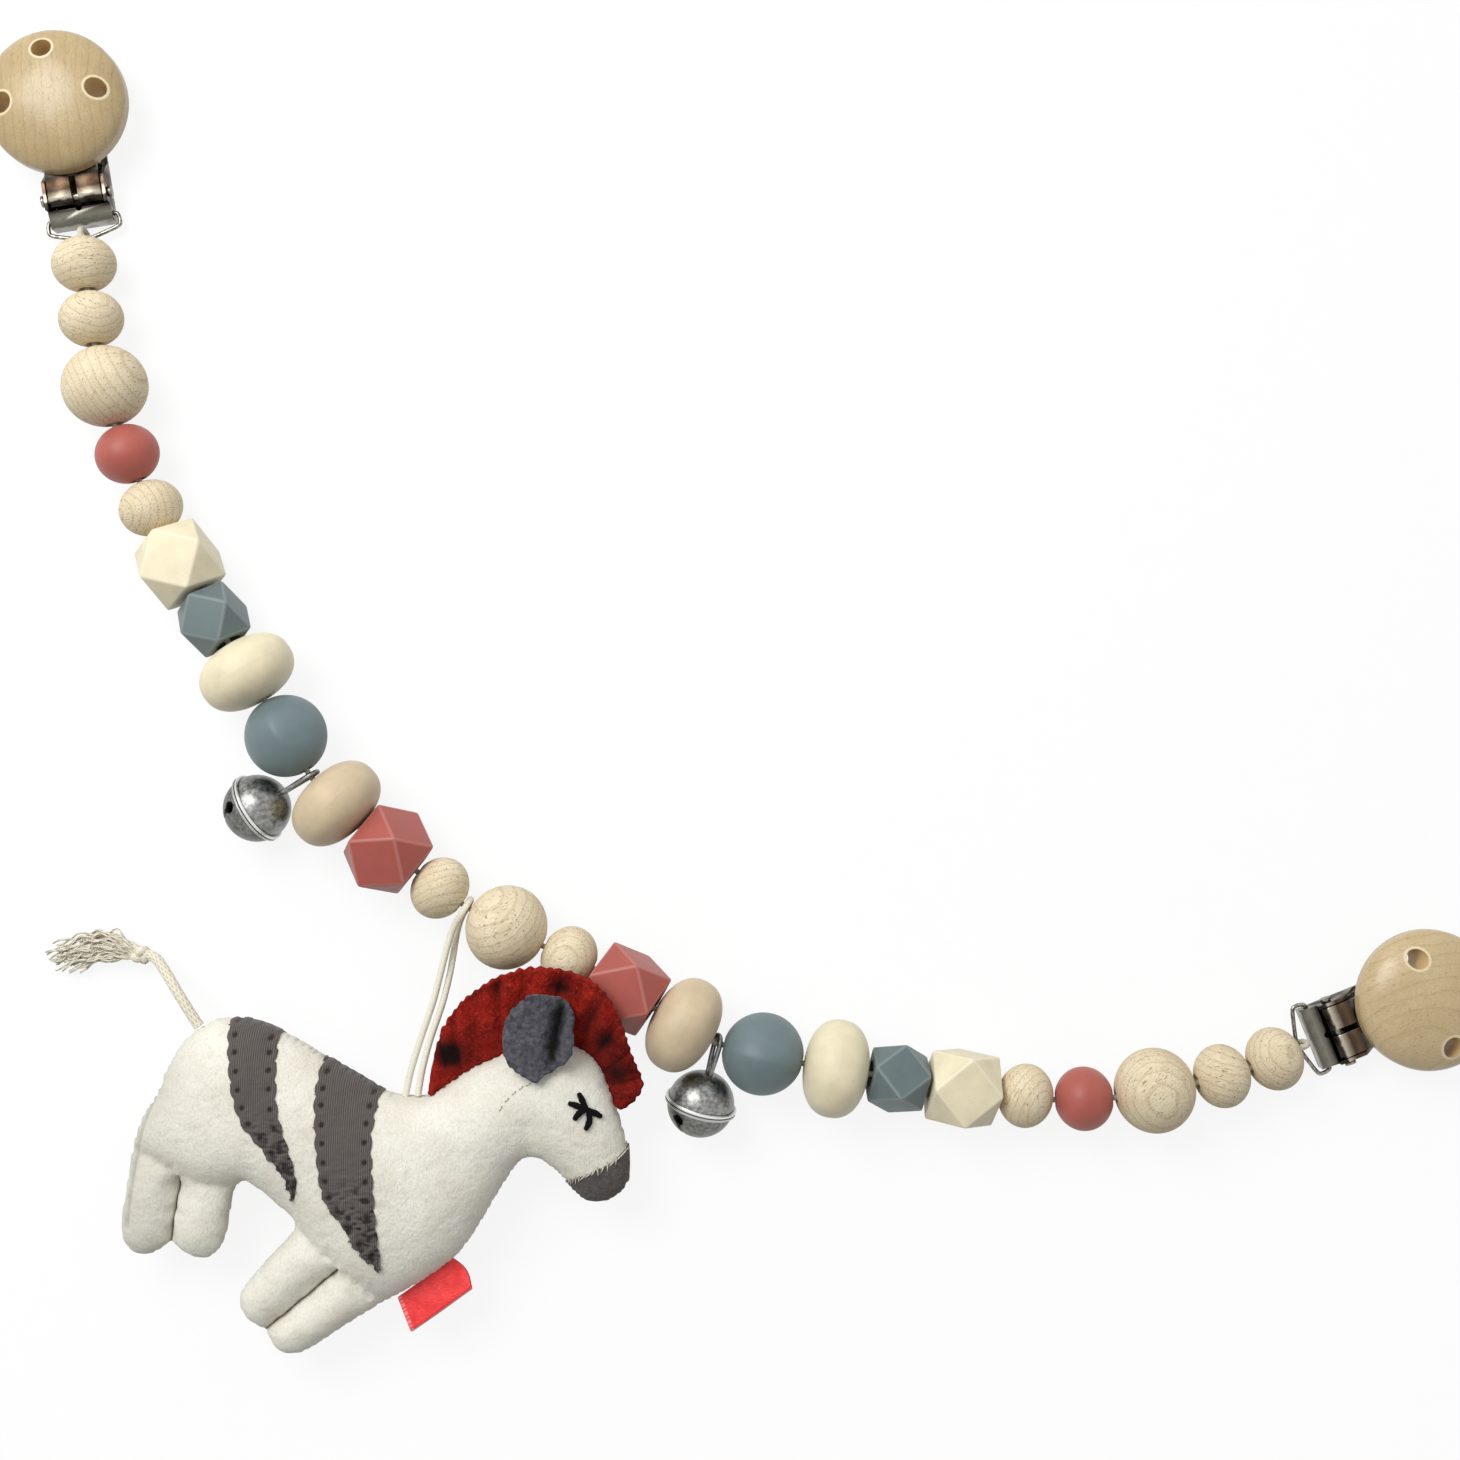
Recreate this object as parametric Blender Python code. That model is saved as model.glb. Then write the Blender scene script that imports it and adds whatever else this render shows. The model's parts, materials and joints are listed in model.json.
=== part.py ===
"""Pram chain toy, lying flat on a table: twenty-five threaded beads, two round bells, a stuffed
zebra on a hanging loop, and a wooden clip at each end. Metres, +Z up, origin in the middle of the
footprint. The chain is laid out from the middle bead outwards, so a change of a bead's size or of
a gap moves everything beyond it.
"""

from dataclasses import dataclass
from math import asin, cos, degrees, pi, radians, sin, tau

import bmesh
import bpy
from mathutils import Matrix, Vector

# Fits shared by the whole toy
CLEARANCE = 0.0003
OVERRUN = 0.003

# Thread and bead gaps
THREAD_DIAMETER = 0.0014
BORE_DIAMETER = 0.0034
BEAD_GAP = 0.0003
HEX_TO_ROUND_GAP = 0.0005
HEX_GAP = 0.0009
BELL_GAP = 0.0027
LOOP_GAP = 0.0022

# Beads: diameter across the thread, length along it
SMALL_WOOD_DIAMETER = 0.0152
SMALL_WOOD_LENGTH = 0.0132
LARGE_WOOD_DIAMETER = 0.0202
LARGE_WOOD_LENGTH = 0.0192
SMALL_ROUND_DIAMETER = 0.0152
SMALL_ROUND_LENGTH = 0.0140
CREASED_DIAMETER = 0.0198
CREASED_LENGTH = 0.0194
CREASE_DEPTH = 0.0009
CREASES = 4
ABACUS_DIAMETER = 0.0232
ABACUS_LENGTH = 0.0154
LARGE_HEX_SIZE = 0.0164
SMALL_HEX_SIZE = 0.0134
HEX_EDGE_ROUND = 0.0007

# How the chain lies: the steepest climb of the thread from a small bead to a larger one
THREAD_SLOPE = 0.105

# Metal clip, seen from above: X runs from the chain to the disc, and the pin crosses at X zero
PIN_DIAMETER = 0.0020
PIN_LENGTH = 0.0170
PIN_HEAD_DIAMETER = 0.0028
PIN_HEAD_THICKNESS = 0.0006
PIN_HEIGHT = 0.0050
SHEET = 0.0008
LEVER_NOTCH = 0.0014
LEVER_LENGTH = 0.0270
LEVER_NOTCH_END = 0.0046
FRAME_WIDTH = 0.0150
FRAME_LENGTH = 0.0280
FRAME_REAR = 0.0066
EAR_FRONT = 0.0080
EAR_REAR = 0.0026
EAR_TOP = 0.0070
STRIP_HEIGHT = 0.0050
STRIP_REAR_HEIGHT = 0.0042
STRIP_NOTCH_DIAMETER = 0.0016
PAD_START = 0.0080
PAD_FLAT_END = 0.0180
PAD_END = 0.0262
PAD_WIDTH = 0.0120
PAD_THICKNESS = 0.0020
PAD_TOOTH_PITCH = 0.0020
PAD_TOOTH_HEIGHT = 0.0006
WIRE_DIAMETER = 0.0010
WIRE_HEIGHT = 0.0025
WIRE_PIVOT = 0.0046
WIRE_TIP = 0.0096
WIRE_TIP_WIDTH = 0.0046
WIRE_BULGE = 0.0012
TIP_TO_BEAD = 0.00100
THREAD_TUCK = 0.0002

# Wooden disc of the clip
DISC_DIAMETER = 0.0335
DISC_THICKNESS = 0.0105
DISC_RIM = 0.0034
DISC_FOOT_ROUND = 0.0008
DISC_CENTRE = 0.0214
DISC_STEPS = 6
VENT_DIAMETER = 0.0048
VENT_RADIUS = 0.0112

# Bells
BELL_DIAMETER = 0.0160
BELL_WALL = 0.0008
BELL_BEAD_WIDTH = 0.0005
BELL_BEAD_REACH = 0.0005
BELL_HANG = 0.0156
EYELET_WIRE = 0.0012
EYELET_HALF_WIDTH = 0.0020
EYELET_FOOT_HALF_WIDTH = 0.0011
SLOT_WIDTH = 0.0013
SLOT_HOLE_DIAMETER = 0.0026
PELLET_DIAMETER = 0.0036
PELLET_REST_GAP = 0.0008
BELL_STEPS = 5
SLOT_SPREAD = 43
SLOT_TURN = 45
LEFT_BELL_LEAN = 7
RIGHT_BELL_LEAN = 6

# Stuffed zebra, lying on its side
ZEBRA_LENGTH = 0.1214
ZEBRA_SEAM_HEIGHT = 0.0138
END_ROUND_SHARE = 0.5
SEWN_CLEARANCE = 0.00034
STRIPE_CLOTH = 0.0008
LABEL_THICKNESS = 0.0009
LABEL_CORNER = 0.0006
MANE_SCALLOP = 0.0005
LOOP_DIAMETER = 0.0016
TAIL_DIAMETER = 0.0026
MANE_CROSSING = (0.01715, -0.01693)

# Where the loop's seat is on the zebra, the spot on its mane that crosses the chain at
# MANE_CROSSING, and the ribs of each sewn form, as shares of its length: the rib's two edges,
# then its half thickness
SEAT_SHARE = (0.580, 0.510)
CROSSING_SHARE = (0.900, 0.700)
BODY_SHARES = (
    (0.084, 0.543, 0.059, 0.484, 0.050),
    (0.110, 0.598, 0.051, 0.422, 0.075),
    (0.165, 0.647, 0.102, 0.378, 0.095),
    (0.227, 0.665, 0.186, 0.341, 0.103),
    (0.304, 0.647, 0.259, 0.335, 0.103),
    (0.373, 0.608, 0.324, 0.292, 0.103),
    (0.441, 0.563, 0.396, 0.225, 0.103),
    (0.514, 0.524, 0.490, 0.139, 0.100),
    (0.569, 0.508, 0.578, 0.139, 0.096),
    (0.620, 0.520, 0.651, 0.198, 0.092),
    (0.671, 0.553, 0.702, 0.249, 0.087),
    (0.722, 0.582, 0.745, 0.316, 0.083),
    (0.775, 0.606, 0.784, 0.371, 0.078),
)
HEAD_SHARES = (
    (0.784, 0.610, 0.773, 0.402, 0.080),
    (0.839, 0.622, 0.792, 0.386, 0.086),
    (0.892, 0.612, 0.824, 0.382, 0.086),
    (0.927, 0.588, 0.847, 0.367, 0.084),
    (0.949, 0.555, 0.863, 0.351, 0.081),
    (0.973, 0.480, 0.871, 0.343, 0.077),
    (0.992, 0.414, 0.875, 0.343, 0.072),
)
MUZZLE_SHARES = (
    (0.968, 0.440, 0.885, 0.385, 0.056),
    (0.998, 0.398, 0.880, 0.335, 0.071),
    (1.004, 0.373, 0.894, 0.320, 0.067),
    (0.998, 0.339, 0.918, 0.304, 0.053),
    (0.980, 0.320, 0.945, 0.302, 0.025),
)
LEG_SHARES = {
    "zebra_leg_hind_outer": (
        (0.049, 0.470, 0.139, 0.397, 0.055),
        (0.031, 0.400, 0.131, 0.359, 0.064),
        (0.022, 0.342, 0.125, 0.322, 0.064),
        (0.014, 0.288, 0.117, 0.279, 0.060),
        (0.012, 0.252, 0.110, 0.247, 0.056),
        (0.021, 0.228, 0.105, 0.229, 0.046),
        (0.042, 0.214, 0.090, 0.216, 0.026),
    ),
    "zebra_leg_hind_inner": (
        (0.145, 0.402, 0.247, 0.373, 0.055),
        (0.139, 0.357, 0.240, 0.342, 0.064),
        (0.132, 0.318, 0.229, 0.310, 0.064),
        (0.124, 0.274, 0.223, 0.270, 0.060),
        (0.119, 0.245, 0.217, 0.241, 0.056),
        (0.122, 0.222, 0.206, 0.219, 0.046),
        (0.141, 0.207, 0.190, 0.204, 0.026),
    ),
    "zebra_leg_front_inner": (
        (0.374, 0.290, 0.455, 0.205, 0.055),
        (0.338, 0.250, 0.436, 0.190, 0.064),
        (0.305, 0.212, 0.392, 0.152, 0.064),
        (0.270, 0.173, 0.349, 0.116, 0.060),
        (0.249, 0.144, 0.316, 0.088, 0.056),
        (0.246, 0.121, 0.300, 0.077, 0.046),
        (0.257, 0.103, 0.289, 0.080, 0.026),
    ),
    "zebra_leg_front_outer": (
        (0.475, 0.196, 0.560, 0.130, 0.055),
        (0.446, 0.183, 0.520, 0.108, 0.064),
        (0.404, 0.147, 0.462, 0.076, 0.064),
        (0.358, 0.109, 0.412, 0.045, 0.060),
        (0.323, 0.079, 0.375, 0.025, 0.056),
        (0.308, 0.064, 0.354, 0.020, 0.046),
        (0.307, 0.052, 0.337, 0.028, 0.026),
    ),
}

# Ribs that rise off the seam: each edge has its rise as a third share
MANE_SHARES = (
    (0.620, 0.524, 0.000, 0.614, 0.549, 0.004, 0.012),
    (0.637, 0.539, 0.000, 0.624, 0.608, 0.010, 0.013),
    (0.663, 0.555, 0.000, 0.643, 0.661, 0.018, 0.013),
    (0.690, 0.573, 0.000, 0.676, 0.696, 0.028, 0.013),
    (0.722, 0.590, 0.000, 0.714, 0.722, 0.038, 0.013),
    (0.755, 0.606, 0.000, 0.751, 0.745, 0.048, 0.013),
    (0.788, 0.616, 0.000, 0.792, 0.759, 0.054, 0.013),
    (0.824, 0.622, 0.000, 0.833, 0.759, 0.056, 0.013),
    (0.857, 0.624, 0.000, 0.873, 0.753, 0.058, 0.013),
    (0.890, 0.616, 0.000, 0.914, 0.737, 0.068, 0.013),
    (0.918, 0.602, 0.000, 0.945, 0.712, 0.076, 0.013),
    (0.937, 0.582, 0.000, 0.971, 0.673, 0.078, 0.013),
    (0.953, 0.559, 0.000, 0.988, 0.618, 0.070, 0.013),
    (0.965, 0.531, 0.000, 1.006, 0.571, 0.056, 0.013),
    (0.975, 0.504, 0.000, 1.020, 0.533, 0.038, 0.013),
    (0.980, 0.480, 0.000, 1.004, 0.500, 0.030, 0.012),
)
EAR_SHARES = (
    (0.765, 0.573, 0.098, 0.835, 0.529, 0.098, 0.012),
    (0.751, 0.618, 0.082, 0.873, 0.580, 0.086, 0.017),
    (0.755, 0.665, 0.074, 0.890, 0.637, 0.078, 0.017),
    (0.788, 0.704, 0.072, 0.880, 0.680, 0.074, 0.015),
    (0.818, 0.712, 0.072, 0.851, 0.706, 0.072, 0.009),
)
LOWER_EAR_SHARES = (
    (0.765, 0.573, -0.096, 0.835, 0.529, -0.096, 0.011),
    (0.757, 0.612, -0.080, 0.861, 0.580, -0.084, 0.015),
    (0.767, 0.645, -0.072, 0.869, 0.625, -0.074, 0.015),
    (0.794, 0.671, -0.068, 0.857, 0.657, -0.068, 0.009),
)
TASSEL_SHARES = (
    (0.059, 0.792, -0.076, 0.051, 0.765, -0.076, 0.010),
    (0.041, 0.802, -0.080, 0.037, 0.765, -0.080, 0.016),
    (0.022, 0.804, -0.086, 0.020, 0.778, -0.086, 0.009),
    (-0.004, 0.818, -0.092, -0.004, 0.778, -0.092, 0.010),
    (-0.049, 0.827, -0.096, -0.045, 0.771, -0.096, 0.012),
    (-0.098, 0.827, -0.097, -0.094, 0.763, -0.097, 0.012),
    (-0.133, 0.818, -0.099, -0.127, 0.751, -0.099, 0.009),
)

# Outlines seen from above
REAR_STRIPE_SHARES = (
    (0.220, 0.690),
    (0.241, 0.696),
    (0.278, 0.692),
    (0.316, 0.680),
    (0.308, 0.592),
    (0.312, 0.529),
    (0.322, 0.471),
    (0.335, 0.402),
    (0.349, 0.343),
    (0.343, 0.304),
    (0.327, 0.345),
    (0.300, 0.382),
    (0.263, 0.420),
    (0.237, 0.457),
    (0.222, 0.506),
    (0.216, 0.559),
    (0.212, 0.600),
    (0.214, 0.647),
)
FRONT_STRIPE_SHARES = (
    (0.388, 0.635),
    (0.424, 0.624),
    (0.463, 0.604),
    (0.512, 0.565),
    (0.496, 0.490),
    (0.484, 0.453),
    (0.484, 0.378),
    (0.484, 0.304),
    (0.492, 0.247),
    (0.502, 0.165),
    (0.476, 0.190),
    (0.447, 0.243),
    (0.410, 0.280),
    (0.386, 0.322),
    (0.380, 0.378),
    (0.380, 0.453),
    (0.375, 0.510),
    (0.384, 0.569),
)
LABEL_SHARES = ((0.530, 0.112), (0.640, 0.190), (0.669, 0.129), (0.559, 0.055))

# Free cords. The loop's strands run from the back up: the share of the way from the gap to the
# seat, the share of that way to the side, and the height as a share of the seam's. The tail's
# points are on the zebra
LOOP_WRAP_HEADING = -120
LOOP_TURN_SHARE = 2.0
LOOP_WRAP_ANGLES = (60, 100, 140, 180, 220, 260, 300)
LOOP_UPPER_SHARES = (
    (0.997, -0.039, 1.014),
    (0.858, -0.045, 1.029),
    (0.692, -0.041, 0.971),
    (0.500, -0.031, 0.913),
    (0.314, -0.035, 0.870),
    (0.145, -0.036, 0.841),
)
LOOP_LOWER_SHARES = (
    (0.976, 0.022, 1.014),
    (0.844, 0.009, 1.029),
    (0.686, 0.006, 0.957),
    (0.503, 0.015, 0.855),
    (0.325, 0.006, 0.725),
    (0.146, -0.017, 0.572),
)
TAIL_SHARES = (
    (0.165, 0.650, 0.000),
    (0.141, 0.686, -0.002),
    (0.117, 0.719, -0.013),
    (0.092, 0.749, -0.035),
    (0.062, 0.776, -0.066),
)

# Headings of the beads, in degrees from +X, from the middle bead outwards
MIDDLE_HEADING = -27
RIGHT_HEADINGS = (-24, -33, -29, -13, -9, -11, -7, -8, 3, 10, 14, 20)
LEFT_HEADINGS = (144, 142, 134, 121, 122, 123, 122, 113, 113, 104, 99, 99)
RIGHT_CLIP_HEADING = 22
LEFT_CLIP_HEADING = 99

# Turn of each faceted bead about the thread, in degrees
RIGHT_ROLLS = {"rose_hex": 6, "blue_hex": -25, "cream_hex": 0}
LEFT_ROLLS = {"rose_hex": -23, "blue_hex": -6, "cream_hex": 0}

ARM = (
    "small_wood",
    "rose_hex",
    "beige_abacus",
    "blue_round",
    "cream_abacus",
    "blue_hex",
    "cream_hex",
    "small_wood",
    "rose_round",
    "large_wood",
    "small_wood",
    "small_wood",
)
BELL_AFTER = 3

MATERIALS = {
    "wood": ((0.76, 0.62, 0.44), 0.6, 0),
    "varnished_wood": ((0.60, 0.46, 0.25), 0.25, 0),
    "rose": ((0.43, 0.12, 0.10), 0.55, 0),
    "blue": ((0.17, 0.23, 0.24), 0.55, 0),
    "cream": ((0.87, 0.80, 0.60), 0.55, 0),
    "beige": ((0.68, 0.51, 0.33), 0.55, 0),
    "thread": ((0.75, 0.72, 0.62), 0.8, 0),
    "chrome": ((0.70, 0.70, 0.70), 0.2, 1),
    "silver": ((0.45, 0.45, 0.46), 0.35, 1),
    "plastic": ((0.80, 0.80, 0.78), 0.5, 0),
    "cotton": ((0.83, 0.82, 0.74), 0.95, 0),
    "stripe": ((0.12, 0.10, 0.10), 0.95, 0),
    "mane": ((0.35, 0.02, 0.01), 0.95, 0),
    "ear": ((0.10, 0.10, 0.12), 0.95, 0),
    "muzzle": ((0.14, 0.13, 0.13), 0.95, 0),
    "label": ((0.85, 0.05, 0.05), 0.7, 0),
}


@dataclass
class Bead:
    """One bead of an arm: where it is, which way its thread runs, and where it turns."""

    name: str
    kind: str
    size: tuple
    heading: float
    pitch: float
    roll: float
    centre: Vector
    hinge: Vector

    def along(self):
        """Unit vector of the thread through this bead, outwards."""
        return direction(self.heading, self.pitch)


def direction(heading, pitch=0.0):
    flat = Vector((cos(radians(heading)), sin(radians(heading)), 0))
    return flat * cos(pitch) + Vector((0, 0, sin(pitch)))


def clear_scene():
    for obj in list(bpy.data.objects):
        bpy.data.objects.remove(obj, do_unlink=True)


def finish(name):
    """The Principled material of one finish, made once."""
    if name in bpy.data.materials:
        return bpy.data.materials[name]
    colour, roughness, metallic = MATERIALS[name]
    material = bpy.data.materials.new(name)
    material.use_nodes = True
    shader = material.node_tree.nodes["Principled BSDF"]
    shader.inputs["Base Color"].default_value = (*colour, 1)
    shader.inputs["Roughness"].default_value = roughness
    shader.inputs["Metallic"].default_value = metallic
    return material


def new_object(name, data, material):
    obj = bpy.data.objects.new(name, data)
    bpy.context.scene.collection.objects.link(obj)
    data.materials.append(finish(material))
    return obj


def from_bmesh(name, shape, material, smooth_angle=40):
    """An object from a closed bmesh, with its faces turned outwards."""
    bmesh.ops.recalc_face_normals(shape, faces=shape.faces)
    mesh = bpy.data.meshes.new(name)
    shape.to_mesh(mesh)
    shape.free()
    mesh.shade_smooth()
    mesh.set_sharp_from_angle(angle=radians(smooth_angle))
    return new_object(name, mesh, material)


def place(obj, frame, pivot=(0, 0, 0)):
    """Puts an object modelled in a local frame, with its origin at the pivot."""
    pivot = Vector(pivot)
    obj.data.transform(Matrix.Translation(-pivot))
    obj.matrix_world = frame @ Matrix.Translation(pivot)
    return obj


def as_cutter(obj):
    obj.hide_render = True
    obj.display_type = "WIRE"
    return obj


def boolean(obj, other, operation="DIFFERENCE"):
    modifier = obj.modifiers.new(f"{operation.lower()} {other.name}", "BOOLEAN")
    modifier.operation = operation
    modifier.object = other
    modifier.solver = "EXACT"
    as_cutter(other)


def turned(name, profile, steps, material, closed=False, crease=0.0):
    """A solid turned about Z. The profile is (radius, height) points. A radius of zero is a pole,
    and a closed profile goes round a bore. A crease draws the surface in between its ridges."""
    widest = max(radius for radius, _ in profile)
    shape = bmesh.new()
    rings = []
    for radius, height in profile:
        if radius == 0:
            rings.append([shape.verts.new((0, 0, height))] * steps)
            continue
        ring = []
        for step in range(steps):
            angle = tau * step / steps
            drawn_in = crease * abs(sin(CREASES / 2 * angle)) * (radius / widest) ** 2
            reach = radius - drawn_in
            ring.append(shape.verts.new((reach * cos(angle), reach * sin(angle), height)))
        rings.append(ring)
    following = rings[1:] + ([rings[0]] if closed else [])
    for upper, lower in zip(rings, following):
        for step in range(steps):
            after = (step + 1) % steps
            corners = (upper[step], lower[step], lower[after], upper[after])
            shape.faces.new(list(dict.fromkeys(corners)))
    return from_bmesh(name, shape, material)


def extruded(name, outline, half_depth, material, across="Y"):
    """An outline of (x, height) points drawn to both sides, across Y, or of (x, y) across Z."""
    shape = bmesh.new()
    front = []
    back = []
    for first, second in outline:
        if across == "Y":
            front.append(shape.verts.new((first, -half_depth, second)))
            back.append(shape.verts.new((first, half_depth, second)))
        else:
            front.append(shape.verts.new((first, second, -half_depth)))
            back.append(shape.verts.new((first, second, half_depth)))
    shape.faces.new(front)
    shape.faces.new(list(reversed(back)))
    for index in range(len(outline)):
        after = (index + 1) % len(outline)
        shape.faces.new((front[after], front[index], back[index], back[after]))
    return from_bmesh(name, shape, material)


def curve_between(points, steps):
    """A smooth curve through the points, each a sequence of numbers, as a longer list."""
    smooth = []
    last = len(points) - 1
    for index in range(last):
        before = points[max(index - 1, 0)]
        start = points[index]
        end = points[index + 1]
        after = points[min(index + 2, last)]
        for step in range(steps):
            t = step / steps
            smooth.append(
                tuple(
                    b + (c - a) * t / 2 + (2 * a - 5 * b + 4 * c - d) * t * t / 2
                    + (3 * b - a - 3 * c + d) * t ** 3 / 2
                    for a, b, c, d in zip(before, start, end, after)
                )
            )
    smooth.append(tuple(points[last]))
    return smooth


def tube(name, points, diameter, material, sides=8):
    """A round cord or wire along the points, with closed ends."""
    curve = bpy.data.curves.new(name, "CURVE")
    curve.dimensions = "3D"
    curve.bevel_depth = diameter / 2
    curve.bevel_resolution = sides // 2 - 2
    curve.use_fill_caps = True
    spline = curve.splines.new("POLY")
    spline.points.add(len(points) - 1)
    for target, point in zip(spline.points, points):
        target.co = (*point, 1)
    return new_object(name, curve, material)


def tube_mesh(name, points, diameter, material):
    """The same as a mesh, for a Boolean."""
    guide = tube(f"{name} guide", points, diameter, material)
    evaluated = guide.evaluated_get(bpy.context.evaluated_depsgraph_get())
    mesh = bpy.data.meshes.new_from_object(evaluated)
    bpy.data.objects.remove(guide, do_unlink=True)
    shape = bmesh.new()
    shape.from_mesh(mesh)
    bmesh.ops.remove_doubles(shape, verts=shape.verts, dist=THREAD_DIAMETER / 1000)
    return from_bmesh(name, shape, material)


def cylinder_between(name, start, end, diameter, sides=12):
    """A round cutter from one point to another."""
    run = end - start
    shape = bmesh.new()
    bmesh.ops.create_cone(
        shape, cap_ends=True, segments=sides, radius1=diameter / 2, radius2=diameter / 2, depth=run.length
    )
    obj = from_bmesh(name, shape, "plastic")
    turn = run.to_track_quat("Z", "Y").to_matrix().to_4x4()
    obj.data.transform(Matrix.Translation((start + end) / 2) @ turn)
    return as_cutter(obj)


# Beads


def round_profile(diameter, length, steps, fullness=2.0):
    """From one rim of the bore over the outside to the other, as a superellipse."""
    bore = BORE_DIAMETER / 2
    rim = asin((2 * bore / diameter) ** (fullness / 2))
    points = []
    for step in range(steps + 1):
        angle = rim + (pi - 2 * rim) * step / steps
        radius = diameter / 2 * sin(angle) ** (2 / fullness)
        height = length / 2 * abs(cos(angle)) ** (2 / fullness)
        points.append((radius, height if angle < pi / 2 else -height))
    return points


def turned_bead(name, size, material, sides, steps, fullness=2.0, crease=0.0):
    diameter, length = size
    profile = round_profile(diameter, length, steps, fullness)
    return turned(name, profile, sides, material, closed=True, crease=crease)


def faceted_bead(name, size, material):
    """Six squares and eight triangles, with soft edges, threaded through two of the squares."""
    reach = size[0] / 2
    shape = bmesh.new()
    for first in (-reach, reach):
        for second in (-reach, reach):
            shape.verts.new((first, second, 0))
            shape.verts.new((first, 0, second))
            shape.verts.new((0, first, second))
    bmesh.ops.convex_hull(shape, input=shape.verts)
    bmesh.ops.dissolve_limit(
        shape, angle_limit=radians(1), verts=shape.verts, edges=shape.edges
    )
    bmesh.ops.bevel(shape, geom=shape.edges, offset=HEX_EDGE_ROUND, segments=1, affect="EDGES")
    bead = from_bmesh(name, shape, material, 10)
    end = Vector((0, 0, reach + OVERRUN))
    boolean(bead, cylinder_between(f"{name} bore", -end, end, BORE_DIAMETER))
    return bead


BEAD_MAKERS = {
    "small_wood": ((SMALL_WOOD_DIAMETER, SMALL_WOOD_LENGTH), "wood", 16, 7, 2.0, 0),
    "large_wood": ((LARGE_WOOD_DIAMETER, LARGE_WOOD_LENGTH), "wood", 18, 8, 2.0, 0),
    "rose_round": ((SMALL_ROUND_DIAMETER, SMALL_ROUND_LENGTH), "rose", 16, 7, 2.0, 0),
    "blue_round": ((CREASED_DIAMETER, CREASED_LENGTH), "blue", 20, 8, 2.0, CREASE_DEPTH),
    "cream_abacus": ((ABACUS_DIAMETER, ABACUS_LENGTH), "cream", 18, 9, 2.3, 0),
    "beige_abacus": ((ABACUS_DIAMETER, ABACUS_LENGTH), "beige", 18, 9, 2.3, 0),
    "rose_hex": ((LARGE_HEX_SIZE, LARGE_HEX_SIZE), "rose"),
    "cream_hex": ((LARGE_HEX_SIZE, LARGE_HEX_SIZE), "cream"),
    "blue_hex": ((SMALL_HEX_SIZE, SMALL_HEX_SIZE), "blue"),
}


def make_bead(bead):
    size, material, *rest = BEAD_MAKERS[bead.kind]
    if rest:
        sides, steps, fullness, crease = rest
        obj = turned_bead(bead.name, size, material, sides, steps, fullness, crease)
    else:
        obj = faceted_bead(bead.name, size, material)
    thread = bead.along()
    side = Vector((0, 0, 1)).cross(thread).normalized()
    above = thread.cross(side)
    frame = Matrix((side, above, thread)).transposed().to_4x4()
    frame = Matrix.Translation(bead.centre) @ frame
    frame = frame @ Matrix.Rotation(radians(bead.roll), 4, "Z")
    inner = frame.inverted() @ bead.hinge
    for modifier in obj.modifiers:
        place(modifier.object, frame)
    return place(obj, frame, inner)


def lying_height(kind, roll):
    """Height of the thread above the table where this bead rests on it."""
    diameter = BEAD_MAKERS[kind][0][0]
    if kind.endswith("hex"):
        return diameter / 2 * (cos(radians(roll)) + abs(sin(radians(roll))))
    return diameter / 2


def arm_gaps(side):
    gaps = [BEAD_GAP] * len(ARM)
    for index in range(1, len(ARM)):
        faceted = [kind.endswith("hex") for kind in ARM[index - 1:index + 1]]
        if all(faceted):
            gaps[index] = HEX_GAP
        elif any(faceted):
            gaps[index] = HEX_TO_ROUND_GAP
    gaps[BELL_AFTER] = BELL_GAP
    if side == "left":
        gaps[0] = LOOP_GAP
    return gaps


def path_places():
    """(distance along the thread, reach to each side, resting height) of every bead. Distances
    on the left arm are negative."""
    places = [(0.0, bead_reach("large_wood"), lying_height("large_wood", 0))]
    for side, sign, rolls in (("left", -1, LEFT_ROLLS), ("right", 1, RIGHT_ROLLS)):
        reached = LARGE_WOOD_LENGTH / 2
        for kind, gap in zip(ARM, arm_gaps(side)):
            length = BEAD_MAKERS[kind][0][1]
            middle = reached + gap + length / 2
            height = lying_height(kind, rolls.get(kind, 0))
            places.append((sign * middle, bead_reach(kind), height))
            reached = middle + length / 2
    return places


def bead_reach(kind):
    return (BEAD_MAKERS[kind][0][1] + BELL_GAP) / 2


def thread_height(place, places):
    """The thread is level in a bead that rests on the table, and beyond it drops to the smaller
    beads no steeper than it can."""
    return max(
        height - THREAD_SLOPE * max(abs(place - other) - reach, 0)
        for other, reach, height in places
    )


def middle_bead():
    size = BEAD_MAKERS["large_wood"][0]
    centre = Vector((0, 0, thread_height(0.0, path_places())))
    name = "middle_bead_large_wood"
    return Bead(name, "large_wood", size, MIDDLE_HEADING, 0.0, 0, centre, centre)


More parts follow.
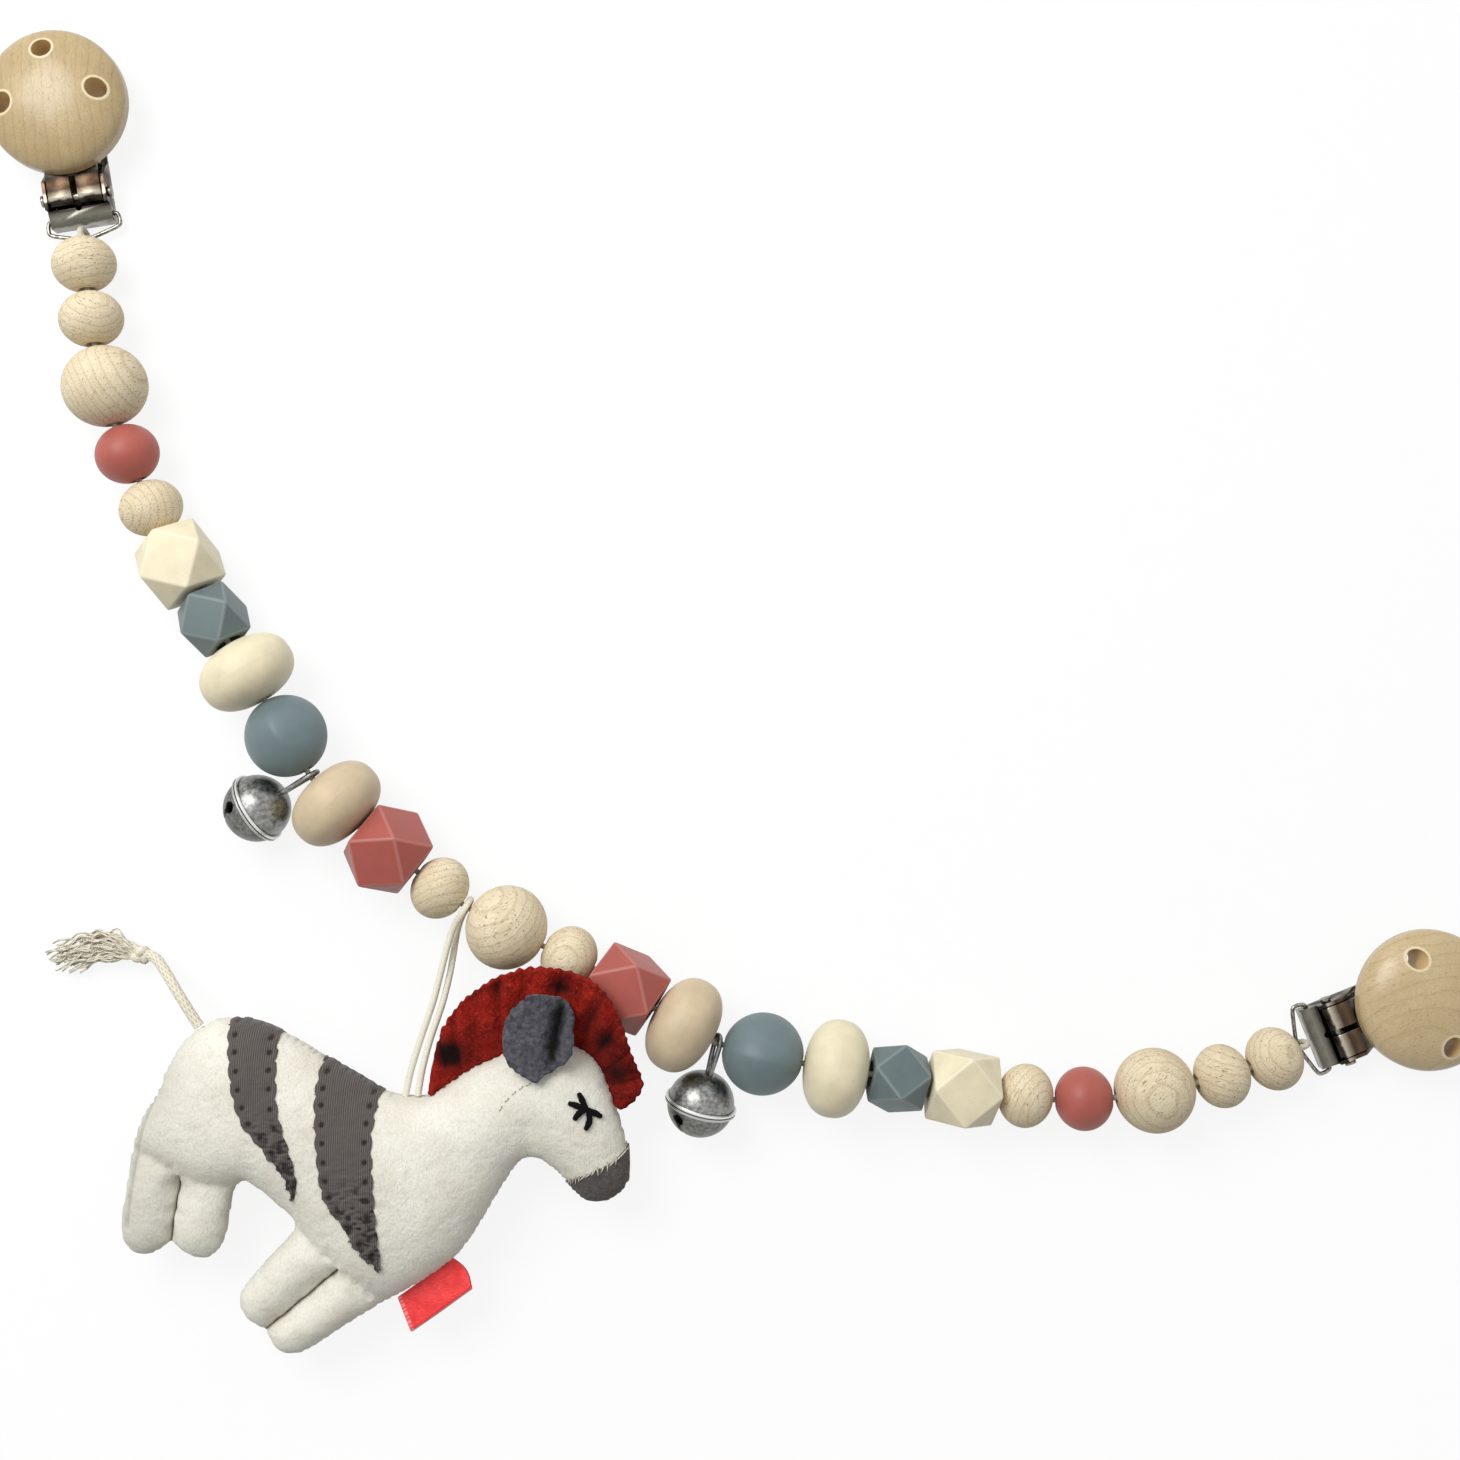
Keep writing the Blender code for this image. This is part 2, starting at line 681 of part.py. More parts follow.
def lay_arm(side):
    """The beads of one arm, from the middle bead outwards. Each turns about an upright axis in
    the middle of the gap on its inner side, and its bore runs from that gap to the next."""
    sign = 1 if side == "right" else -1
    headings = RIGHT_HEADINGS if side == "right" else LEFT_HEADINGS
    rolls = RIGHT_ROLLS if side == "right" else LEFT_ROLLS
    gaps = arm_gaps(side)
    places = path_places()
    first_heading = MIDDLE_HEADING if side == "right" else MIDDLE_HEADING + 180
    spot = direction(first_heading) * (LARGE_WOOD_LENGTH + gaps[0]) / 2
    reached = (LARGE_WOOD_LENGTH + gaps[0]) / 2
    beads = []
    for index, kind in enumerate(ARM):
        size = BEAD_MAKERS[kind][0]
        gap_after = gaps[index + 1] if index + 1 < len(gaps) else BEAD_GAP
        inner = (gaps[index] + size[1]) / 2
        whole = inner + (size[1] + gap_after) / 2
        behind = thread_height(sign * reached, places)
        ahead = thread_height(sign * (reached + whole), places)
        pitch = asin((ahead - behind) / whole)
        hinge = Vector((spot.x, spot.y, behind))
        along = direction(headings[index], pitch)
        name = f"{side}_bead_{index + 1:02d}_{kind}"
        roll = rolls.get(kind, 0)
        centre = hinge + along * inner
        beads.append(Bead(name, kind, size, headings[index], pitch, roll, centre, hinge))
        spot = hinge + along * whole
        reached += whole
    return beads


def outer_end(bead):
    return bead.centre + bead.along() * bead.size[1] / 2


# Metal clip. Its own frame has X outwards from the chain to the disc, with the table at Z zero


def clip_frame(side, last):
    """Where the clip lies, with the wire's tip just past the last bead."""
    heading = RIGHT_CLIP_HEADING if side == "right" else LEFT_CLIP_HEADING
    end = outer_end(last)
    end.z = 0
    spot = end + direction(heading) * (TIP_TO_BEAD + WIRE_TIP)
    return Matrix.Translation(spot) @ Matrix.Rotation(radians(heading), 4, "Z")


def arc(centre, radius, first, last, steps):
    """Points on an arc, with the angles in degrees."""
    points = []
    for step in range(steps + 1):
        angle = radians(first + (last - first) * step / steps)
        points.append((centre[0] + radius * cos(angle), centre[1] + radius * sin(angle)))
    return points


def clip_base(name):
    """The stamped channel under the disc: ears for the pin, and a sloped strip at the rear."""
    ear_slope = EAR_TOP - PIN_HEIGHT
    side_profile = (
        (-FRAME_REAR, 0),
        (FRAME_LENGTH, 0),
        (FRAME_LENGTH, SHEET),
        (EAR_FRONT, SHEET),
        (EAR_FRONT - ear_slope / 2, SHEET + ear_slope),
        (EAR_FRONT - 2 * ear_slope, EAR_TOP),
        (-EAR_REAR, EAR_TOP),
        (-EAR_REAR, STRIP_HEIGHT),
        (-FRAME_REAR, STRIP_REAR_HEIGHT),
    )
    hollow_profile = (
        (-FRAME_REAR + SHEET, SHEET),
        (FRAME_LENGTH + OVERRUN, SHEET),
        (FRAME_LENGTH + OVERRUN, EAR_TOP + OVERRUN),
        (-EAR_REAR - OVERRUN, EAR_TOP + OVERRUN),
        (-EAR_REAR, STRIP_HEIGHT),
        (-EAR_REAR, STRIP_HEIGHT - SHEET),
        (-FRAME_REAR + SHEET, STRIP_REAR_HEIGHT - SHEET),
    )
    base = extruded(name, side_profile, FRAME_WIDTH / 2, "chrome")
    hollow = extruded(f"{name} hollow", hollow_profile, FRAME_WIDTH / 2 - SHEET, "chrome")
    boolean(base, hollow)
    reach = Vector((0, FRAME_WIDTH / 2 + OVERRUN, 0))
    pin_place = Vector((0, 0, PIN_HEIGHT))
    pin_hole = PIN_DIAMETER + 2 * CLEARANCE
    boolean(
        base, cylinder_between(f"{name} pin hole", pin_place - reach, pin_place + reach, pin_hole)
    )
    inside = Vector((0, FRAME_WIDTH / 2 - SHEET - CLEARANCE, 0))
    wire_place = Vector((-WIRE_PIVOT, 0, WIRE_HEIGHT))
    wire_hole = WIRE_DIAMETER + 2 * CLEARANCE
    for sign in (-1, 1):
        start = wire_place + sign * inside
        end = wire_place + sign * reach
        boolean(base, cylinder_between(f"{name} wire hole {sign}", start, end, wire_hole))
    notch_place = Vector((-EAR_REAR, 0, STRIP_HEIGHT))
    lift = Vector((0, 0, SHEET * 2))
    notch = cylinder_between(
        f"{name} notch", notch_place - lift, notch_place + lift, STRIP_NOTCH_DIAMETER
    )
    boolean(base, notch)
    return base


def clip_lever(name):
    """The jaw lever: two tongues curled round the pin, a plate, and a lip bent down to the pad."""
    inner = PIN_DIAMETER / 2 + CLEARANCE
    outer = inner + SHEET
    pin_place = (0, PIN_HEIGHT)
    lip = SHEET + PAD_THICKNESS + 2 * CLEARANCE
    profile = arc(pin_place, outer, 90, 330, 8) + arc(pin_place, inner, 330, 90, 8)
    profile += [
        (LEVER_LENGTH - SHEET, PIN_HEIGHT + inner),
        (LEVER_LENGTH - SHEET, lip),
        (LEVER_LENGTH, lip),
        (LEVER_LENGTH, PIN_HEIGHT + outer),
    ]
    width = FRAME_WIDTH - 2 * (SHEET + CLEARANCE)
    lever = extruded(name, profile, width / 2, "chrome")
    notch_profile = (
        (-outer - OVERRUN, 0),
        (LEVER_NOTCH_END, 0),
        (LEVER_NOTCH_END, PIN_HEIGHT + outer + OVERRUN),
        (-outer - OVERRUN, PIN_HEIGHT + outer + OVERRUN),
    )
    boolean(lever, extruded(f"{name} notch", notch_profile, LEVER_NOTCH / 2, "chrome"))
    return lever


def clip_pad(name):
    """The moulded jaw insert, flat behind and toothed in front."""
    bottom = SHEET + CLEARANCE
    top = bottom + PAD_THICKNESS
    profile = [(PAD_START, bottom), (PAD_END, bottom)]
    reached = PAD_END
    while reached - PAD_TOOTH_PITCH > PAD_FLAT_END:
        profile.append((reached, top))
        profile.append((reached - PAD_TOOTH_PITCH / 2, top - PAD_TOOTH_HEIGHT))
        reached -= PAD_TOOTH_PITCH
    profile += [(reached, top), (PAD_START, top)]
    return extruded(name, profile, PAD_WIDTH / 2, "plastic")


def clip_pin(name):
    """A riveted pin across the ears, heads outside."""
    half = PIN_LENGTH / 2
    shoulder = half - PIN_HEAD_THICKNESS
    profile = (
        (0, half),
        (PIN_HEAD_DIAMETER / 2, half),
        (PIN_HEAD_DIAMETER / 2, shoulder),
        (PIN_DIAMETER / 2, shoulder),
        (PIN_DIAMETER / 2, -shoulder),
        (PIN_HEAD_DIAMETER / 2, -shoulder),
        (PIN_HEAD_DIAMETER / 2, -half),
        (0, -half),
    )
    pin = turned(name, profile, 12, "chrome")
    lying = Matrix.Translation((0, 0, PIN_HEIGHT)) @ Matrix.Rotation(radians(90), 4, "X")
    pin.data.transform(lying)
    return pin


def clip_wire(name):
    """The wire loop: hooked into the ears, bowed out, and drawn in to the tip the thread holds."""
    ear = FRAME_WIDTH / 2
    outside = ear + CLEARANCE + WIRE_DIAMETER / 2
    inside = ear - SHEET - CLEARANCE
    run = WIRE_TIP - WIRE_PIVOT
    tip = WIRE_TIP_WIDTH / 2
    half = (
        (-WIRE_PIVOT, inside),
        (-WIRE_PIVOT, ear),
        (-WIRE_PIVOT - WIRE_DIAMETER / 2, outside),
        (-WIRE_PIVOT - run * 0.38, outside + WIRE_BULGE / 4),
        (-WIRE_PIVOT - run * 0.62, outside - WIRE_BULGE / 2),
        (-WIRE_PIVOT - run * 0.78, (outside + tip) / 2 + WIRE_BULGE / 4),
        (-WIRE_PIVOT - run * 0.88, (outside + 2 * tip) / 3),
        (-WIRE_TIP, tip / 2),
    )
    route = [(x, y, WIRE_HEIGHT) for x, y in half]
    route += [(x, -y, WIRE_HEIGHT) for x, y in reversed(half)]
    return tube(name, curve_between(route, 2), WIRE_DIAMETER, "chrome")


def clip_disc(name):
    """The domed wooden disc with its three vents."""
    radius = DISC_DIAMETER / 2
    dome = DISC_THICKNESS - DISC_RIM
    profile = [(0, DISC_THICKNESS)]
    profile += [
        (x, DISC_RIM + height) for x, height in arc_of_ellipse(radius, dome, DISC_STEPS)
    ]
    profile += [(radius, DISC_FOOT_ROUND), (radius - DISC_FOOT_ROUND, 0), (0, 0)]
    disc = turned(name, profile, 28, "varnished_wood")
    for index, angle in enumerate((-90, 0, 90)):
        foot = direction(angle) * VENT_RADIUS
        foot.z = -OVERRUN
        head = foot + Vector((0, 0, DISC_THICKNESS + 2 * OVERRUN))
        boolean(disc, cylinder_between(f"{name} vent {index}", foot, head, VENT_DIAMETER))
    seat = PIN_HEIGHT + PIN_DIAMETER / 2 + SHEET + 2 * CLEARANCE
    shift = Matrix.Translation((DISC_CENTRE, 0, seat))
    disc.data.transform(shift)
    for modifier in disc.modifiers:
        modifier.object.data.transform(shift)
    return disc


def arc_of_ellipse(radius, height, steps):
    """From just beside the pole down to the rim."""
    points = []
    for step in range(1, steps + 1):
        angle = pi / 2 * step / steps
        points.append((radius * sin(angle), height * cos(angle)))
    return points


def make_clip(side, last):
    frame = clip_frame(side, last)
    pin_axis = (0, 0, PIN_HEIGHT)
    ear_axis = (-WIRE_PIVOT, 0, WIRE_HEIGHT)
    pieces = (
        (clip_base(f"{side}_clip_frame"), ear_axis),
        (clip_pin(f"{side}_clip_pin"), ear_axis),
        (clip_pad(f"{side}_clip_pad"), ear_axis),
        (clip_lever(f"{side}_clip_lever"), pin_axis),
        (clip_disc(f"{side}_clip_disc"), pin_axis),
        (clip_wire(f"{side}_clip_wire_loop"), (-WIRE_TIP, 0, WIRE_HEIGHT)),
    )
    for piece, pivot in pieces:
        for modifier in piece.modifiers:
            place(modifier.object, frame)
        place(piece, frame, pivot)
    return frame


# Thread


def thread_over_tip(frame, bead_end):
    """Out of the last bead, down over the wire's tip, under it and up behind it."""
    turn = (WIRE_DIAMETER + THREAD_DIAMETER) / 2 + CLEARANCE * 1.4
    local_end = frame.inverted() @ bead_end
    climb = local_end.z - WIRE_HEIGHT
    points = [
        (local_end.x + turn * 0.5, local_end.z - THREAD_TUCK),
        (-WIRE_TIP + turn * 0.75, local_end.z - climb * 0.22),
        (-WIRE_TIP + turn * 1.08, WIRE_HEIGHT + climb * 0.42),
    ]
    points += arc((-WIRE_TIP, WIRE_HEIGHT), turn, 10, -205, 8)
    return [tuple(frame @ Vector((x, 0, z))) for x, z in points]


def make_thread(left, middle, right, left_frame, right_frame):
    """One cord through every bead, bent only in the middle of each gap."""
    route = list(reversed(thread_over_tip(left_frame, outer_end(left[-1]))))
    route += [bead.hinge for bead in reversed(left)]
    route.append(middle.centre)
    route += [bead.hinge for bead in right]
    route += thread_over_tip(right_frame, outer_end(right[-1]))
    return tube("thread", [tuple(point) for point in route], THREAD_DIAMETER, "thread")


# Bells. A bell's own frame has the thread at its origin and the bell's middle down its Z


def bell_profile(sign):
    """Half of the hollow shell, from its pole round the raised rim and back inside."""
    outer = BELL_DIAMETER / 2
    inner = outer - BELL_WALL
    gap = CLEARANCE / 2
    rim = gap + BELL_BEAD_WIDTH
    outer_angle = degrees(asin(rim / outer))
    inner_angle = degrees(asin(gap / inner))
    points = arc((0, 0), outer, 90, outer_angle, BELL_STEPS)
    points += [(outer + BELL_BEAD_REACH, rim), (outer + BELL_BEAD_REACH, gap)]
    points += arc((0, 0), inner, inner_angle, 90, BELL_STEPS)
    points[0] = (0, outer)
    points[-1] = (0, inner)
    return [(radius, sign * height) for radius, height in points]


def bell_eyelet(name):
    """The wire eyelet, from one foot in the crown round the thread to the other."""
    foot_height = -BELL_HANG + BELL_DIAMETER / 2 - BELL_WALL / 2
    wide = EYELET_HALF_WIDTH
    leg = (
        (EYELET_FOOT_HALF_WIDTH, foot_height),
        ((EYELET_FOOT_HALF_WIDTH + wide) / 2, (foot_height - wide) / 2),
        (wide, -wide / 2),
    )
    half_turn = arc((0, 0), wide, 15, 165, 5)
    route = list(leg) + half_turn + [(-y, z) for y, z in reversed(leg)]
    return tube_mesh(name, [(0, y, z) for y, z in route], EYELET_WIRE, "silver")


def bell_upper(name):
    upper = turned(name, bell_profile(1), 18, "silver")
    upper.data.transform(Matrix.Translation((0, 0, -BELL_HANG)))
    boolean(upper, bell_eyelet(f"{name} eyelet"), "UNION")
    return upper


def bell_lower(name):
    """The lower half, with a hole at each end of its slot."""
    lower = turned(name, bell_profile(-1), 18, "silver")
    outer = BELL_DIAMETER / 2 + OVERRUN
    spread = radians(SLOT_SPREAD)
    ends = [(sign * outer * sin(spread), -outer * cos(spread)) for sign in (-1, 1)]
    slot_profile = [(0, -BELL_DIAMETER / 8), ends[0], (0, -outer), ends[1]]
    slot = extruded(f"{name} slot", slot_profile, SLOT_WIDTH / 2, "silver")
    cutters = [slot]
    for index, (x, z) in enumerate(ends):
        end = Vector((x, 0, z))
        cutters.append(
            cylinder_between(f"{name} slot end {index}", end / 2, end, SLOT_HOLE_DIAMETER, 10)
        )
    turn = Matrix.Rotation(radians(SLOT_TURN), 4, "Z")
    for cutter in cutters:
        cutter.data.transform(Matrix.Translation((0, 0, -BELL_HANG)) @ turn)
        boolean(lower, cutter)
    lower.data.transform(Matrix.Translation((0, 0, -BELL_HANG)))
    return lower


def make_bell(side, inner_bead, outer_bead):
    """A bell lying on the table beside its gap, on the side that the chain bows towards."""
    number = 1 if side == "left" else 2
    turn = 1 if side == "left" else -1
    lean = LEFT_BELL_LEAN if side == "left" else RIGHT_BELL_LEAN
    hole = outer_bead.hinge
    heading = (inner_bead.heading + outer_bead.heading) / 2 + turn * (90 - lean)
    height = BELL_DIAMETER / 2 + BELL_BEAD_REACH
    drop = hole.z - height
    away = direction(heading) * (BELL_HANG ** 2 - drop ** 2) ** 0.5
    up_eyelet = (Vector((0, 0, drop)) - away).normalized()
    above = (Vector((0, 0, 1)) - up_eyelet * up_eyelet.z).normalized()
    frame = Matrix((above.cross(up_eyelet), above, up_eyelet)).transposed().to_4x4()
    frame = Matrix.Translation(hole) @ frame
    shells = (bell_upper(f"bell_{number}_upper_shell"), bell_lower(f"bell_{number}_lower_shell"))
    for shell in shells:
        for modifier in shell.modifiers:
            place(modifier.object, frame)
        place(shell, frame)
    pellet_shape = bmesh.new()
    bmesh.ops.create_icosphere(pellet_shape, subdivisions=2, radius=PELLET_DIAMETER / 2)
    pellet = from_bmesh(f"bell_{number}_pellet", pellet_shape, "silver")
    drop = (BELL_DIAMETER - PELLET_DIAMETER) / 2 - BELL_WALL - PELLET_REST_GAP
    bottom = frame @ Vector((0, 0, -BELL_HANG)) - Vector((0, 0, drop))
    turned_like_bell = frame.to_3x3().to_4x4()
    return place(pellet, Matrix.Translation(bottom) @ turned_like_bell)


# Stuffed zebra. Its shares are of ZEBRA_LENGTH, from the left end of the rump and the front hoof


def zebra_point(x_share, y_share, z_share=0.0):
    left = MANE_CROSSING[0] - CROSSING_SHARE[0] * ZEBRA_LENGTH
    foot = MANE_CROSSING[1] - CROSSING_SHARE[1] * ZEBRA_LENGTH
    return Vector(
        (
            left + x_share * ZEBRA_LENGTH,
            foot + y_share * ZEBRA_LENGTH,
            ZEBRA_SEAM_HEIGHT + z_share * ZEBRA_LENGTH,
        )
    )


def ribs_of(shares):
    """Ribs as (one edge, other edge, half thickness). A share row has five numbers for a rib in
    the seam's plane, or seven with each edge's rise above it."""
    ribs = []
    for row in shares:
        if len(row) == 5:
            x_1, y_1, x_2, y_2, thickness = row
            rise_1 = rise_2 = 0.0
        else:
            x_1, y_1, rise_1, x_2, y_2, rise_2, thickness = row
        first = zebra_point(x_1, y_1, rise_1)
        second = zebra_point(x_2, y_2, rise_2)
        ribs.append((*first, *second, thickness * ZEBRA_LENGTH))
    return ribs


def stuffed(name, shares, material, sides=16, refine=2, grow=0.0, scallop=0.0):
    """A closed form that swells and tapers through its ribs, with oval sections and round ends."""
    ribs = curve_between(ribs_of(shares), refine)
    middles = [(Vector(rib[0:3]) + Vector(rib[3:6])) / 2 for rib in ribs]
    shape = bmesh.new()
    rings = []
    last = len(ribs) - 1
    for index, rib in enumerate(ribs):
        reach = (Vector(rib[0:3]) - Vector(rib[3:6])) / 2
        run = (middles[min(index + 1, last)] - middles[max(index - 1, 0)]).normalized()
        over = run.cross(reach).normalized()
        if over.z < 0:
            over = -over
        edge = reach
        if index % 2:
            edge = reach - reach.normalized() * scallop
        ring = []
        for step in range(sides):
            angle = tau * step / sides
            point = middles[index] + edge * cos(angle) + over * rib[6] * sin(angle)
            ring.append(shape.verts.new(point))
        rings.append(ring)
    for lower, upper in zip(rings, rings[1:]):
        for step in range(sides):
            after = (step + 1) % sides
            shape.faces.new((lower[step], lower[after], upper[after], upper[step]))
    for ring, index, neighbour in ((rings[0], 0, 1), (rings[-1], last, last - 1)):
        outwards = (middles[index] - middles[neighbour]).normalized()
        pole = shape.verts.new(middles[index] + outwards * ribs[index][6] * END_ROUND_SHARE)
        for step in range(sides):
            shape.faces.new((ring[step], ring[(step + 1) % sides], pole))
    bmesh.ops.recalc_face_normals(shape, faces=shape.faces)
    shape.normal_update()
    for vertex in shape.verts:
        vertex.co += vertex.normal * grow
    return from_bmesh(name, shape, material, 60)


def prism(name, outline_shares, material):
    """An upright block over an outline, taller than the zebra."""
    outline = [zebra_point(x, y).xy for x, y in outline_shares]
    block = extruded(name, outline, ZEBRA_SEAM_HEIGHT + OVERRUN, material, across="Z")
    block.data.transform(Matrix.Translation((0, 0, ZEBRA_SEAM_HEIGHT)))
    return block


def stripe(name, outline_shares):
    """A cloth patch on both flanks, folded over the back."""
    patch = prism(name, outline_shares, "stripe")
    over = stuffed(f"{name} outside", BODY_SHARES, "cotton", 20, 2, SEWN_CLEARANCE + STRIPE_CLOTH)
    under = stuffed(f"{name} inside", BODY_SHARES, "cotton", 20, 2, SEWN_CLEARANCE)
    boolean(patch, over, "INTERSECT")
    boolean(patch, under)
    return patch


def zebra_label(name):
    """The folded side label, sewn into the belly seam and left plain."""
    outline = [zebra_point(x, y).xy for x, y in LABEL_SHARES]
    label = extruded(name, outline, LABEL_THICKNESS / 2, "label", across="Z")
    label.data.transform(Matrix.Translation((0, 0, ZEBRA_SEAM_HEIGHT)))
    bevel = label.modifiers.new("rounded corners", "BEVEL")
    bevel.width = LABEL_CORNER
    bevel.segments = 2
    bevel.limit_method = "ANGLE"
    bevel.affect = "VERTICES"
    return label


def loop_strand(shares, gap_place):
    """One strand's points, from the seat on the zebra's back up to the gap."""
    way = zebra_point(*SEAT_SHARE) - gap_place
    way.z = 0
    aside = Vector((-way.y, way.x, 0))
    strand = []
    for along_share, aside_share, height_share in shares:
        point = gap_place + way * along_share + aside * aside_share
        strand.append((point.x, point.y, ZEBRA_SEAM_HEIGHT * height_share))
    return strand


def hanging_loop(gap_place):
    """The doubled cord: up from the back, over the thread, under it and back down."""
    turn = LOOP_DIAMETER * LOOP_TURN_SHARE
    beyond = (THREAD_DIAMETER + LOOP_DIAMETER) / 2 + CLEARANCE * 1.7
    away = direction(LOOP_WRAP_HEADING)
    centre = gap_place + away * (turn - beyond)
    wrap = []
    for angle in LOOP_WRAP_ANGLES:
        lift = Vector((0, 0, turn * sin(radians(angle))))
        wrap.append(tuple(centre + away * turn * cos(radians(angle)) + lift))
    route = loop_strand(LOOP_UPPER_SHARES, gap_place) + wrap
    route += reversed(loop_strand(LOOP_LOWER_SHARES, gap_place))
    return tube("hanging_loop", curve_between(route, 2), LOOP_DIAMETER, "thread")


def make_zebra(gap_place):
    """Every sewn piece, each cut clear of the larger ones it meets."""
    body = stuffed("zebra_body", BODY_SHARES, "cotton", 20, 2)
    body_room = as_cutter(stuffed("body room", BODY_SHARES, "cotton", 20, 2, SEWN_CLEARANCE))
    head = stuffed("zebra_head", HEAD_SHARES, "cotton", 18, 2)
    head_room = as_cutter(stuffed("head room", HEAD_SHARES, "cotton", 18, 2, SEWN_CLEARANCE))
    boolean(head, body_room)
    pieces = [body, head]
    leg_rooms = []
    for name, shares in LEG_SHARES.items():
        leg = stuffed(name, shares, "cotton", 12, 2)
        boolean(leg, body_room)
        leg_rooms.append(as_cutter(stuffed(f"{name} room", shares, "cotton", 12, 2, SEWN_CLEARANCE)))
        pieces.append(leg)
    muzzle = stuffed("zebra_muzzle", MUZZLE_SHARES, "muzzle", 18, 2)
    boolean(muzzle, head_room)
    mane = stuffed("zebra_mane", MANE_SHARES, "mane", 10, 2, 0.0, MANE_SCALLOP)
    boolean(mane, body_room)
    boolean(mane, head_room)
    mane_room = as_cutter(stuffed("mane room", MANE_SHARES, "mane", 10, 2, SEWN_CLEARANCE))
    pieces += [muzzle, mane]
    for name, shares in (("zebra_ear_upper", EAR_SHARES), ("zebra_ear_lower", LOWER_EAR_SHARES)):
        ear = stuffed(name, shares, "ear", 10, 2)
        for room in (body_room, head_room, mane_room):
            boolean(ear, room)
        pieces.append(ear)
    pieces.append(stripe("zebra_stripe_rear", REAR_STRIPE_SHARES))
    front_stripe = stripe("zebra_stripe_front", FRONT_STRIPE_SHARES)
    label = zebra_label("zebra_label")
    boolean(label, body_room)
    for room in leg_rooms[2:]:
        boolean(front_stripe, room)
        boolean(label, room)
    pieces += [front_stripe, label]
    tail_route = curve_between([zebra_point(*share) for share in TAIL_SHARES], 2)
    pieces.append(tube("zebra_tail_cord", tail_route, TAIL_DIAMETER, "thread"))
    pieces.append(stuffed("zebra_tail_tassel", TASSEL_SHARES, "thread", 10, 2))
    pieces.append(hanging_loop(gap_place))
    axis = Vector((gap_place.x, gap_place.y, 0))
    for piece in pieces:
        piece.data.transform(Matrix.Translation(-axis))
        piece.matrix_world = Matrix.Translation(axis)


def stand_on_origin():
    """Hangs every piece on one empty, and moves it so that the footprint's middle is the origin."""
    carrier = bpy.data.objects.new("pram_chain", None)
    bpy.context.scene.collection.objects.link(carrier)
    bpy.context.view_layer.update()
    lowest = Vector((1, 1, 1)) * ZEBRA_LENGTH
    highest = -lowest
    for obj in list(bpy.data.objects):
        if obj is carrier:
            continue
        obj.parent = carrier
        if obj.hide_render:
            continue
        evaluated = obj.evaluated_get(bpy.context.evaluated_depsgraph_get())
        mesh = evaluated.to_mesh()
        for vertex in mesh.vertices:
            point = obj.matrix_world @ vertex.co
            lowest = Vector(map(min, lowest, point))
            highest = Vector(map(max, highest, point))
        evaluated.to_mesh_clear()
    middle = (lowest + highest) / 2
    carrier.location = (-middle.x, -middle.y, -lowest.z)


def main():
    clear_scene()
    middle = middle_bead()
    left = lay_arm("left")
    right = lay_arm("right")
    for bead in (middle, *left, *right):
        make_bead(bead)
    left_frame = make_clip("left", left[-1])
    right_frame = make_clip("right", right[-1])
    make_thread(left, middle, right, left_frame, right_frame)
    make_bell("left", left[BELL_AFTER - 1], left[BELL_AFTER])
    make_bell("right", right[BELL_AFTER - 1], right[BELL_AFTER])
    make_zebra(left[0].hinge)
    stand_on_origin()


main()
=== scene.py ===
# %% [markdown]
# # A pram chain toy
#
# The toy lies on a table: twenty-five threaded beads, two round bells, a stuffed zebra on a
# hanging loop, and a wooden clip at each end. Its rigid frame comes packed from CAD. This lesson
# dresses that frame, one piece at a time, with finer shapes and with finishes made from nodes.
# Lengths are in metres, as in the frame.

import json
from math import asin, atan2, cos, exp, pi, radians, sin, tau
from random import Random

import bmesh
import bpy
import numpy as np
from mathutils import Euler, Matrix, Vector, noise
from mathutils.bvhtree import BVHTree
from mathutils.kdtree import KDTree


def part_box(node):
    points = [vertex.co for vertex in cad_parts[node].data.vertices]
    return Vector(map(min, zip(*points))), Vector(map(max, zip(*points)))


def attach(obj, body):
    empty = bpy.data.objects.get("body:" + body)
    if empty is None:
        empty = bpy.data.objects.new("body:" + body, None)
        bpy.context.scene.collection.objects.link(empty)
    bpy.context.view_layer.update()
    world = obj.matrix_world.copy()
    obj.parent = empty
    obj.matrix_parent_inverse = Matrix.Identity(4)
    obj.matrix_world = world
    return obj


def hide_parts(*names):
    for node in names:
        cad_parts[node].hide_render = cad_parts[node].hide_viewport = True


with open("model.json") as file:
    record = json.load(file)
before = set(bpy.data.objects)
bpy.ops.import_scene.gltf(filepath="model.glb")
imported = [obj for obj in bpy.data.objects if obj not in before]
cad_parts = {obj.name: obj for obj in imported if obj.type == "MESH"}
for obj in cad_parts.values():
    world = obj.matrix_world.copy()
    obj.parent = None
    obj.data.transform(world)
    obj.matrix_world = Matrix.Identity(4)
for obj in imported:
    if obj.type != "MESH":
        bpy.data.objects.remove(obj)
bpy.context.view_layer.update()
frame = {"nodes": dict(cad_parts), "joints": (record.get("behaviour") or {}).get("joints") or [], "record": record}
joints = {joint["name"]: joint for joint in frame["joints"]}
MM = 0.001
print("CAD nodes:", len(frame["nodes"]), "joints:", len(joints))


def joint_place(name):
    return Vector(joints[name]["pos_m"])


# %% [markdown]
# ## Where the photograph was taken from
#
# The photograph looks straight down at the table. Its middle pixel is under the lens, and the
# middle bead of the chain gives the rest: at bead height one millimetre is 4.2 pixels wide. A
# function turns a pixel, and a height over the table, into a place, so that small things such as
# stitches can be put where the photograph shows them.

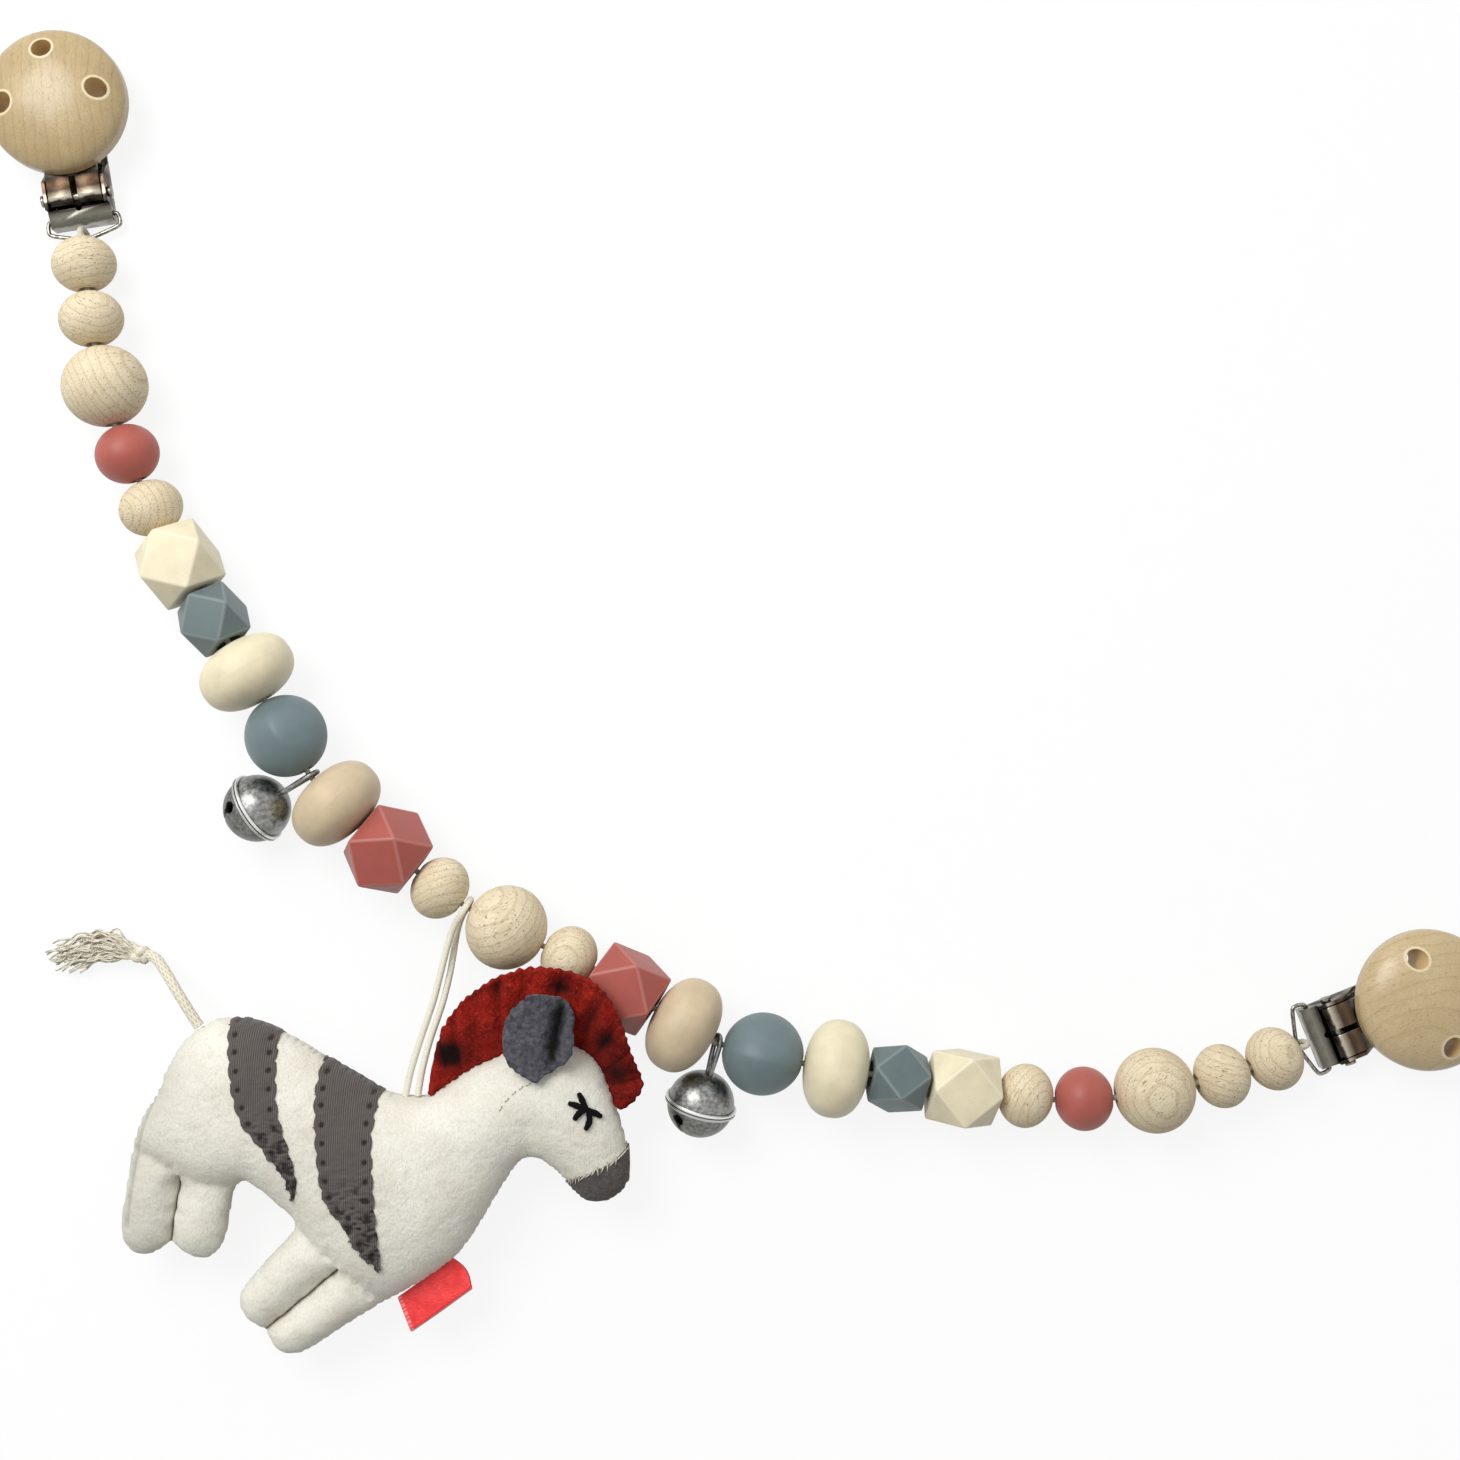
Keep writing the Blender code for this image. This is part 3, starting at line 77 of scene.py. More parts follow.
# %% Camera
PIXELS_PER_MM = 4.2
PHOTO_MIDDLE = 730
PHOTO_SIDE = 1460
BEAD_PIXEL = (507, 927)
CAMERA_RISE = 0.500
BEAD_HEIGHT = 0.009
SENSOR = 36.0


def box_middle(name):
    low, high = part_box(name)
    return (low + high) / 2


chain_middle = box_middle("middle_bead_large_wood")
under_lens = Vector((
    chain_middle.x + (PHOTO_MIDDLE - BEAD_PIXEL[0]) / PIXELS_PER_MM * MM,
    chain_middle.y + (BEAD_PIXEL[1] - PHOTO_MIDDLE) / PIXELS_PER_MM * MM,
    0,
))


def from_photo(column, row, height=BEAD_HEIGHT):
    """The place at this height that a pixel of the photograph shows."""
    nearer = (CAMERA_RISE + BEAD_HEIGHT - height) / CAMERA_RISE
    step = nearer / PIXELS_PER_MM * MM
    aside = Vector(((column - PHOTO_MIDDLE) * step, (PHOTO_MIDDLE - row) * step, height))
    return under_lens + aside


bpy.ops.object.select_all(action="DESELECT")
eye = under_lens + Vector((0, 0, CAMERA_RISE + BEAD_HEIGHT))
bpy.ops.object.camera_add(location=eye, rotation=(0, 0, 0))
camera = bpy.context.object
camera.data.sensor_width = SENSOR
camera.data.lens = SENSOR * CAMERA_RISE / (PHOTO_SIDE / PIXELS_PER_MM * MM)
bpy.context.scene.camera = camera
bpy.context.scene.view_settings.view_transform = "Standard"
print("camera above", under_lens.to_tuple(4), "lens", round(camera.data.lens, 2))

# %% [markdown]
# ## Small tools
#
# Blender's operators act on whatever is selected, so a piece is always selected alone before it
# is worked on. Faces and edges are picked in code, by their place. A finished piece keeps its
# object at the origin and has its place in its mesh, as the CAD nodes do.

# %% Selecting, editing and placing
MERGE = 1e-6


def only(piece):
    """Selects this object alone."""
    bpy.ops.object.select_all(action="DESELECT")
    piece.select_set(True)
    bpy.context.view_layer.objects.active = piece


def edit(piece):
    only(piece)
    bpy.ops.object.mode_set(mode="EDIT")
    bpy.ops.mesh.select_all(action="SELECT")


def done():
    bpy.ops.object.mode_set(mode="OBJECT")


def pick(piece, wanted, kind="VERT"):
    """Selects only the wanted vertices or faces of the piece in edit mode."""
    bpy.context.tool_settings.mesh_select_mode = (kind == "VERT", False, kind == "FACE")
    bpy.ops.mesh.select_all(action="DESELECT")
    shape = bmesh.from_edit_mesh(piece.data)
    for part in [part for part in (shape.verts if kind == "VERT" else shape.faces) if wanted(part)]:
        part.select = True
    shape.select_flush_mode()
    bmesh.update_edit_mesh(piece.data)


def modify(piece, kind, **settings):
    """Adds a modifier with these settings and applies it."""
    made = piece.modifiers.new(kind.title(), kind)
    for key, value in settings.items():
        setattr(made, key, value)
    only(piece)
    bpy.ops.object.modifier_apply(modifier=made.name)
    return piece


def face_outwards(piece):
    edit(piece)
    bpy.ops.mesh.normals_make_consistent(inside=False)
    done()


def soft_shading(piece, degrees=40):
    only(piece)
    bpy.ops.object.shade_smooth_by_angle(angle=radians(degrees))
    return piece


def linked(name, mesh):
    """A mesh as an object of the scene."""
    piece = bpy.data.objects.new(name, mesh)
    bpy.context.scene.collection.objects.link(piece)
    return piece


def mesh_piece(name, points, faces):
    """A piece from points and faces that were worked out in code."""
    mesh = bpy.data.meshes.new(name)
    mesh.from_pydata([tuple(point) for point in points], [], faces)
    mesh.update()
    return linked(name, mesh)


def copy_of(piece, name):
    """A copy of a piece, with its own mesh."""
    mesh = piece.data.copy()
    mesh.name = name
    return linked(name, mesh)


def dress(piece, material, body, replaced=()):
    """Gives a piece its finish and its body, and hides the CAD nodes it stands for."""
    piece.data.materials.clear()
    piece.data.materials.append(material)
    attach(piece, body)
    if replaced:
        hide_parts(*replaced)
    return piece


# %% [markdown]
# ## Building a finish from nodes
#
# Every finish starts from the Principled shader. A few short functions add a node, mix two
# colours by a pattern, and turn a pattern into relief. Patterns are measured in millimetres of
# the piece itself: from an attribute that was stored while the piece lay at the origin, or from
# Object coordinates, so that nothing slides when the piece moves.

# %% Node helpers
SHADER = "Principled BSDF"
WAVE_SCALE = 0.314


def paint(red, green, blue):
    """A colour as an eye would name it, from 0 to 255, in the shader's linear numbers."""
    linear = []
    for value in (red, green, blue):
        share = value / 255
        linear.append(share / 12.92 if share <= 0.04045 else ((share + 0.055) / 1.055) ** 2.4)
    return (*linear, 1.0)


def tone(colour, share):
    """A darker or lighter tone of a colour."""
    return paint(*[min(255, value * share) for value in colour])


def finish(name, roughness, metallic=0.0, **settings):
    """A new material with these numbers on its shader, and its node tree."""
    material = bpy.data.materials.new(name)
    material.use_nodes = True
    settings.update(Roughness=roughness, Metallic=metallic)
    for key, value in settings.items():
        material.node_tree.nodes[SHADER].inputs[key.replace("_", " ")].default_value = value
    return material, material.node_tree


def add(tree, kind, wires=None, **settings):
    """A node with its settings, and its inputs wired to other nodes' outputs."""
    made = tree.nodes.new("ShaderNode" + kind)
    for key, value in settings.items():
        if hasattr(made, key):
            setattr(made, key, value)
        else:
            made.inputs[key.replace("_", " ")].default_value = value
    for key, source in (wires or {}).items():
        tree.links.new(source, made.inputs[key])
    return made


def stored(tree, name, output="Fac"):
    """What the mesh keeps for each of its points under this name."""
    return add(tree, "Attribute", attribute_name=name).outputs[output]


def millimetres(tree, attribute=None, stretch=(1, 1, 1)):
    """The place on the piece in millimetres, from an attribute or from Object coordinates."""
    if attribute:
        source = stored(tree, attribute, "Vector")
        scale = stretch
    else:
        source = add(tree, "TexCoord").outputs["Object"]
        scale = [share / MM for share in stretch]
    return add(tree, "Mapping", {"Vector": source}, Scale=scale).outputs["Vector"]


def speckle(tree, place, size, detail=2.0, roughness=0.5, distortion=0.0):
    """Noise with features of this size in millimetres."""
    shape = {"Detail": detail, "Roughness": roughness, "Distortion": distortion}
    return add(tree, "TexNoise", {"Vector": place}, Scale=1 / size, **shape).outputs[0]


def wave_bands(tree, place, gap, kind, profile, **settings):
    """Rings or bands that lie this many millimetres apart."""
    settings.update(wave_type=kind, wave_profile=profile, Scale=WAVE_SCALE / gap)
    return add(tree, "TexWave", {"Vector": place}, **settings).outputs[1]


def ramp(tree, source, *stops):
    """Maps a pattern to colours or greys: (place, colour) stops."""
    made = add(tree, "ValToRGB", {0: source})
    keys = made.color_ramp.elements
    while len(keys) < len(stops):
        keys.new(0.5)
    for key, (place, colour) in zip(keys, stops):
        key.position = place
        key.color = colour if isinstance(colour, tuple) else (colour, colour, colour, 1)
    return made.outputs[0]


def feed(tree, made, sources):
    """Gives a node's inputs their sources, each another node's output or a plain value."""
    for index, source in sources.items():
        if isinstance(source, (tuple, float, int)):
            made.inputs[index].default_value = source
        else:
            tree.links.new(source, made.inputs[index])


def mix(tree, share, first, second):
    """Mixes two colours."""
    made = add(tree, "Mix", data_type="RGBA")
    feed(tree, made, {0: share, 6: first, 7: second})
    return made.outputs[2]


def lay(tree, base, pattern, start, end, colour):
    """Lays a colour over a base by a pattern. Start and end are (place, share of the colour)."""
    return mix(tree, ramp(tree, pattern, start, end), base, paint(*colour))


def combine(tree, operation, first, second):
    """Arithmetic on two patterns."""
    made = add(tree, "Math", operation=operation)
    feed(tree, made, {0: first, 1: second})
    return made.outputs[0]


def times(tree, first, second):
    return combine(tree, "MULTIPLY", first, second)


def relief(tree, *layers):
    """Bumps on top of each other: (pattern, depth in millimetres, strength)."""
    wires = {}
    for pattern, depth, strength in layers:
        wires["Height"] = pattern
        made = add(tree, "Bump", wires, Distance=depth * MM, Strength=strength)
        wires["Normal"] = made.outputs[0]
    tree.links.new(wires["Normal"], tree.nodes[SHADER].inputs["Normal"])


def colour_by(tree, source):
    tree.links.new(source, tree.nodes[SHADER].inputs["Base Color"])


def roughness_by(tree, source, smooth, rough):
    greys = ramp(tree, source, (0.3, smooth), (0.7, rough))
    tree.links.new(greys, tree.nodes[SHADER].inputs["Roughness"])


# %% [markdown]
# ## Table and light
#
# The table is plain and almost white. For the camera, and in reflections, most of its brightness
# is its own, so the background stays white while the toy still leaves a soft shadow. A large soft
# lamp above the upper left gives the plain studio light. The sky is brighter behind the toy than
# in front of it, and the table sends back less light than it shows, so the lower sides of the
# beads fall away into shade as they do in the photograph.

# %% Floor and lamps
FLOOR_SIDE = 3.0
FLOOR_DROP = 0.0001
FLOOR_OWN_SHARE = 0.87
FLOOR_BOUNCE = 0.56
SKY_BACK, SKY_FRONT = 0.87, 0.22
KEY_PLACE = Vector((-0.34, 0.34, 0.62))
KEY_SIDE = 0.42
KEY_WATTS = 4.1

bpy.ops.mesh.primitive_plane_add(size=FLOOR_SIDE, location=(0, 0, -FLOOR_DROP))
table_top = bpy.context.object
table_top.name = "table_top"
bpy.ops.object.transform_apply(location=True, rotation=True, scale=True)


def seen_directly(tree):
    """One for the camera, in reflections and through clear things, and zero for other light."""
    seen = add(tree, "LightPath").outputs
    direct = combine(tree, "MAXIMUM", seen["Is Camera Ray"], seen["Is Glossy Ray"])
    return combine(tree, "MAXIMUM", direct, seen["Is Transmission Ray"])


white_table, tree = finish("white_table", 0.9)
table_grain = ramp(tree, speckle(tree, millimetres(tree), 6.0), (0.3, 0.97), (0.7, 1.0))
bright = seen_directly(tree)
grey = (FLOOR_BOUNCE, FLOOR_BOUNCE, FLOOR_BOUNCE, 1.0)
colour_by(tree, mix(tree, bright, grey, table_grain))
share = times(tree, bright, FLOOR_OWN_SHARE)
glow = add(tree, "Emission", Color=(1, 1, 1, 1), Strength=1.0).outputs[0]
blended = add(tree, "MixShader", {0: share, 1: tree.nodes[SHADER].outputs[0], 2: glow})
tree.links.new(blended.outputs[0], tree.nodes["Material Output"].inputs["Surface"])
table_top.data.materials.append(white_table)

world = bpy.data.worlds.new("studio")
bpy.context.scene.world = world
world.use_nodes = True
tree = world.node_tree
bright = seen_directly(tree)
heading = add(tree, "TexCoord").outputs["Generated"]
parts = add(tree, "SeparateXYZ", {"Vector": heading})
across = combine(tree, "ADD", times(tree, parts.outputs["Y"], 0.5), 0.5)
sky = ramp(tree, across, (0.15, SKY_FRONT), (0.85, 1.0))
sky = times(tree, sky, SKY_BACK)
level = combine(tree, "MAXIMUM", bright, sky)
backdrop = tree.nodes["Background"]
backdrop.inputs["Color"].default_value = (1, 1, 1, 1)
tree.links.new(level, backdrop.inputs["Strength"])

bpy.ops.object.light_add(type="AREA", location=under_lens + KEY_PLACE)
key_lamp = bpy.context.object
key_lamp.rotation_euler = (-KEY_PLACE).to_track_quat("-Z", "Y").to_euler()
key_lamp.data.size = KEY_SIDE
key_lamp.data.energy = KEY_WATTS
print("light:", KEY_WATTS, "W, sky from", SKY_FRONT, "to", SKY_BACK)

# %% [markdown]
# ## Cords
#
# Two cords are free. The hanging loop is a doubled satin cord, sewn into the zebra's back, that
# goes over the thread and comes back. The tail is a short braided cord with a knot, frayed beyond
# it. Each follows one smooth route of points. A cord could be a plain curve with a round bevel,
# but then its plies would be painted on, so each is a tube whose section has the plies in it and
# turns as it goes along.

# %% Routes of the cords
LOOP_DIAMETER = 0.0016
THREAD_DIAMETER = 0.0014
TAIL_DIAMETER = 0.0026
LOOP_CLEARANCE = 0.0003 * 1.7
LOOP_WRAP_HEADING = -120
LOOP_TURN_SHARE = 2.0
LOOP_WRAP_ANGLES = (60, 100, 140, 180, 220, 260, 300)
ZEBRA_LENGTH = 0.1214
SEAM_HEIGHT = 0.0138
MANE_CROSSING = (0.01715, -0.01693)
CROSSING_SHARE = (0.900, 0.700)
SEAT_SHARE = (0.580, 0.510)
LOOP_UPPER_SHARES = (
    (0.997, -0.039, 1.014), (0.858, -0.045, 1.029), (0.692, -0.041, 0.971),
    (0.500, -0.031, 0.913), (0.314, -0.035, 0.870), (0.145, -0.036, 0.841),
)
LOOP_LOWER_SHARES = (
    (0.976, 0.022, 1.014), (0.844, 0.009, 1.029), (0.686, 0.006, 0.957),
    (0.503, 0.015, 0.855), (0.325, 0.006, 0.725), (0.146, -0.017, 0.572),
)
TAIL_SHARES = (
    (0.165, 0.650, 0.000), (0.141, 0.686, -0.002), (0.117, 0.719, -0.013),
    (0.092, 0.749, -0.035), (0.062, 0.776, -0.066), (0.037, 0.782, -0.080),
    (0.019, 0.790, -0.086), (-0.004, 0.798, -0.092), (-0.047, 0.798, -0.096),
    (-0.096, 0.795, -0.097),
)


def zebra_place(x_share, y_share, z_share=0.0):
    """A point of the zebra, from shares of its length, as the CAD source places it."""
    return Vector((
        chain_middle.x + MANE_CROSSING[0] + (x_share - CROSSING_SHARE[0]) * ZEBRA_LENGTH,
        chain_middle.y + MANE_CROSSING[1] + (y_share - CROSSING_SHARE[1]) * ZEBRA_LENGTH,
        SEAM_HEIGHT + z_share * ZEBRA_LENGTH,
    ))


def smooth_route(points, steps=2):
    """A smooth curve through the points, with more points on it."""
    route = []
    last = len(points) - 1
    for index in range(last):
        before, start = points[max(index - 1, 0)], points[index]
        end, after = points[index + 1], points[min(index + 2, last)]
        for step in range(steps):
            t = step / steps
            route.append(
                start
                + (end - before) * t / 2
                + (2 * before - 5 * start + 4 * end - after) * t * t / 2
                + (3 * start - before - 3 * end + after) * t**3 / 2
            )
    route.append(points[last])
    return route


gap_place = joint_place("left_bead_01_swing")


def loop_strand(shares):
    """One strand's points, from the zebra's back up to the thread."""
    way = zebra_place(*SEAT_SHARE) - gap_place
    way.z = 0
    aside = Vector((-way.y, way.x, 0))
    strand = []
    for along_share, aside_share, height_share in shares:
        point = gap_place + way * along_share + aside * aside_share
        strand.append(Vector((point.x, point.y, SEAM_HEIGHT * height_share)))
    return strand


turn = LOOP_DIAMETER * LOOP_TURN_SHARE
beyond = (THREAD_DIAMETER + LOOP_DIAMETER) / 2 + LOOP_CLEARANCE
away = Vector((cos(radians(LOOP_WRAP_HEADING)), sin(radians(LOOP_WRAP_HEADING)), 0))
centre = gap_place + away * (turn - beyond)
wrap = [
    centre + away * turn * cos(radians(angle)) + Vector((0, 0, turn * sin(radians(angle))))
    for angle in LOOP_WRAP_ANGLES
]
loop_route = loop_strand(LOOP_UPPER_SHARES) + wrap + loop_strand(LOOP_LOWER_SHARES)[::-1]
loop_route = smooth_route(loop_route)
tail_points = [zebra_place(*share) for share in TAIL_SHARES]
tail_route = smooth_route(tail_points)


def route_length(route):
    return sum((after - before).length for before, after in zip(route, route[1:]))


print("loop", round(route_length(loop_route), 4), "m, tail", round(route_length(tail_route), 4), "m")

# %% Shape of a cord
CORD_STEP = 0.0002


def even_route(route, spacing):
    """The same route with points at an even spacing."""
    total = route_length(route)
    count = max(2, round(total / spacing))
    made, index, passed = [], 0, 0.0
    for step in range(count + 1):
        goal = total * step / count
        while index < len(route) - 2 and passed + (route[index + 1] - route[index]).length < goal:
            passed += (route[index + 1] - route[index]).length
            index += 1
        part = (route[index + 1] - route[index]).length
        made.append(route[index].lerp(route[index + 1], min(1, (goal - passed) / part)))
    return made


def store_places(piece, name, places):
    """Keeps a place for each point, for the finish to read."""
    store = piece.data.attributes.new(name, "FLOAT_VECTOR", "POINT")
    store.data.foreach_set("vector", [value for place in places for value in place])


def store_share(piece, name, shares):
    """Keeps a number from 0 to 1 for each point, for the finish to read."""
    if name in piece.data.attributes:
        piece.data.attributes.remove(piece.data.attributes[name])
    store = piece.data.attributes.new(name, "FLOAT", "POINT")
    store.data.foreach_set("value", shares)


def cord_shape(name, route, diameter, section, spacing=CORD_STEP, sides=24):
    """A closed tube along a route. Its section says how far out it goes at an angle and length."""
    line = even_route(smooth_route(route, 4), spacing)
    side, up = Vector((1, 0, 0)), Vector((0, 0, 1))
    points, faces, along, groove_shades = [], [], [], []
    reached = 0.0
    for index, spot in enumerate(line):
        ahead = line[min(index + 1, len(line) - 1)] - line[max(index - 1, 0)]
        ahead.normalize()
        if abs(ahead.dot(up)) < 0.99:
            side = ahead.cross(up).normalized()
        up = side.cross(ahead).normalized()
        if index:
            reached += (spot - line[index - 1]).length
        for step in range(sides):
            angle = tau * step / sides
            share = section(angle, reached)
            around = side * cos(angle) + up * sin(angle)
            points.append(spot + around * diameter / 2 * share)
            # How deep each point lies between the plies, kept as a mask for painted shade in the grooves.
            groove_shades.append(1 - share)
            along.append((reached / MM, angle * diameter / 2 / MM, 0))
    for ring in range(len(line) - 1):
        for step in range(sides):
            after = (step + 1) % sides
            a, b = ring * sides, (ring + 1) * sides
            faces.append((a + step, a + after, b + after, b + step))
    faces.append(tuple(range(sides - 1, -1, -1)))
    faces.append(tuple(range(len(points) - sides, len(points))))
    piece = mesh_piece(name, points, faces)
    store_places(piece, "grain_place", along)
    store_share(piece, "groove", groove_shades)
    return soft_shading(piece, 50)


def twisted(plies, pitch, depth):
    """A section of round plies that turn once in the pitch."""
    def section(angle, reached):
        phase = plies / 2 * (angle + tau * reached / pitch)
        return 1 - depth * (1 - abs(cos(phase)))
    return section


def braided(strands, pitch, depth):
    """A section of flat strands that cross each other both ways."""
    def section(angle, reached):
        one = abs(sin(strands / 2 * angle + tau * reached / pitch))
        other = abs(sin(strands / 2 * angle - tau * reached / pitch))
        return 1 - depth * (1 - max(one, other) ** 2)
    return section


# %% Cotton cord finish
def cotton_cord_finish(name, pale, dark):
    material, tree = finish(name, 0.85, Sheen_Weight=0.25, Sheen_Roughness=0.5)
    place = millimetres(tree, "grain_place", (1, 3, 1))
    fibres = speckle(tree, place, 0.35, 3)
    base = ramp(tree, fibres, (0.3, paint(*dark)), (0.62, paint(*pale)))
    # Painted shade: the grooves between the plies, and the thin ends of stitches, are darkened.
    groove = stored(tree, "groove")
    deep = tone(dark, 0.50)
    base = mix(tree, ramp(tree, groove, (0.05, 0.0), (0.18, 0.62)), base, deep)
    colour_by(tree, base)
    relief(tree, (fibres, 0.08, 0.5))
    return material


loop_cotton = cotton_cord_finish("satin_cord", (244, 241, 226), (206, 198, 172))
tail_cotton = cotton_cord_finish("braided_cord", (243, 238, 221), (196, 184, 156))
thread_cotton = cotton_cord_finish("chain_thread", (232, 226, 206), (170, 158, 130))

hanging_loop = cord_shape("loop_cord", loop_route, LOOP_DIAMETER, braided(8, 0.0030, 0.09))
dress(hanging_loop, loop_cotton, "zebra", ["hanging_loop"])
print("loop cord faces:", len(hanging_loop.data.polygons))

tail_cord = cord_shape("tail_cord", tail_route, TAIL_DIAMETER, braided(8, 0.0056, 0.16), sides=32)
dress(tail_cord, tail_cotton, "zebra", ["zebra_tail_cord"])
print("tail cord faces:", len(tail_cord.data.polygons))

# %% [markdown]
# ## Turned pieces
#
# Wooden beads, bell shells and the clips' discs were all turned or pressed about one axis. In
# Blender such a piece could be a sphere primitive, squashed, but its bore and its rims would be
# missing. Instead a ring of points is laid out as the section of the piece, bore and rims
# included, and spun once round the axis.

# %% Spinning a section
def spun(name, outline, steps=64):
    """Spins a closed outline of (radius, height) points round the Z axis."""
    bpy.ops.mesh.primitive_circle_add(vertices=len(outline), radius=outline[0][0] or MM)
    piece = bpy.context.object
    piece.name = piece.data.name = name
    for vertex, (radius, height) in zip(piece.data.vertices, outline):
        vertex.co = (radius, 0, height)
    edit(piece)
    bpy.ops.mesh.spin(steps=steps, angle=tau, center=(0, 0, 0), axis=(0, 0, 1))
    bpy.ops.mesh.select_all(action="SELECT")
    bpy.ops.mesh.remove_doubles(threshold=MERGE)
    bpy.ops.mesh.delete_loose()
    bpy.ops.mesh.select_all(action="SELECT")
    bpy.ops.mesh.normals_make_consistent(inside=False)
    done()
    return soft_shading(piece)


def store_grain(piece, seed, turned=True):
    """Keeps each point's place at the origin, in millimetres, as a pattern to paint by. Each
    piece has its own turn and shift, so that no two show the same grain."""
    draw = Random(seed)
    turn_by = Euler([draw.uniform(0, tau) if turned else 0 for _ in range(3)]).to_matrix()
    shift = Vector([draw.uniform(-40, 40) for _ in range(3)])
    places = [turn_by @ (vertex.co / MM) + shift for vertex in piece.data.vertices]
    store_places(piece, "grain_place", places)


# %% [markdown]
# ## Beads
#
# The beads come in nine kinds: raw turned wood in two sizes, round and creased silicone, a
# flattened wheel shape in two colours, and faceted ones with six squares and eight triangles.
# Each kind is modelled once, with its bore, and copied along the thread. The section of a round
# one is a superellipse, a little fuller than a circle for the wheels, with a small chamfer at the
# bore. The wheels also have the fine line that the two halves of the mould leave.

# %% Bead sections
BORE = 0.0034
BORE_CHAMFER = 0.0004
MOULD_LINE = 0.00003
MOULD_LINE_WIDTH = 0.00022


def bead_outline(diameter, length, fullness=2.0, steps=34, mould_line=False):
    """The closed section of a bead: over the outside and back along the bore."""
    mouth = BORE / 2 + BORE_CHAMFER
    rim = asin((2 * mouth / diameter) ** (fullness / 2))
    outline = []
    for step in range(steps + 1):
        angle = rim + (pi - 2 * rim) * step / steps
        radius = diameter / 2 * sin(angle) ** (2 / fullness)
        height = length / 2 * abs(cos(angle)) ** (2 / fullness)
        outline.append((radius, height if angle < pi / 2 else -height))
    if mould_line:
        outline = [point for point in outline if abs(point[1]) > MOULD_LINE_WIDTH]
        line = [
            (diameter / 2 - MOULD_LINE / 4, MOULD_LINE_WIDTH),
            (diameter / 2 + MOULD_LINE, 0),
            (diameter / 2 - MOULD_LINE / 4, -MOULD_LINE_WIDTH),
        ]
        after = next(index for index, point in enumerate(outline) if point[1] < 0)
        outline[after:after] = line
    end = outline[0][1] - BORE_CHAMFER
    return outline + [(BORE / 2, -end), (BORE / 2, end)]


def add_crease(piece, depth, widest):
    """Draws the surface in between four ridges, as on the soft creased bead."""
    for vertex in piece.data.vertices:
        place = vertex.co
        radius = place.xy.length
        drawn_in = depth * abs(sin(2 * atan2(place.y, place.x))) * (2 * radius / widest) ** 2
        place.xy *= 1 - drawn_in / radius
    piece.data.update()
    return piece


# %% [markdown]
# The faceted bead starts as a cube. Cutting every corner off, halfway along the edges, leaves six
# squares and eight triangles. The edges are then rounded, and a bevelled bore is cut through two
# of the squares. The rounding is marked, because the moulded edges catch the light and look paler.

# %% Faceted bead
HEX_EDGE = 0.00055


def bore_cutter(reach):
    bpy.ops.mesh.primitive_cylinder_add(vertices=32, radius=BORE / 2, depth=2 * reach)
    cutter = bpy.context.object
    edit(cutter)
    pick(cutter, lambda vertex: abs(vertex.co.z) > reach * 0.99)
    bpy.ops.transform.resize(value=(1.9, 1.9, 1))
    done()
    return cutter


def subtract(piece, cutter):
    modify(piece, "BOOLEAN", object=cutter, operation="DIFFERENCE", solver="EXACT")
    bpy.data.objects.remove(cutter, do_unlink=True)
    return piece


def faceted(name, size):
    bpy.ops.mesh.primitive_cube_add(size=size)
    piece = bpy.context.object
    piece.name = piece.data.name = name
    edit(piece)
    bpy.ops.mesh.bevel(affect="VERTICES", offset_type="PERCENT", offset_pct=50, segments=1)
    bpy.ops.mesh.select_all(action="SELECT")
    bpy.ops.mesh.remove_doubles(threshold=size / 100)
    bpy.ops.mesh.select_all(action="SELECT")
    bpy.ops.mesh.bevel(affect="EDGES", offset=HEX_EDGE, segments=4, profile=0.6)
    done()
    flats = [face.normal.copy() for face in piece.data.polygons if face.area > size * size / 12]
    # The rounded edges are marked for a painted highlight.
    marks = piece.data.attributes.new("edge_mark", "FLOAT", "POINT")
    piece.data.update()
    for vertex in piece.data.vertices:
        flat = max(vertex.normal.dot(normal) for normal in flats)
        marks.data[vertex.index].value = 1.0 if flat < 0.985 else 0.0
    subtract(piece, bore_cutter(size / 2 + 0.0002))
    return soft_shading(piece, 25)


# %% Bead masters
SMALL_WOOD_LENGTH = 0.0132
ROUND_SIZES = {
    "small_wood": (0.0152, SMALL_WOOD_LENGTH),
    "large_wood": (0.0202, 0.0192),
    "rose_round": (0.0152, 0.0140),
}
BLUE_DIAMETER, BLUE_LENGTH, BLUE_CREASE = 0.0198, 0.0194, 0.0009
WHEEL_DIAMETER, WHEEL_LENGTH, WHEEL_FULLNESS = 0.0232, 0.0154, 2.3
LARGE_HEX, SMALL_HEX = 0.0164, 0.0134

MASTERS = {kind: spun(kind, bead_outline(*size)) for kind, size in ROUND_SIZES.items()}
blue_round = spun("blue round", bead_outline(BLUE_DIAMETER, BLUE_LENGTH), 96)
MASTERS["blue_round"] = add_crease(blue_round, BLUE_CREASE, BLUE_DIAMETER)
wheel_outline = bead_outline(WHEEL_DIAMETER, WHEEL_LENGTH, WHEEL_FULLNESS, 40, mould_line=True)
MASTERS["beige_abacus"] = MASTERS["cream_abacus"] = spun("wheel", wheel_outline, 72)
MASTERS["rose_hex"] = MASTERS["cream_hex"] = faceted("large hex", LARGE_HEX)
MASTERS["blue_hex"] = faceted("small hex", SMALL_HEX)
for kind, master in MASTERS.items():
    print(kind, [round(side / MM, 1) for side in master.dimensions])
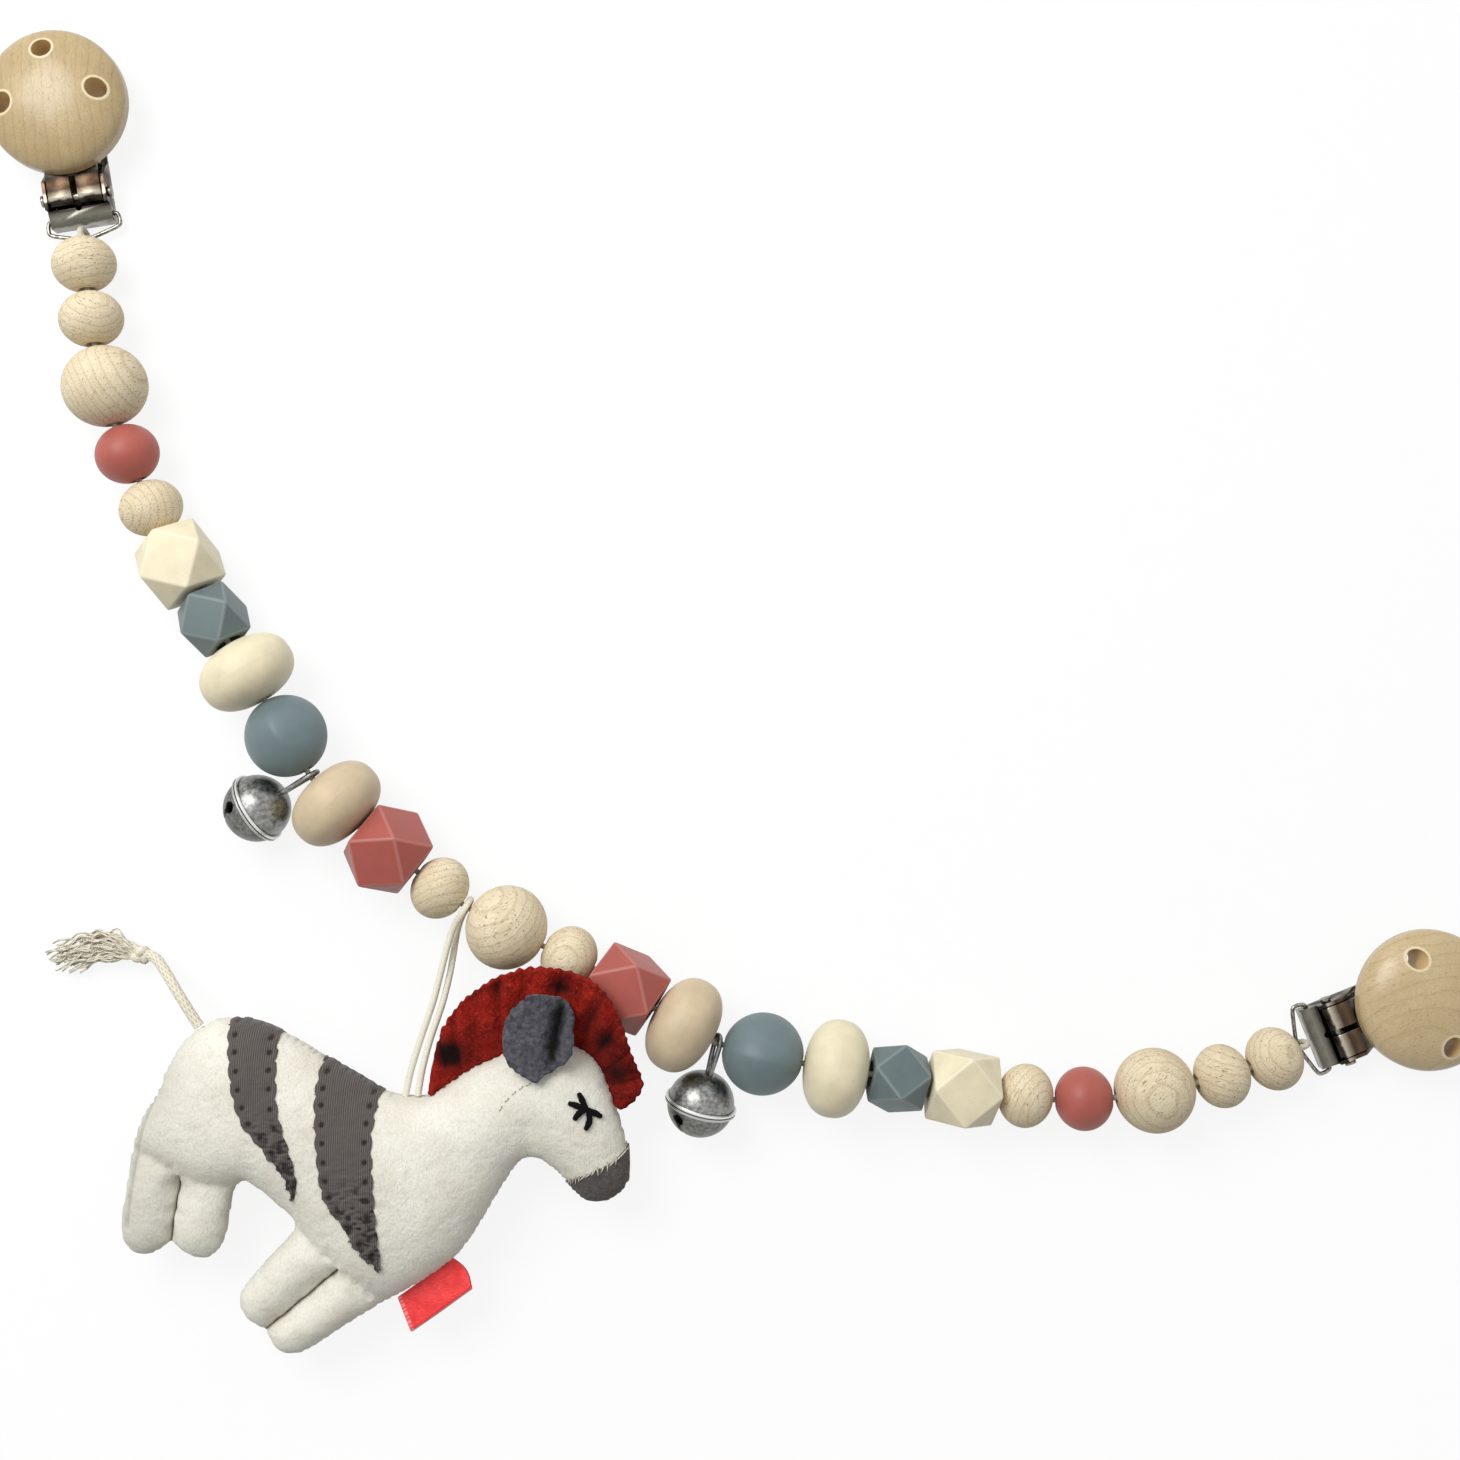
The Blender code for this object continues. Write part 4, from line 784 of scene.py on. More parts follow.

# %% [markdown]
# ## Raw beech and silicone
#
# Raw beech is pale, with close growth rings that wander, long fine fibres, and short dark pores.
# Rings come from a wave texture spun round an axis that misses the bead, so that each bead cuts
# them differently. Fibres and pores are noise, stretched along the grain. Silicone is one even
# colour with a matt skin and a few specks of dust; the faceted beads' edges get a painted highlight.

# %% Wood finish
def wood_finish(name, pale, mid, dark, ring_gap, ring_share, pore_share, over=None, **settings):
    material, tree = finish(name, **settings)
    place = millimetres(tree, "grain_place")
    bend = {"Distortion": 3.2, "Detail": 3.0, "Detail_Scale": 0.8}
    rings = wave_bands(tree, place, ring_gap, "RINGS", "SAW", rings_direction="Z", **bend)
    ring_dark = ramp(tree, rings, (0.0, 0.0), (0.70, 0.15), (0.92, 1.0), (1.0, 0.1))
    along = millimetres(tree, "grain_place", (1, 1, 0.07))
    fibres = speckle(tree, along, 0.2, 3, 0.65)
    dashes = millimetres(tree, "grain_place", (1, 1, 0.22))
    pores = ramp(tree, speckle(tree, dashes, 0.3, 1), (0.64, 0.0), (0.7, 1.0))
    patches = speckle(tree, place, 7.0, 2)
    base = lay(tree, paint(*pale), patches, (0.3, 0.0), (0.7, 1.0), mid)
    lines = times(tree, ring_dark, ring_share)
    streaks = times(tree, ramp(tree, fibres, (0.38, 0.0), (0.70, 1.0)), 0.42)
    base = mix(tree, combine(tree, "ADD", lines, streaks), base, paint(*dark))
    base = mix(tree, times(tree, pores, pore_share), base, tone(dark, 0.72))
    colour_by(tree, over(tree, base) if over else base)
    worn = combine(tree, "ADD", ring_dark, times(tree, pores, 3.0))
    relief(tree, (fibres, 0.05, 0.35), (times(tree, worn, -1.0), 0.03, 0.5))
    return material


raw_beech = wood_finish(
    "raw_beech", (238, 226, 196), (226, 210, 177), (158, 130, 92), 1.8, 0.30, 0.75,
    roughness=0.75,
)

# %% Silicone finish
def silicone_finish(name, colour, roughness=0.5):
    material, tree = finish(name, roughness, Sheen_Weight=0.12, Sheen_Roughness=0.6)
    place = millimetres(tree, "grain_place")
    cloud = speckle(tree, place, 5.0, 3)
    deep = tone(colour, 0.94)
    base = mix(tree, ramp(tree, cloud, (0.35, 0.0), (0.65, 1.0)), deep, paint(*colour))
    # The faceted beads' rounded edges are painted paler, as a painted highlight.
    edge = stored(tree, "edge_mark")
    pale = paint(*[value + (255 - value) * 0.30 for value in colour])
    base = mix(tree, times(tree, edge, 0.42), base, pale)
    dust = ramp(tree, speckle(tree, place, 0.35, 0), (0.79, 0.0), (0.83, 1.0))
    base = mix(tree, times(tree, dust, 0.4), base, tone(colour, 0.6))
    colour_by(tree, base)
    grain = speckle(tree, place, 0.12, 2)
    relief(tree, (grain, 0.012, 0.5))
    roughness_by(tree, cloud, roughness - 0.05, roughness + 0.08)
    return material


SILICONES = {
    "rose_round": ("rose_silicone", (174, 85, 72)),
    "rose_hex": ("rose_facets", (168, 78, 66)),
    "blue_round": ("blue_silicone", (104, 122, 125)),
    "blue_hex": ("blue_facets", (94, 110, 111)),
    "cream_hex": ("cream_silicone", (234, 223, 189)),
    "beige_abacus": ("beige_silicone", (208, 188, 154)),
}
BEAD_FINISHES = {kind: silicone_finish(*look) for kind, look in SILICONES.items()}
BEAD_FINISHES["cream_abacus"] = BEAD_FINISHES["cream_hex"]
BEAD_FINISHES["small_wood"] = BEAD_FINISHES["large_wood"] = raw_beech
print("bead finishes:", len(BEAD_FINISHES))

# %% [markdown]
# ## Threading the beads
#
# A bead's place comes from the frame: the joint that it swings about is on its inner side, and
# the middle of its CAD node is farther along the thread. The faceted beads are also turned about
# the thread, each in its own way.

# %% Place the beads
MIDDLE_HEADING = radians(-27)
ROLLS = {
    "right_bead_02_rose_hex": 6,
    "right_bead_06_blue_hex": -25,
    "left_bead_02_rose_hex": -23,
    "left_bead_06_blue_hex": -6,
}


def thread_frame(spot, ahead, roll=0.0):
    """Z along the thread and Y upwards, then turned about the thread."""
    side = Vector((0, 0, 1)).cross(ahead).normalized()
    turn_to = Matrix((side, ahead.cross(side), ahead)).transposed().to_4x4()
    return Matrix.Translation(spot) @ turn_to @ Matrix.Rotation(radians(roll), 4, "Z")


def thread_through(name, body):
    """Unit vector of the thread through an arm's bead, outwards."""
    return (box_middle(name) - joint_place(f"{body}_swing")).normalized()


bead_bodies = {}
for body, parts in frame["record"]["behaviour"]["bodies"].items():
    for part in parts:
        if "bead" in part:
            bead_bodies[part] = body
for count, (name, body) in enumerate(sorted(bead_bodies.items())):
    kind = name.split("bead_")[1].lstrip("0123456789_")
    if name.startswith("middle"):
        ahead = Vector((cos(MIDDLE_HEADING), sin(MIDDLE_HEADING), 0))
    else:
        ahead = thread_through(name, body)
    bead = copy_of(MASTERS[kind], f"bead_{name.replace('bead_', '')}")
    store_grain(bead, 100 + count, turned="wood" in kind)
    bead.data.transform(thread_frame(box_middle(name), ahead, ROLLS.get(name, 0)))
    slot = "wood" if "wood" in kind else kind.split("_")[0]
    dress(bead, BEAD_FINISHES[kind], body, [name])
for master in set(MASTERS.values()):
    bpy.data.objects.remove(master, do_unlink=True)
print("beads placed:", len(bead_bodies))

# %% [markdown]
# ## The stuffed zebra
#
# The real zebra is two flat cloths sewn together round the edge, turned and stuffed. Topstitched
# lines hold the legs apart and fold them at the belly. The model is made in the same order. The
# flat cloth is cut to the outline, which was read off the photograph at the height of the seam.
# Then it is filled: a stuffed cloth rises like a soap film over its outline, so the height comes
# from relaxing that film, held down along the seam and along the stitched lines. A sphere or a
# loft would not swell between its seams in this way.

# %% Outline of the zebra
SKIN_OUTLINE = (
    (204, 1024), (216, 1018), (231, 1016), (262, 1022), (295, 1036), (321, 1052), (350, 1070),
    (387, 1090), (415, 1095), (431, 1093), (447, 1083), (467, 1069), (498, 1054), (520, 1046),
    (547, 1041), (573, 1043), (590, 1051), (602, 1064), (609, 1081), (616, 1100), (622, 1120),
    (628, 1142), (631, 1161), (629, 1180), (620, 1192), (606, 1200), (588, 1200), (576, 1192),
    (565, 1180), (551, 1167), (540, 1159), (529, 1157), (520, 1162), (510, 1176), (496, 1198),
    (482, 1222), (466, 1246), (450, 1262), (424, 1280), (396, 1296), (370, 1311), (344, 1327),
    (320, 1343), (304, 1352), (287, 1354), (275, 1347), (269, 1338), (265, 1329), (256, 1325),
    (245, 1316), (239, 1304), (240, 1291), (253, 1273), (274, 1250), (289, 1234), (294, 1220),
    (280, 1206), (262, 1190), (246, 1182), (237, 1187), (232, 1204), (228, 1231), (220, 1250),
    (206, 1259), (190, 1255), (179, 1248), (172, 1241), (164, 1248), (149, 1255), (133, 1252),
    (123, 1239), (121, 1218), (126, 1191), (130, 1160), (138, 1126), (152, 1097), (170, 1062),
    (185, 1038),
)
SPLIT_LINES = (
    ((172, 1241), (177, 1208), (184, 1171)),
    ((265, 1329), (305, 1296), (343, 1264)),
)
FOLD_LINES = (
    ((136, 1146), (142, 1150), (163, 1157), (182, 1168), (203, 1178), (230, 1183), (248, 1178)),
    ((294, 1220), (310, 1234), (326, 1248), (343, 1262), (363, 1280), (387, 1299)),
)
THROAT_LINE = ((531, 1158), (533, 1140), (530, 1122))
RUMP_LINE = ((163, 1080), (150, 1112), (142, 1140), (137, 1170), (133, 1200), (131, 1222))


def flat_route(pixels, height=SEAM_HEIGHT, steps=4):
    """A smooth line through pixels of the photograph, at one height."""
    return smooth_route([from_photo(column, row, height) for column, row in pixels], steps)


def flat_ring(pixels, height=SEAM_HEIGHT, steps=3):
    """A smooth closed line through pixels of the photograph."""
    route = flat_route(pixels[-2:] + pixels + pixels[:2], height, steps)
    return route[2 * steps:(len(pixels) + 2) * steps]


def inside(place, ring):
    """True where a place is inside a closed ring of points, seen from above."""
    crossed = False
    before = ring[-1]
    for spot in ring:
        if (before.y > place.y) != (spot.y > place.y):
            if place.x < before.x + (place.y - before.y) * (spot.x - before.x) / (spot.y - before.y):
                crossed = not crossed
        before = spot
    return crossed


# %% Nearest point of a line
LINE_STEP = 0.0002


def tree_of(points):
    """A search tree of points as they are seen from above."""
    tree = KDTree(len(points))
    for index, point in enumerate(points):
        tree.insert((point.x, point.y, 0), index)
    tree.balance()
    return tree


class Line:
    """A line of even points that can be asked which of them is nearest, seen from above."""

    def __init__(self, route, closed=False):
        self.points = even_route(route + route[:1] if closed else route, LINE_STEP)
        self.tree = tree_of(self.points)

    def nearest(self, place):
        """(distance, length along the line, point)"""
        _, index, gap = self.tree.find((place.x, place.y, 0))
        return gap, index * LINE_STEP, self.points[index]


skin_ring = flat_ring(SKIN_OUTLINE)
seam_line = Line(skin_ring, closed=True)
split_lines = [Line(flat_route(line)) for line in SPLIT_LINES]
fold_lines = [Line(flat_route(line)) for line in FOLD_LINES]
throat_line = Line(flat_route(THROAT_LINE))
rump_line = Line(flat_route(RUMP_LINE))
print("seam:", round(route_length(seam_line.points), 3), "m")


# %% Cutting a flat cloth
def cut_cloth(name, ring, line, cell):
    """A flat grid inside the ring, with its rim pulled onto the ring."""
    low = Vector((min(p.x for p in ring), min(p.y for p in ring), ring[0].z))
    high = Vector((max(p.x for p in ring), max(p.y for p in ring), ring[0].z))
    columns, rows = (int((high.x - low.x) / cell) + 2, int((high.y - low.y) / cell) + 2)
    bpy.ops.mesh.primitive_grid_add(x_subdivisions=columns, y_subdivisions=rows, size=1)
    cloth = bpy.context.object
    cloth.name = cloth.data.name = name
    spread = Matrix.Diagonal((columns * cell, rows * cell, 1, 1))
    cloth.data.transform(Matrix.Translation((low + high) / 2) @ spread)
    edit(cloth)
    pick(cloth, lambda face: not inside(face.calc_center_median(), ring), "FACE")
    bpy.ops.mesh.delete(type="FACE")
    for _ in range(2):
        pick(cloth, lambda face: all(vertex.is_boundary for vertex in face.verts), "FACE")
        bpy.ops.mesh.delete(type="FACE")
    done()
    shape = bmesh.new()
    shape.from_mesh(cloth.data)
    inner = [vertex for vertex in shape.verts if not vertex.is_boundary]
    for _ in range(2):
        for vertex in shape.verts:
            if vertex.is_boundary:
                vertex.co.xy = line.nearest(vertex.co)[2].xy
        bmesh.ops.smooth_vert(shape, verts=inner, factor=0.5, use_axis_x=True, use_axis_y=True)
    shape.to_mesh(cloth.data)
    shape.free()
    return cloth


CLOTH_CELL = 0.0009
skin_cloth = cut_cloth("zebra_skin", skin_ring, seam_line, CLOTH_CELL)
print("flat cloth:", len(skin_cloth.data.polygons), "squares")

# %% [markdown]
# ## Filling the cloth
#
# The film is relaxed on the cloth's own grid. A stuffed form stops rising once it is wide, since
# the cloth pulls flat there, so the film also pulls itself down a little. First it is relaxed with
# only the outer seam held. Then the stitched lines are held at a share of that height, and it is
# relaxed again. The legs, beside the split lines, are stuffed more firmly than the body.

# %% Filling
FILLED_HALF = 0.0146
LEG_FIRMNESS = 0.45
LEG_REACH = 0.009
RELAX_STEPS = 900
HOLD_WIDTH = 0.00062
SPLIT_HELD, FOLD_HELD, THROAT_HELD = 0.03, 0.52, 0.86


def fade(gap, reach):
    """One on a line, falling smoothly to nothing past its reach."""
    return exp(-((gap / reach) ** 2))


def relax(level, near, held, held_level, gain, pull):
    """Relaxes the film. Held points keep their level."""
    for _ in range(RELAX_STEPS):
        level[:-1] = (level[near].sum(axis=1) + gain) / (4 + pull)
        level[:-1][held] = held_level[held]
    return level


def film_over(cloth, cell, lines):
    """How far the filled cloth rises at each point. Lines are (line, share of the height)."""
    shape = bmesh.new()
    shape.from_mesh(cloth.data)
    count = len(shape.verts)
    near = np.full((count, 4), count)
    held = np.zeros(count, bool)
    gain = np.zeros(count)
    for vertex in shape.verts:
        others = [edge.other_vert(vertex).index for edge in vertex.link_edges][:4]
        near[vertex.index, :len(others)] = others
        held[vertex.index] = vertex.is_boundary
        firm = sum(fade(line.nearest(vertex.co)[0], LEG_REACH) for line in split_lines)
        gain[vertex.index] = cell**2 * (1 + LEG_FIRMNESS * firm)
    pull = 2 * (cell / FILLED_HALF) ** 2
    level = relax(np.zeros(count + 1), near, held, np.zeros(count), gain, pull)
    held_level = np.zeros(count)
    for vertex in shape.verts:
        for line, share in lines:
            if not vertex.is_boundary and line.nearest(vertex.co)[0] < HOLD_WIDTH:
                held[vertex.index] = True
                held_level[vertex.index] = level[vertex.index] * share**2
    level = relax(level, near, held, held_level, gain, pull)
    shape.free()
    return np.sqrt(2 * np.maximum(level[:-1], 0))


stitched = [(line, SPLIT_HELD) for line in split_lines] + [(line, FOLD_HELD) for line in fold_lines]
stitched.append((throat_line, THROAT_HELD))
rise = film_over(skin_cloth, CLOTH_CELL, stitched)
print("stuffed to", round(rise.max() * 2 / MM, 1), "mm thick")

# %% Joining two filled cloths at the seam
TABLE_GAP = 0.0003
LUMP_SHARE = 0.05
LUMP_SIZE = 0.013


def lumpy(place, seed):
    """A slow swell, as hand-stuffed filling has."""
    return 1 + LUMP_SHARE * noise.noise(place / LUMP_SIZE + Vector((seed, 0, 0)))


def join_at_seam(cloth, rise):
    """A closed skin: one cloth raised, one lowered, and the rim shared."""
    shape = bmesh.new()
    shape.from_mesh(cloth.data)
    seam = {vertex.index for vertex in shape.verts if vertex.is_boundary}
    shape.free()
    upper, lower, under = [], [], {}
    count = len(cloth.data.vertices)
    for vertex in cloth.data.vertices:
        place, height = vertex.co.copy(), rise[vertex.index]
        upper.append(place + Vector((0, 0, height * lumpy(place, 0))))
        if vertex.index in seam:
            under[vertex.index] = vertex.index
        else:
            under[vertex.index] = count + len(lower)
            drop = height * lumpy(place, 9)
            lower.append(Vector((place.x, place.y, max(place.z - drop, TABLE_GAP))))
    faces = [tuple(face.vertices) for face in cloth.data.polygons]
    faces += [tuple(under[index] for index in reversed(face)) for face in faces]
    name = cloth.name
    bpy.data.objects.remove(cloth, do_unlink=True)
    return mesh_piece(name, upper + lower, faces)


skin = join_at_seam(skin_cloth, rise)
print("skin:", len(skin.data.vertices), "points")

# %% [markdown]
# ## Letting the cloth settle
#
# A short cloth simulation gives the skin the small puckers and slack that a film does not have.
# The cloth is a little larger than its form, air pressure fills it, and the seam and the stitched
# lines are pinned. Blender's cloth is steadier at ten times the size, so the skin is enlarged for
# it. Afterwards no point may have moved more than a millimetre or so.

# %% Cloth simulation
CLOTH_SCALE = 10
CLOTH_FRAMES = 20
CLOTH_PRESSURE = 4.0
CLOTH_SLACK = -0.045
CLOTH_CAP = 0.0011


def settle(piece, lines):
    """Simulates the skin under pressure with its sewn lines pinned, and caps the movement."""
    before = [vertex.co.copy() for vertex in piece.data.vertices]
    sewn = piece.vertex_groups.new(name="sewn")
    for index, place in enumerate(before):
        gaps = [line.nearest(place)[0] for line in lines]
        if min(gaps) < HOLD_WIDTH or (seam_line.nearest(place)[0] < MERGE):
            sewn.add([index], 1.0, "REPLACE")
    piece.data.transform(Matrix.Scale(CLOTH_SCALE, 4))
    cloth = piece.modifiers.new("Cloth", "CLOTH")
    settings = cloth.settings
    settings.quality = 6
    settings.mass = 0.2
    settings.tension_stiffness = settings.compression_stiffness = 12
    settings.bending_stiffness = 0.35
    settings.vertex_group_mass = "sewn"
    settings.shrink_min = CLOTH_SLACK
    settings.use_pressure = True
    settings.uniform_pressure_force = CLOTH_PRESSURE
    settings.effector_weights.gravity = 0
    cloth.collision_settings.use_collision = False
    scene = bpy.context.scene
    for number in range(1, CLOTH_FRAMES + 1):
        scene.frame_set(number)
    only(piece)
    bpy.ops.object.modifier_apply(modifier=cloth.name)
    scene.frame_set(1)
    piece.data.transform(Matrix.Scale(1 / CLOTH_SCALE, 4))
    farthest = 0.0
    for vertex, place in zip(piece.data.vertices, before):
        step = vertex.co - place
        farthest = max(farthest, step.length)
        if step.length > CLOTH_CAP:
            step *= CLOTH_CAP / step.length
        spot = place + step
        vertex.co = (spot.x, spot.y, max(spot.z, TABLE_GAP))
    piece.vertex_groups.clear()
    return farthest


moved = settle(skin, split_lines + fold_lines)
print("cloth moved up to", round(moved / MM, 2), "mm before the cap")

# %% Seams and puckers
PUCKER_PITCH = 0.0034
PUCKER_DEPTH = 0.00009
PUCKER_REACH = 0.0021
SEAM_PUCKER = 0.00007
RUMP_GROOVE, RUMP_REACH, RUMP_SHADE_REACH = 0.0007, 0.0007, 0.0085
PINCH_SHARE, PINCH_REACH = 0.75, 0.0012
SPLIT_SHADE_REACH = 0.00045
SEAM_NIP = 0.00035
SEAM_NIP_REACH = 0.0007

modify(skin, "SUBSURF", levels=1, render_levels=1)
skin.data.update()
normals = [vertex.normal.copy() for vertex in skin.data.vertices]
painted_shades = []
for vertex, normal in zip(skin.data.vertices, normals):
    gap, along, _ = seam_line.nearest(vertex.co)
    aside = abs(vertex.co.z - SEAM_HEIGHT) + gap
    nip = SEAM_NIP * fade(aside, SEAM_NIP_REACH)
    nip += SEAM_PUCKER * sin(tau * along / PUCKER_PITCH) * exp(-aside / PUCKER_REACH)
    rump_gap = rump_line.nearest(vertex.co)[0]
    rump = fade(rump_gap, RUMP_REACH)
    nip += RUMP_GROOVE * rump
    for line in split_lines + fold_lines:
        gap, along, _ = line.nearest(vertex.co)
        nip += PUCKER_DEPTH * sin(tau * along / PUCKER_PITCH) * exp(-gap / PUCKER_REACH)
    spot = vertex.co - normal * nip
    # Painted shade: the rump's seam groove, a broad band along it, and the split lines between the legs are
    # darkened.
    painted_shade = 0.26 * rump + 0.20 * fade(rump_gap, RUMP_SHADE_REACH)
    for line in split_lines:
        gap, _, middle = line.nearest(vertex.co)
        spot.xy = spot.xy.lerp(middle.xy, PINCH_SHARE * fade(gap, PINCH_REACH))
        painted_shade = max(painted_shade, fade(gap, SPLIT_SHADE_REACH))
    painted_shades.append(painted_shade)
    vertex.co = (spot.x, spot.y, max(spot.z, TABLE_GAP))
store_share(skin, "crease", painted_shades)
soft_shading(skin, 75)
print("skin faces:", len(skin.data.polygons))

# %% [markdown]
# ## Brushed cotton
#
# The skin is a napped jersey: off-white, a little warmer where it is handled, with fibres that
# stand up in tiny tufts and scatter light at a glancing angle. Sheen does the last. The tufts are
# two noises, one stretched the way the nap lies. The same cloth is used all over, so the pattern
# can be read from Object coordinates.

# %% Skin finish
def jersey_finish(name, pale, warm, deep):
    tint = paint(255, 252, 240)
    material, tree = finish(name, 0.9, Sheen_Weight=0.35, Sheen_Roughness=0.5, Sheen_Tint=tint)
    place = millimetres(tree)
    blotches = speckle(tree, place, 9.0, 3, 0.55)
    worn = speckle(tree, place, 2.4, 3, 0.6)
    nap = speckle(tree, millimetres(tree, None, (1, 0.45, 1)), 0.42, 4, 0.65, 0.4)
    lint = speckle(tree, place, 0.17, 2)
    base = lay(tree, paint(*pale), blotches, (0.40, 0.0), (0.70, 1.0), warm)
    base = lay(tree, base, worn, (0.55, 0.0), (0.80, 0.35), deep)
    base = lay(tree, base, nap, (0.28, 0.55), (0.54, 0.0), deep)
    # Painted shade in the split lines between the legs and along the rump seam.
    base = mix(tree, stored(tree, "crease"), base, paint(62, 54, 44))
    colour_by(tree, base)
    relief(tree, (nap, 0.30, 0.8), (worn, 0.55, 0.45), (blotches, 1.6, 0.5), (lint, 0.05, 0.5))
    return material


zebra_jersey = jersey_finish("zebra_jersey", (240, 238, 226), (230, 225, 210), (202, 195, 176))
SKIN_NODES = ["zebra_body", "zebra_head"]
SKIN_NODES += [f"zebra_leg_{end}_{side}" for end in ("front", "hind") for side in ("inner", "outer")]
dress(skin, zebra_jersey, "zebra", SKIN_NODES)

# %% [markdown]
# ## Stripes
#
# Each stripe is a patch of dark ribbed jersey, folded over the back and sewn to both flanks. Its
# edge is scalloped, with one stitch drawn tight inside each scallop, and the narrow end is
# gathered. A patch could be cut with a Boolean, but the dense skin makes that slow. Instead it is
# a second layer of the skin itself: the faces inside the outline are copied, their rim is pulled
# onto the scallops, and the copy is lifted and given a thickness.

# %% Places on the skin
skin_faces = [tuple(face.vertices) for face in skin.data.polygons]
skin_tree = BVHTree.FromPolygons([vertex.co.copy() for vertex in skin.data.vertices], skin_faces)
HIGH = 0.1


def on_skin(place, upper=True):
    """(point, normal) of the skin straight above or below a place, or nothing past its edge."""
    start = Vector((place.x, place.y, HIGH if upper else -HIGH))
    hit, normal, _, _ = skin_tree.ray_cast(start, Vector((0, 0, -1 if upper else 1)))
    return (hit, normal) if hit else None


def skin_pixel(column, row):
    """The place on the upper flank that a pixel shows, or at the seam past its edge."""
    place = from_photo(column, row, SEAM_HEIGHT)
    for _ in range(3):
        found = on_skin(place)
        if not found:
            return place
        place = from_photo(column, row, found[0].z)
    return place


# %% Outlines of the stripes
REAR_STRIPE = (
    (233, 1008), (249, 1006), (266, 1010), (280, 1021), (277, 1052), (276, 1079), (277, 1106),
    (283, 1132), (290, 1155), (296, 1176), (296, 1191), (293, 1200), (289, 1191), (282, 1175),
    (268, 1158), (255, 1142), (243, 1128), (235, 1109), (230, 1086), (228, 1059), (228, 1034),
)
FRONT_STRIPE = (
    (326, 1044), (346, 1045), (367, 1056), (383, 1078), (377, 1107), (372, 1136), (372, 1166),
    (374, 1200), (377, 1234), (380, 1260), (378, 1271), (370, 1263), (359, 1253), (350, 1239),
    (343, 1226), (333, 1214), (325, 1202), (320, 1187), (317, 1167), (315, 1146), (314, 1122),
    (314, 1096), (320, 1067),
)
SCALLOP_PITCH = 0.0043
SCALLOP_DEPTH = 0.00055
STITCH_INSET = 0.0014


def scalloped(ring, pitch, depth):
    """The ring with round scallops, and the place of the stitch inside each."""
    line = even_route(ring + ring[:1], LINE_STEP)[:-1]
    total = len(line) * LINE_STEP
    count = round(total / pitch)
    turned, stitches, last = [], [], 0
    for index, place in enumerate(line):
        ahead = line[(index + 3) % len(line)] - line[index - 3]
        outwards = Vector((ahead.y, -ahead.x, 0)).normalized()
        after = line[(index + 9) % len(line)] - place
        straight = max(0.0, after.normalized().dot((place - line[index - 9]).normalized()))
        phase = count * index / len(line)
        turned.append(place + outwards * depth * straight**4 * (abs(sin(pi * phase)) - 0.75))
        if int(phase + 0.5) != last:
            last = int(phase + 0.5)
            stitches.append(place - outwards * (STITCH_INSET + depth / 2))
    return turned, stitches


def clockwise(ring):
    """The ring turned so that its outside is on the left of its way."""
    area = sum(a.x * b.y - b.x * a.y for a, b in zip(ring, ring[1:] + ring[:1]))
    return ring if area > 0 else ring[::-1]


# %% Cutting a second layer from the skin
def skin_patch(name, ring):
    """The skin's faces inside the ring on both flanks, with the rim pulled onto the ring."""
    patch = copy_of(skin, name)
    low = Vector((min(p.x for p in ring), min(p.y for p in ring)))
    high = Vector((max(p.x for p in ring), max(p.y for p in ring)))

    def outside(face):
        spot = face.calc_center_median()
        if not (low.x < spot.x < high.x and low.y < spot.y < high.y):
            return True
        return not inside(spot, ring)

    edit(patch)
    pick(patch, outside, "FACE")
    bpy.ops.mesh.delete(type="FACE")
    done()
    line = Line(ring, closed=True)
    shape = bmesh.new()
    shape.from_mesh(patch.data)
    for vertex in shape.verts:
        if vertex.is_boundary:
            gap, _, nearest = line.nearest(vertex.co)
            if gap < CLOTH_CELL:
                vertex.co.xy = nearest.xy
    shape.to_mesh(patch.data)
    shape.free()
    return modify(patch, "SUBSURF", levels=1, render_levels=1, subdivision_type="SIMPLE")


def layer(piece, lifts, thickness):
    """Lifts each point off the skin by its own amount and gives the cloth a thickness."""
    piece.data.update()
    normals = [vertex.normal.copy() for vertex in piece.data.vertices]
    for vertex, normal, lift in zip(piece.data.vertices, normals, lifts):
        spot = vertex.co + normal * lift
        vertex.co = (spot.x, spot.y, max(spot.z, TABLE_GAP))
    modify(piece, "SOLIDIFY", thickness=thickness, offset=-1)
    return soft_shading(piece, 60)


# %% Stripe shapes
STRIPE_LIFT, STRIPE_LOWEST = 0.00055, 0.00012
STRIPE_CLOTH = 0.0006
STITCH_REACH = 0.00042
STITCH_DEPTH = 0.0007
REAR_GATHER_ROWS, FRONT_GATHER_ROWS = (1096, 1176), (1150, 1240)
GATHER_DEPTH = 0.0009
GATHER_SIZE = Vector((0.0016, 0.0008, 0.0016))


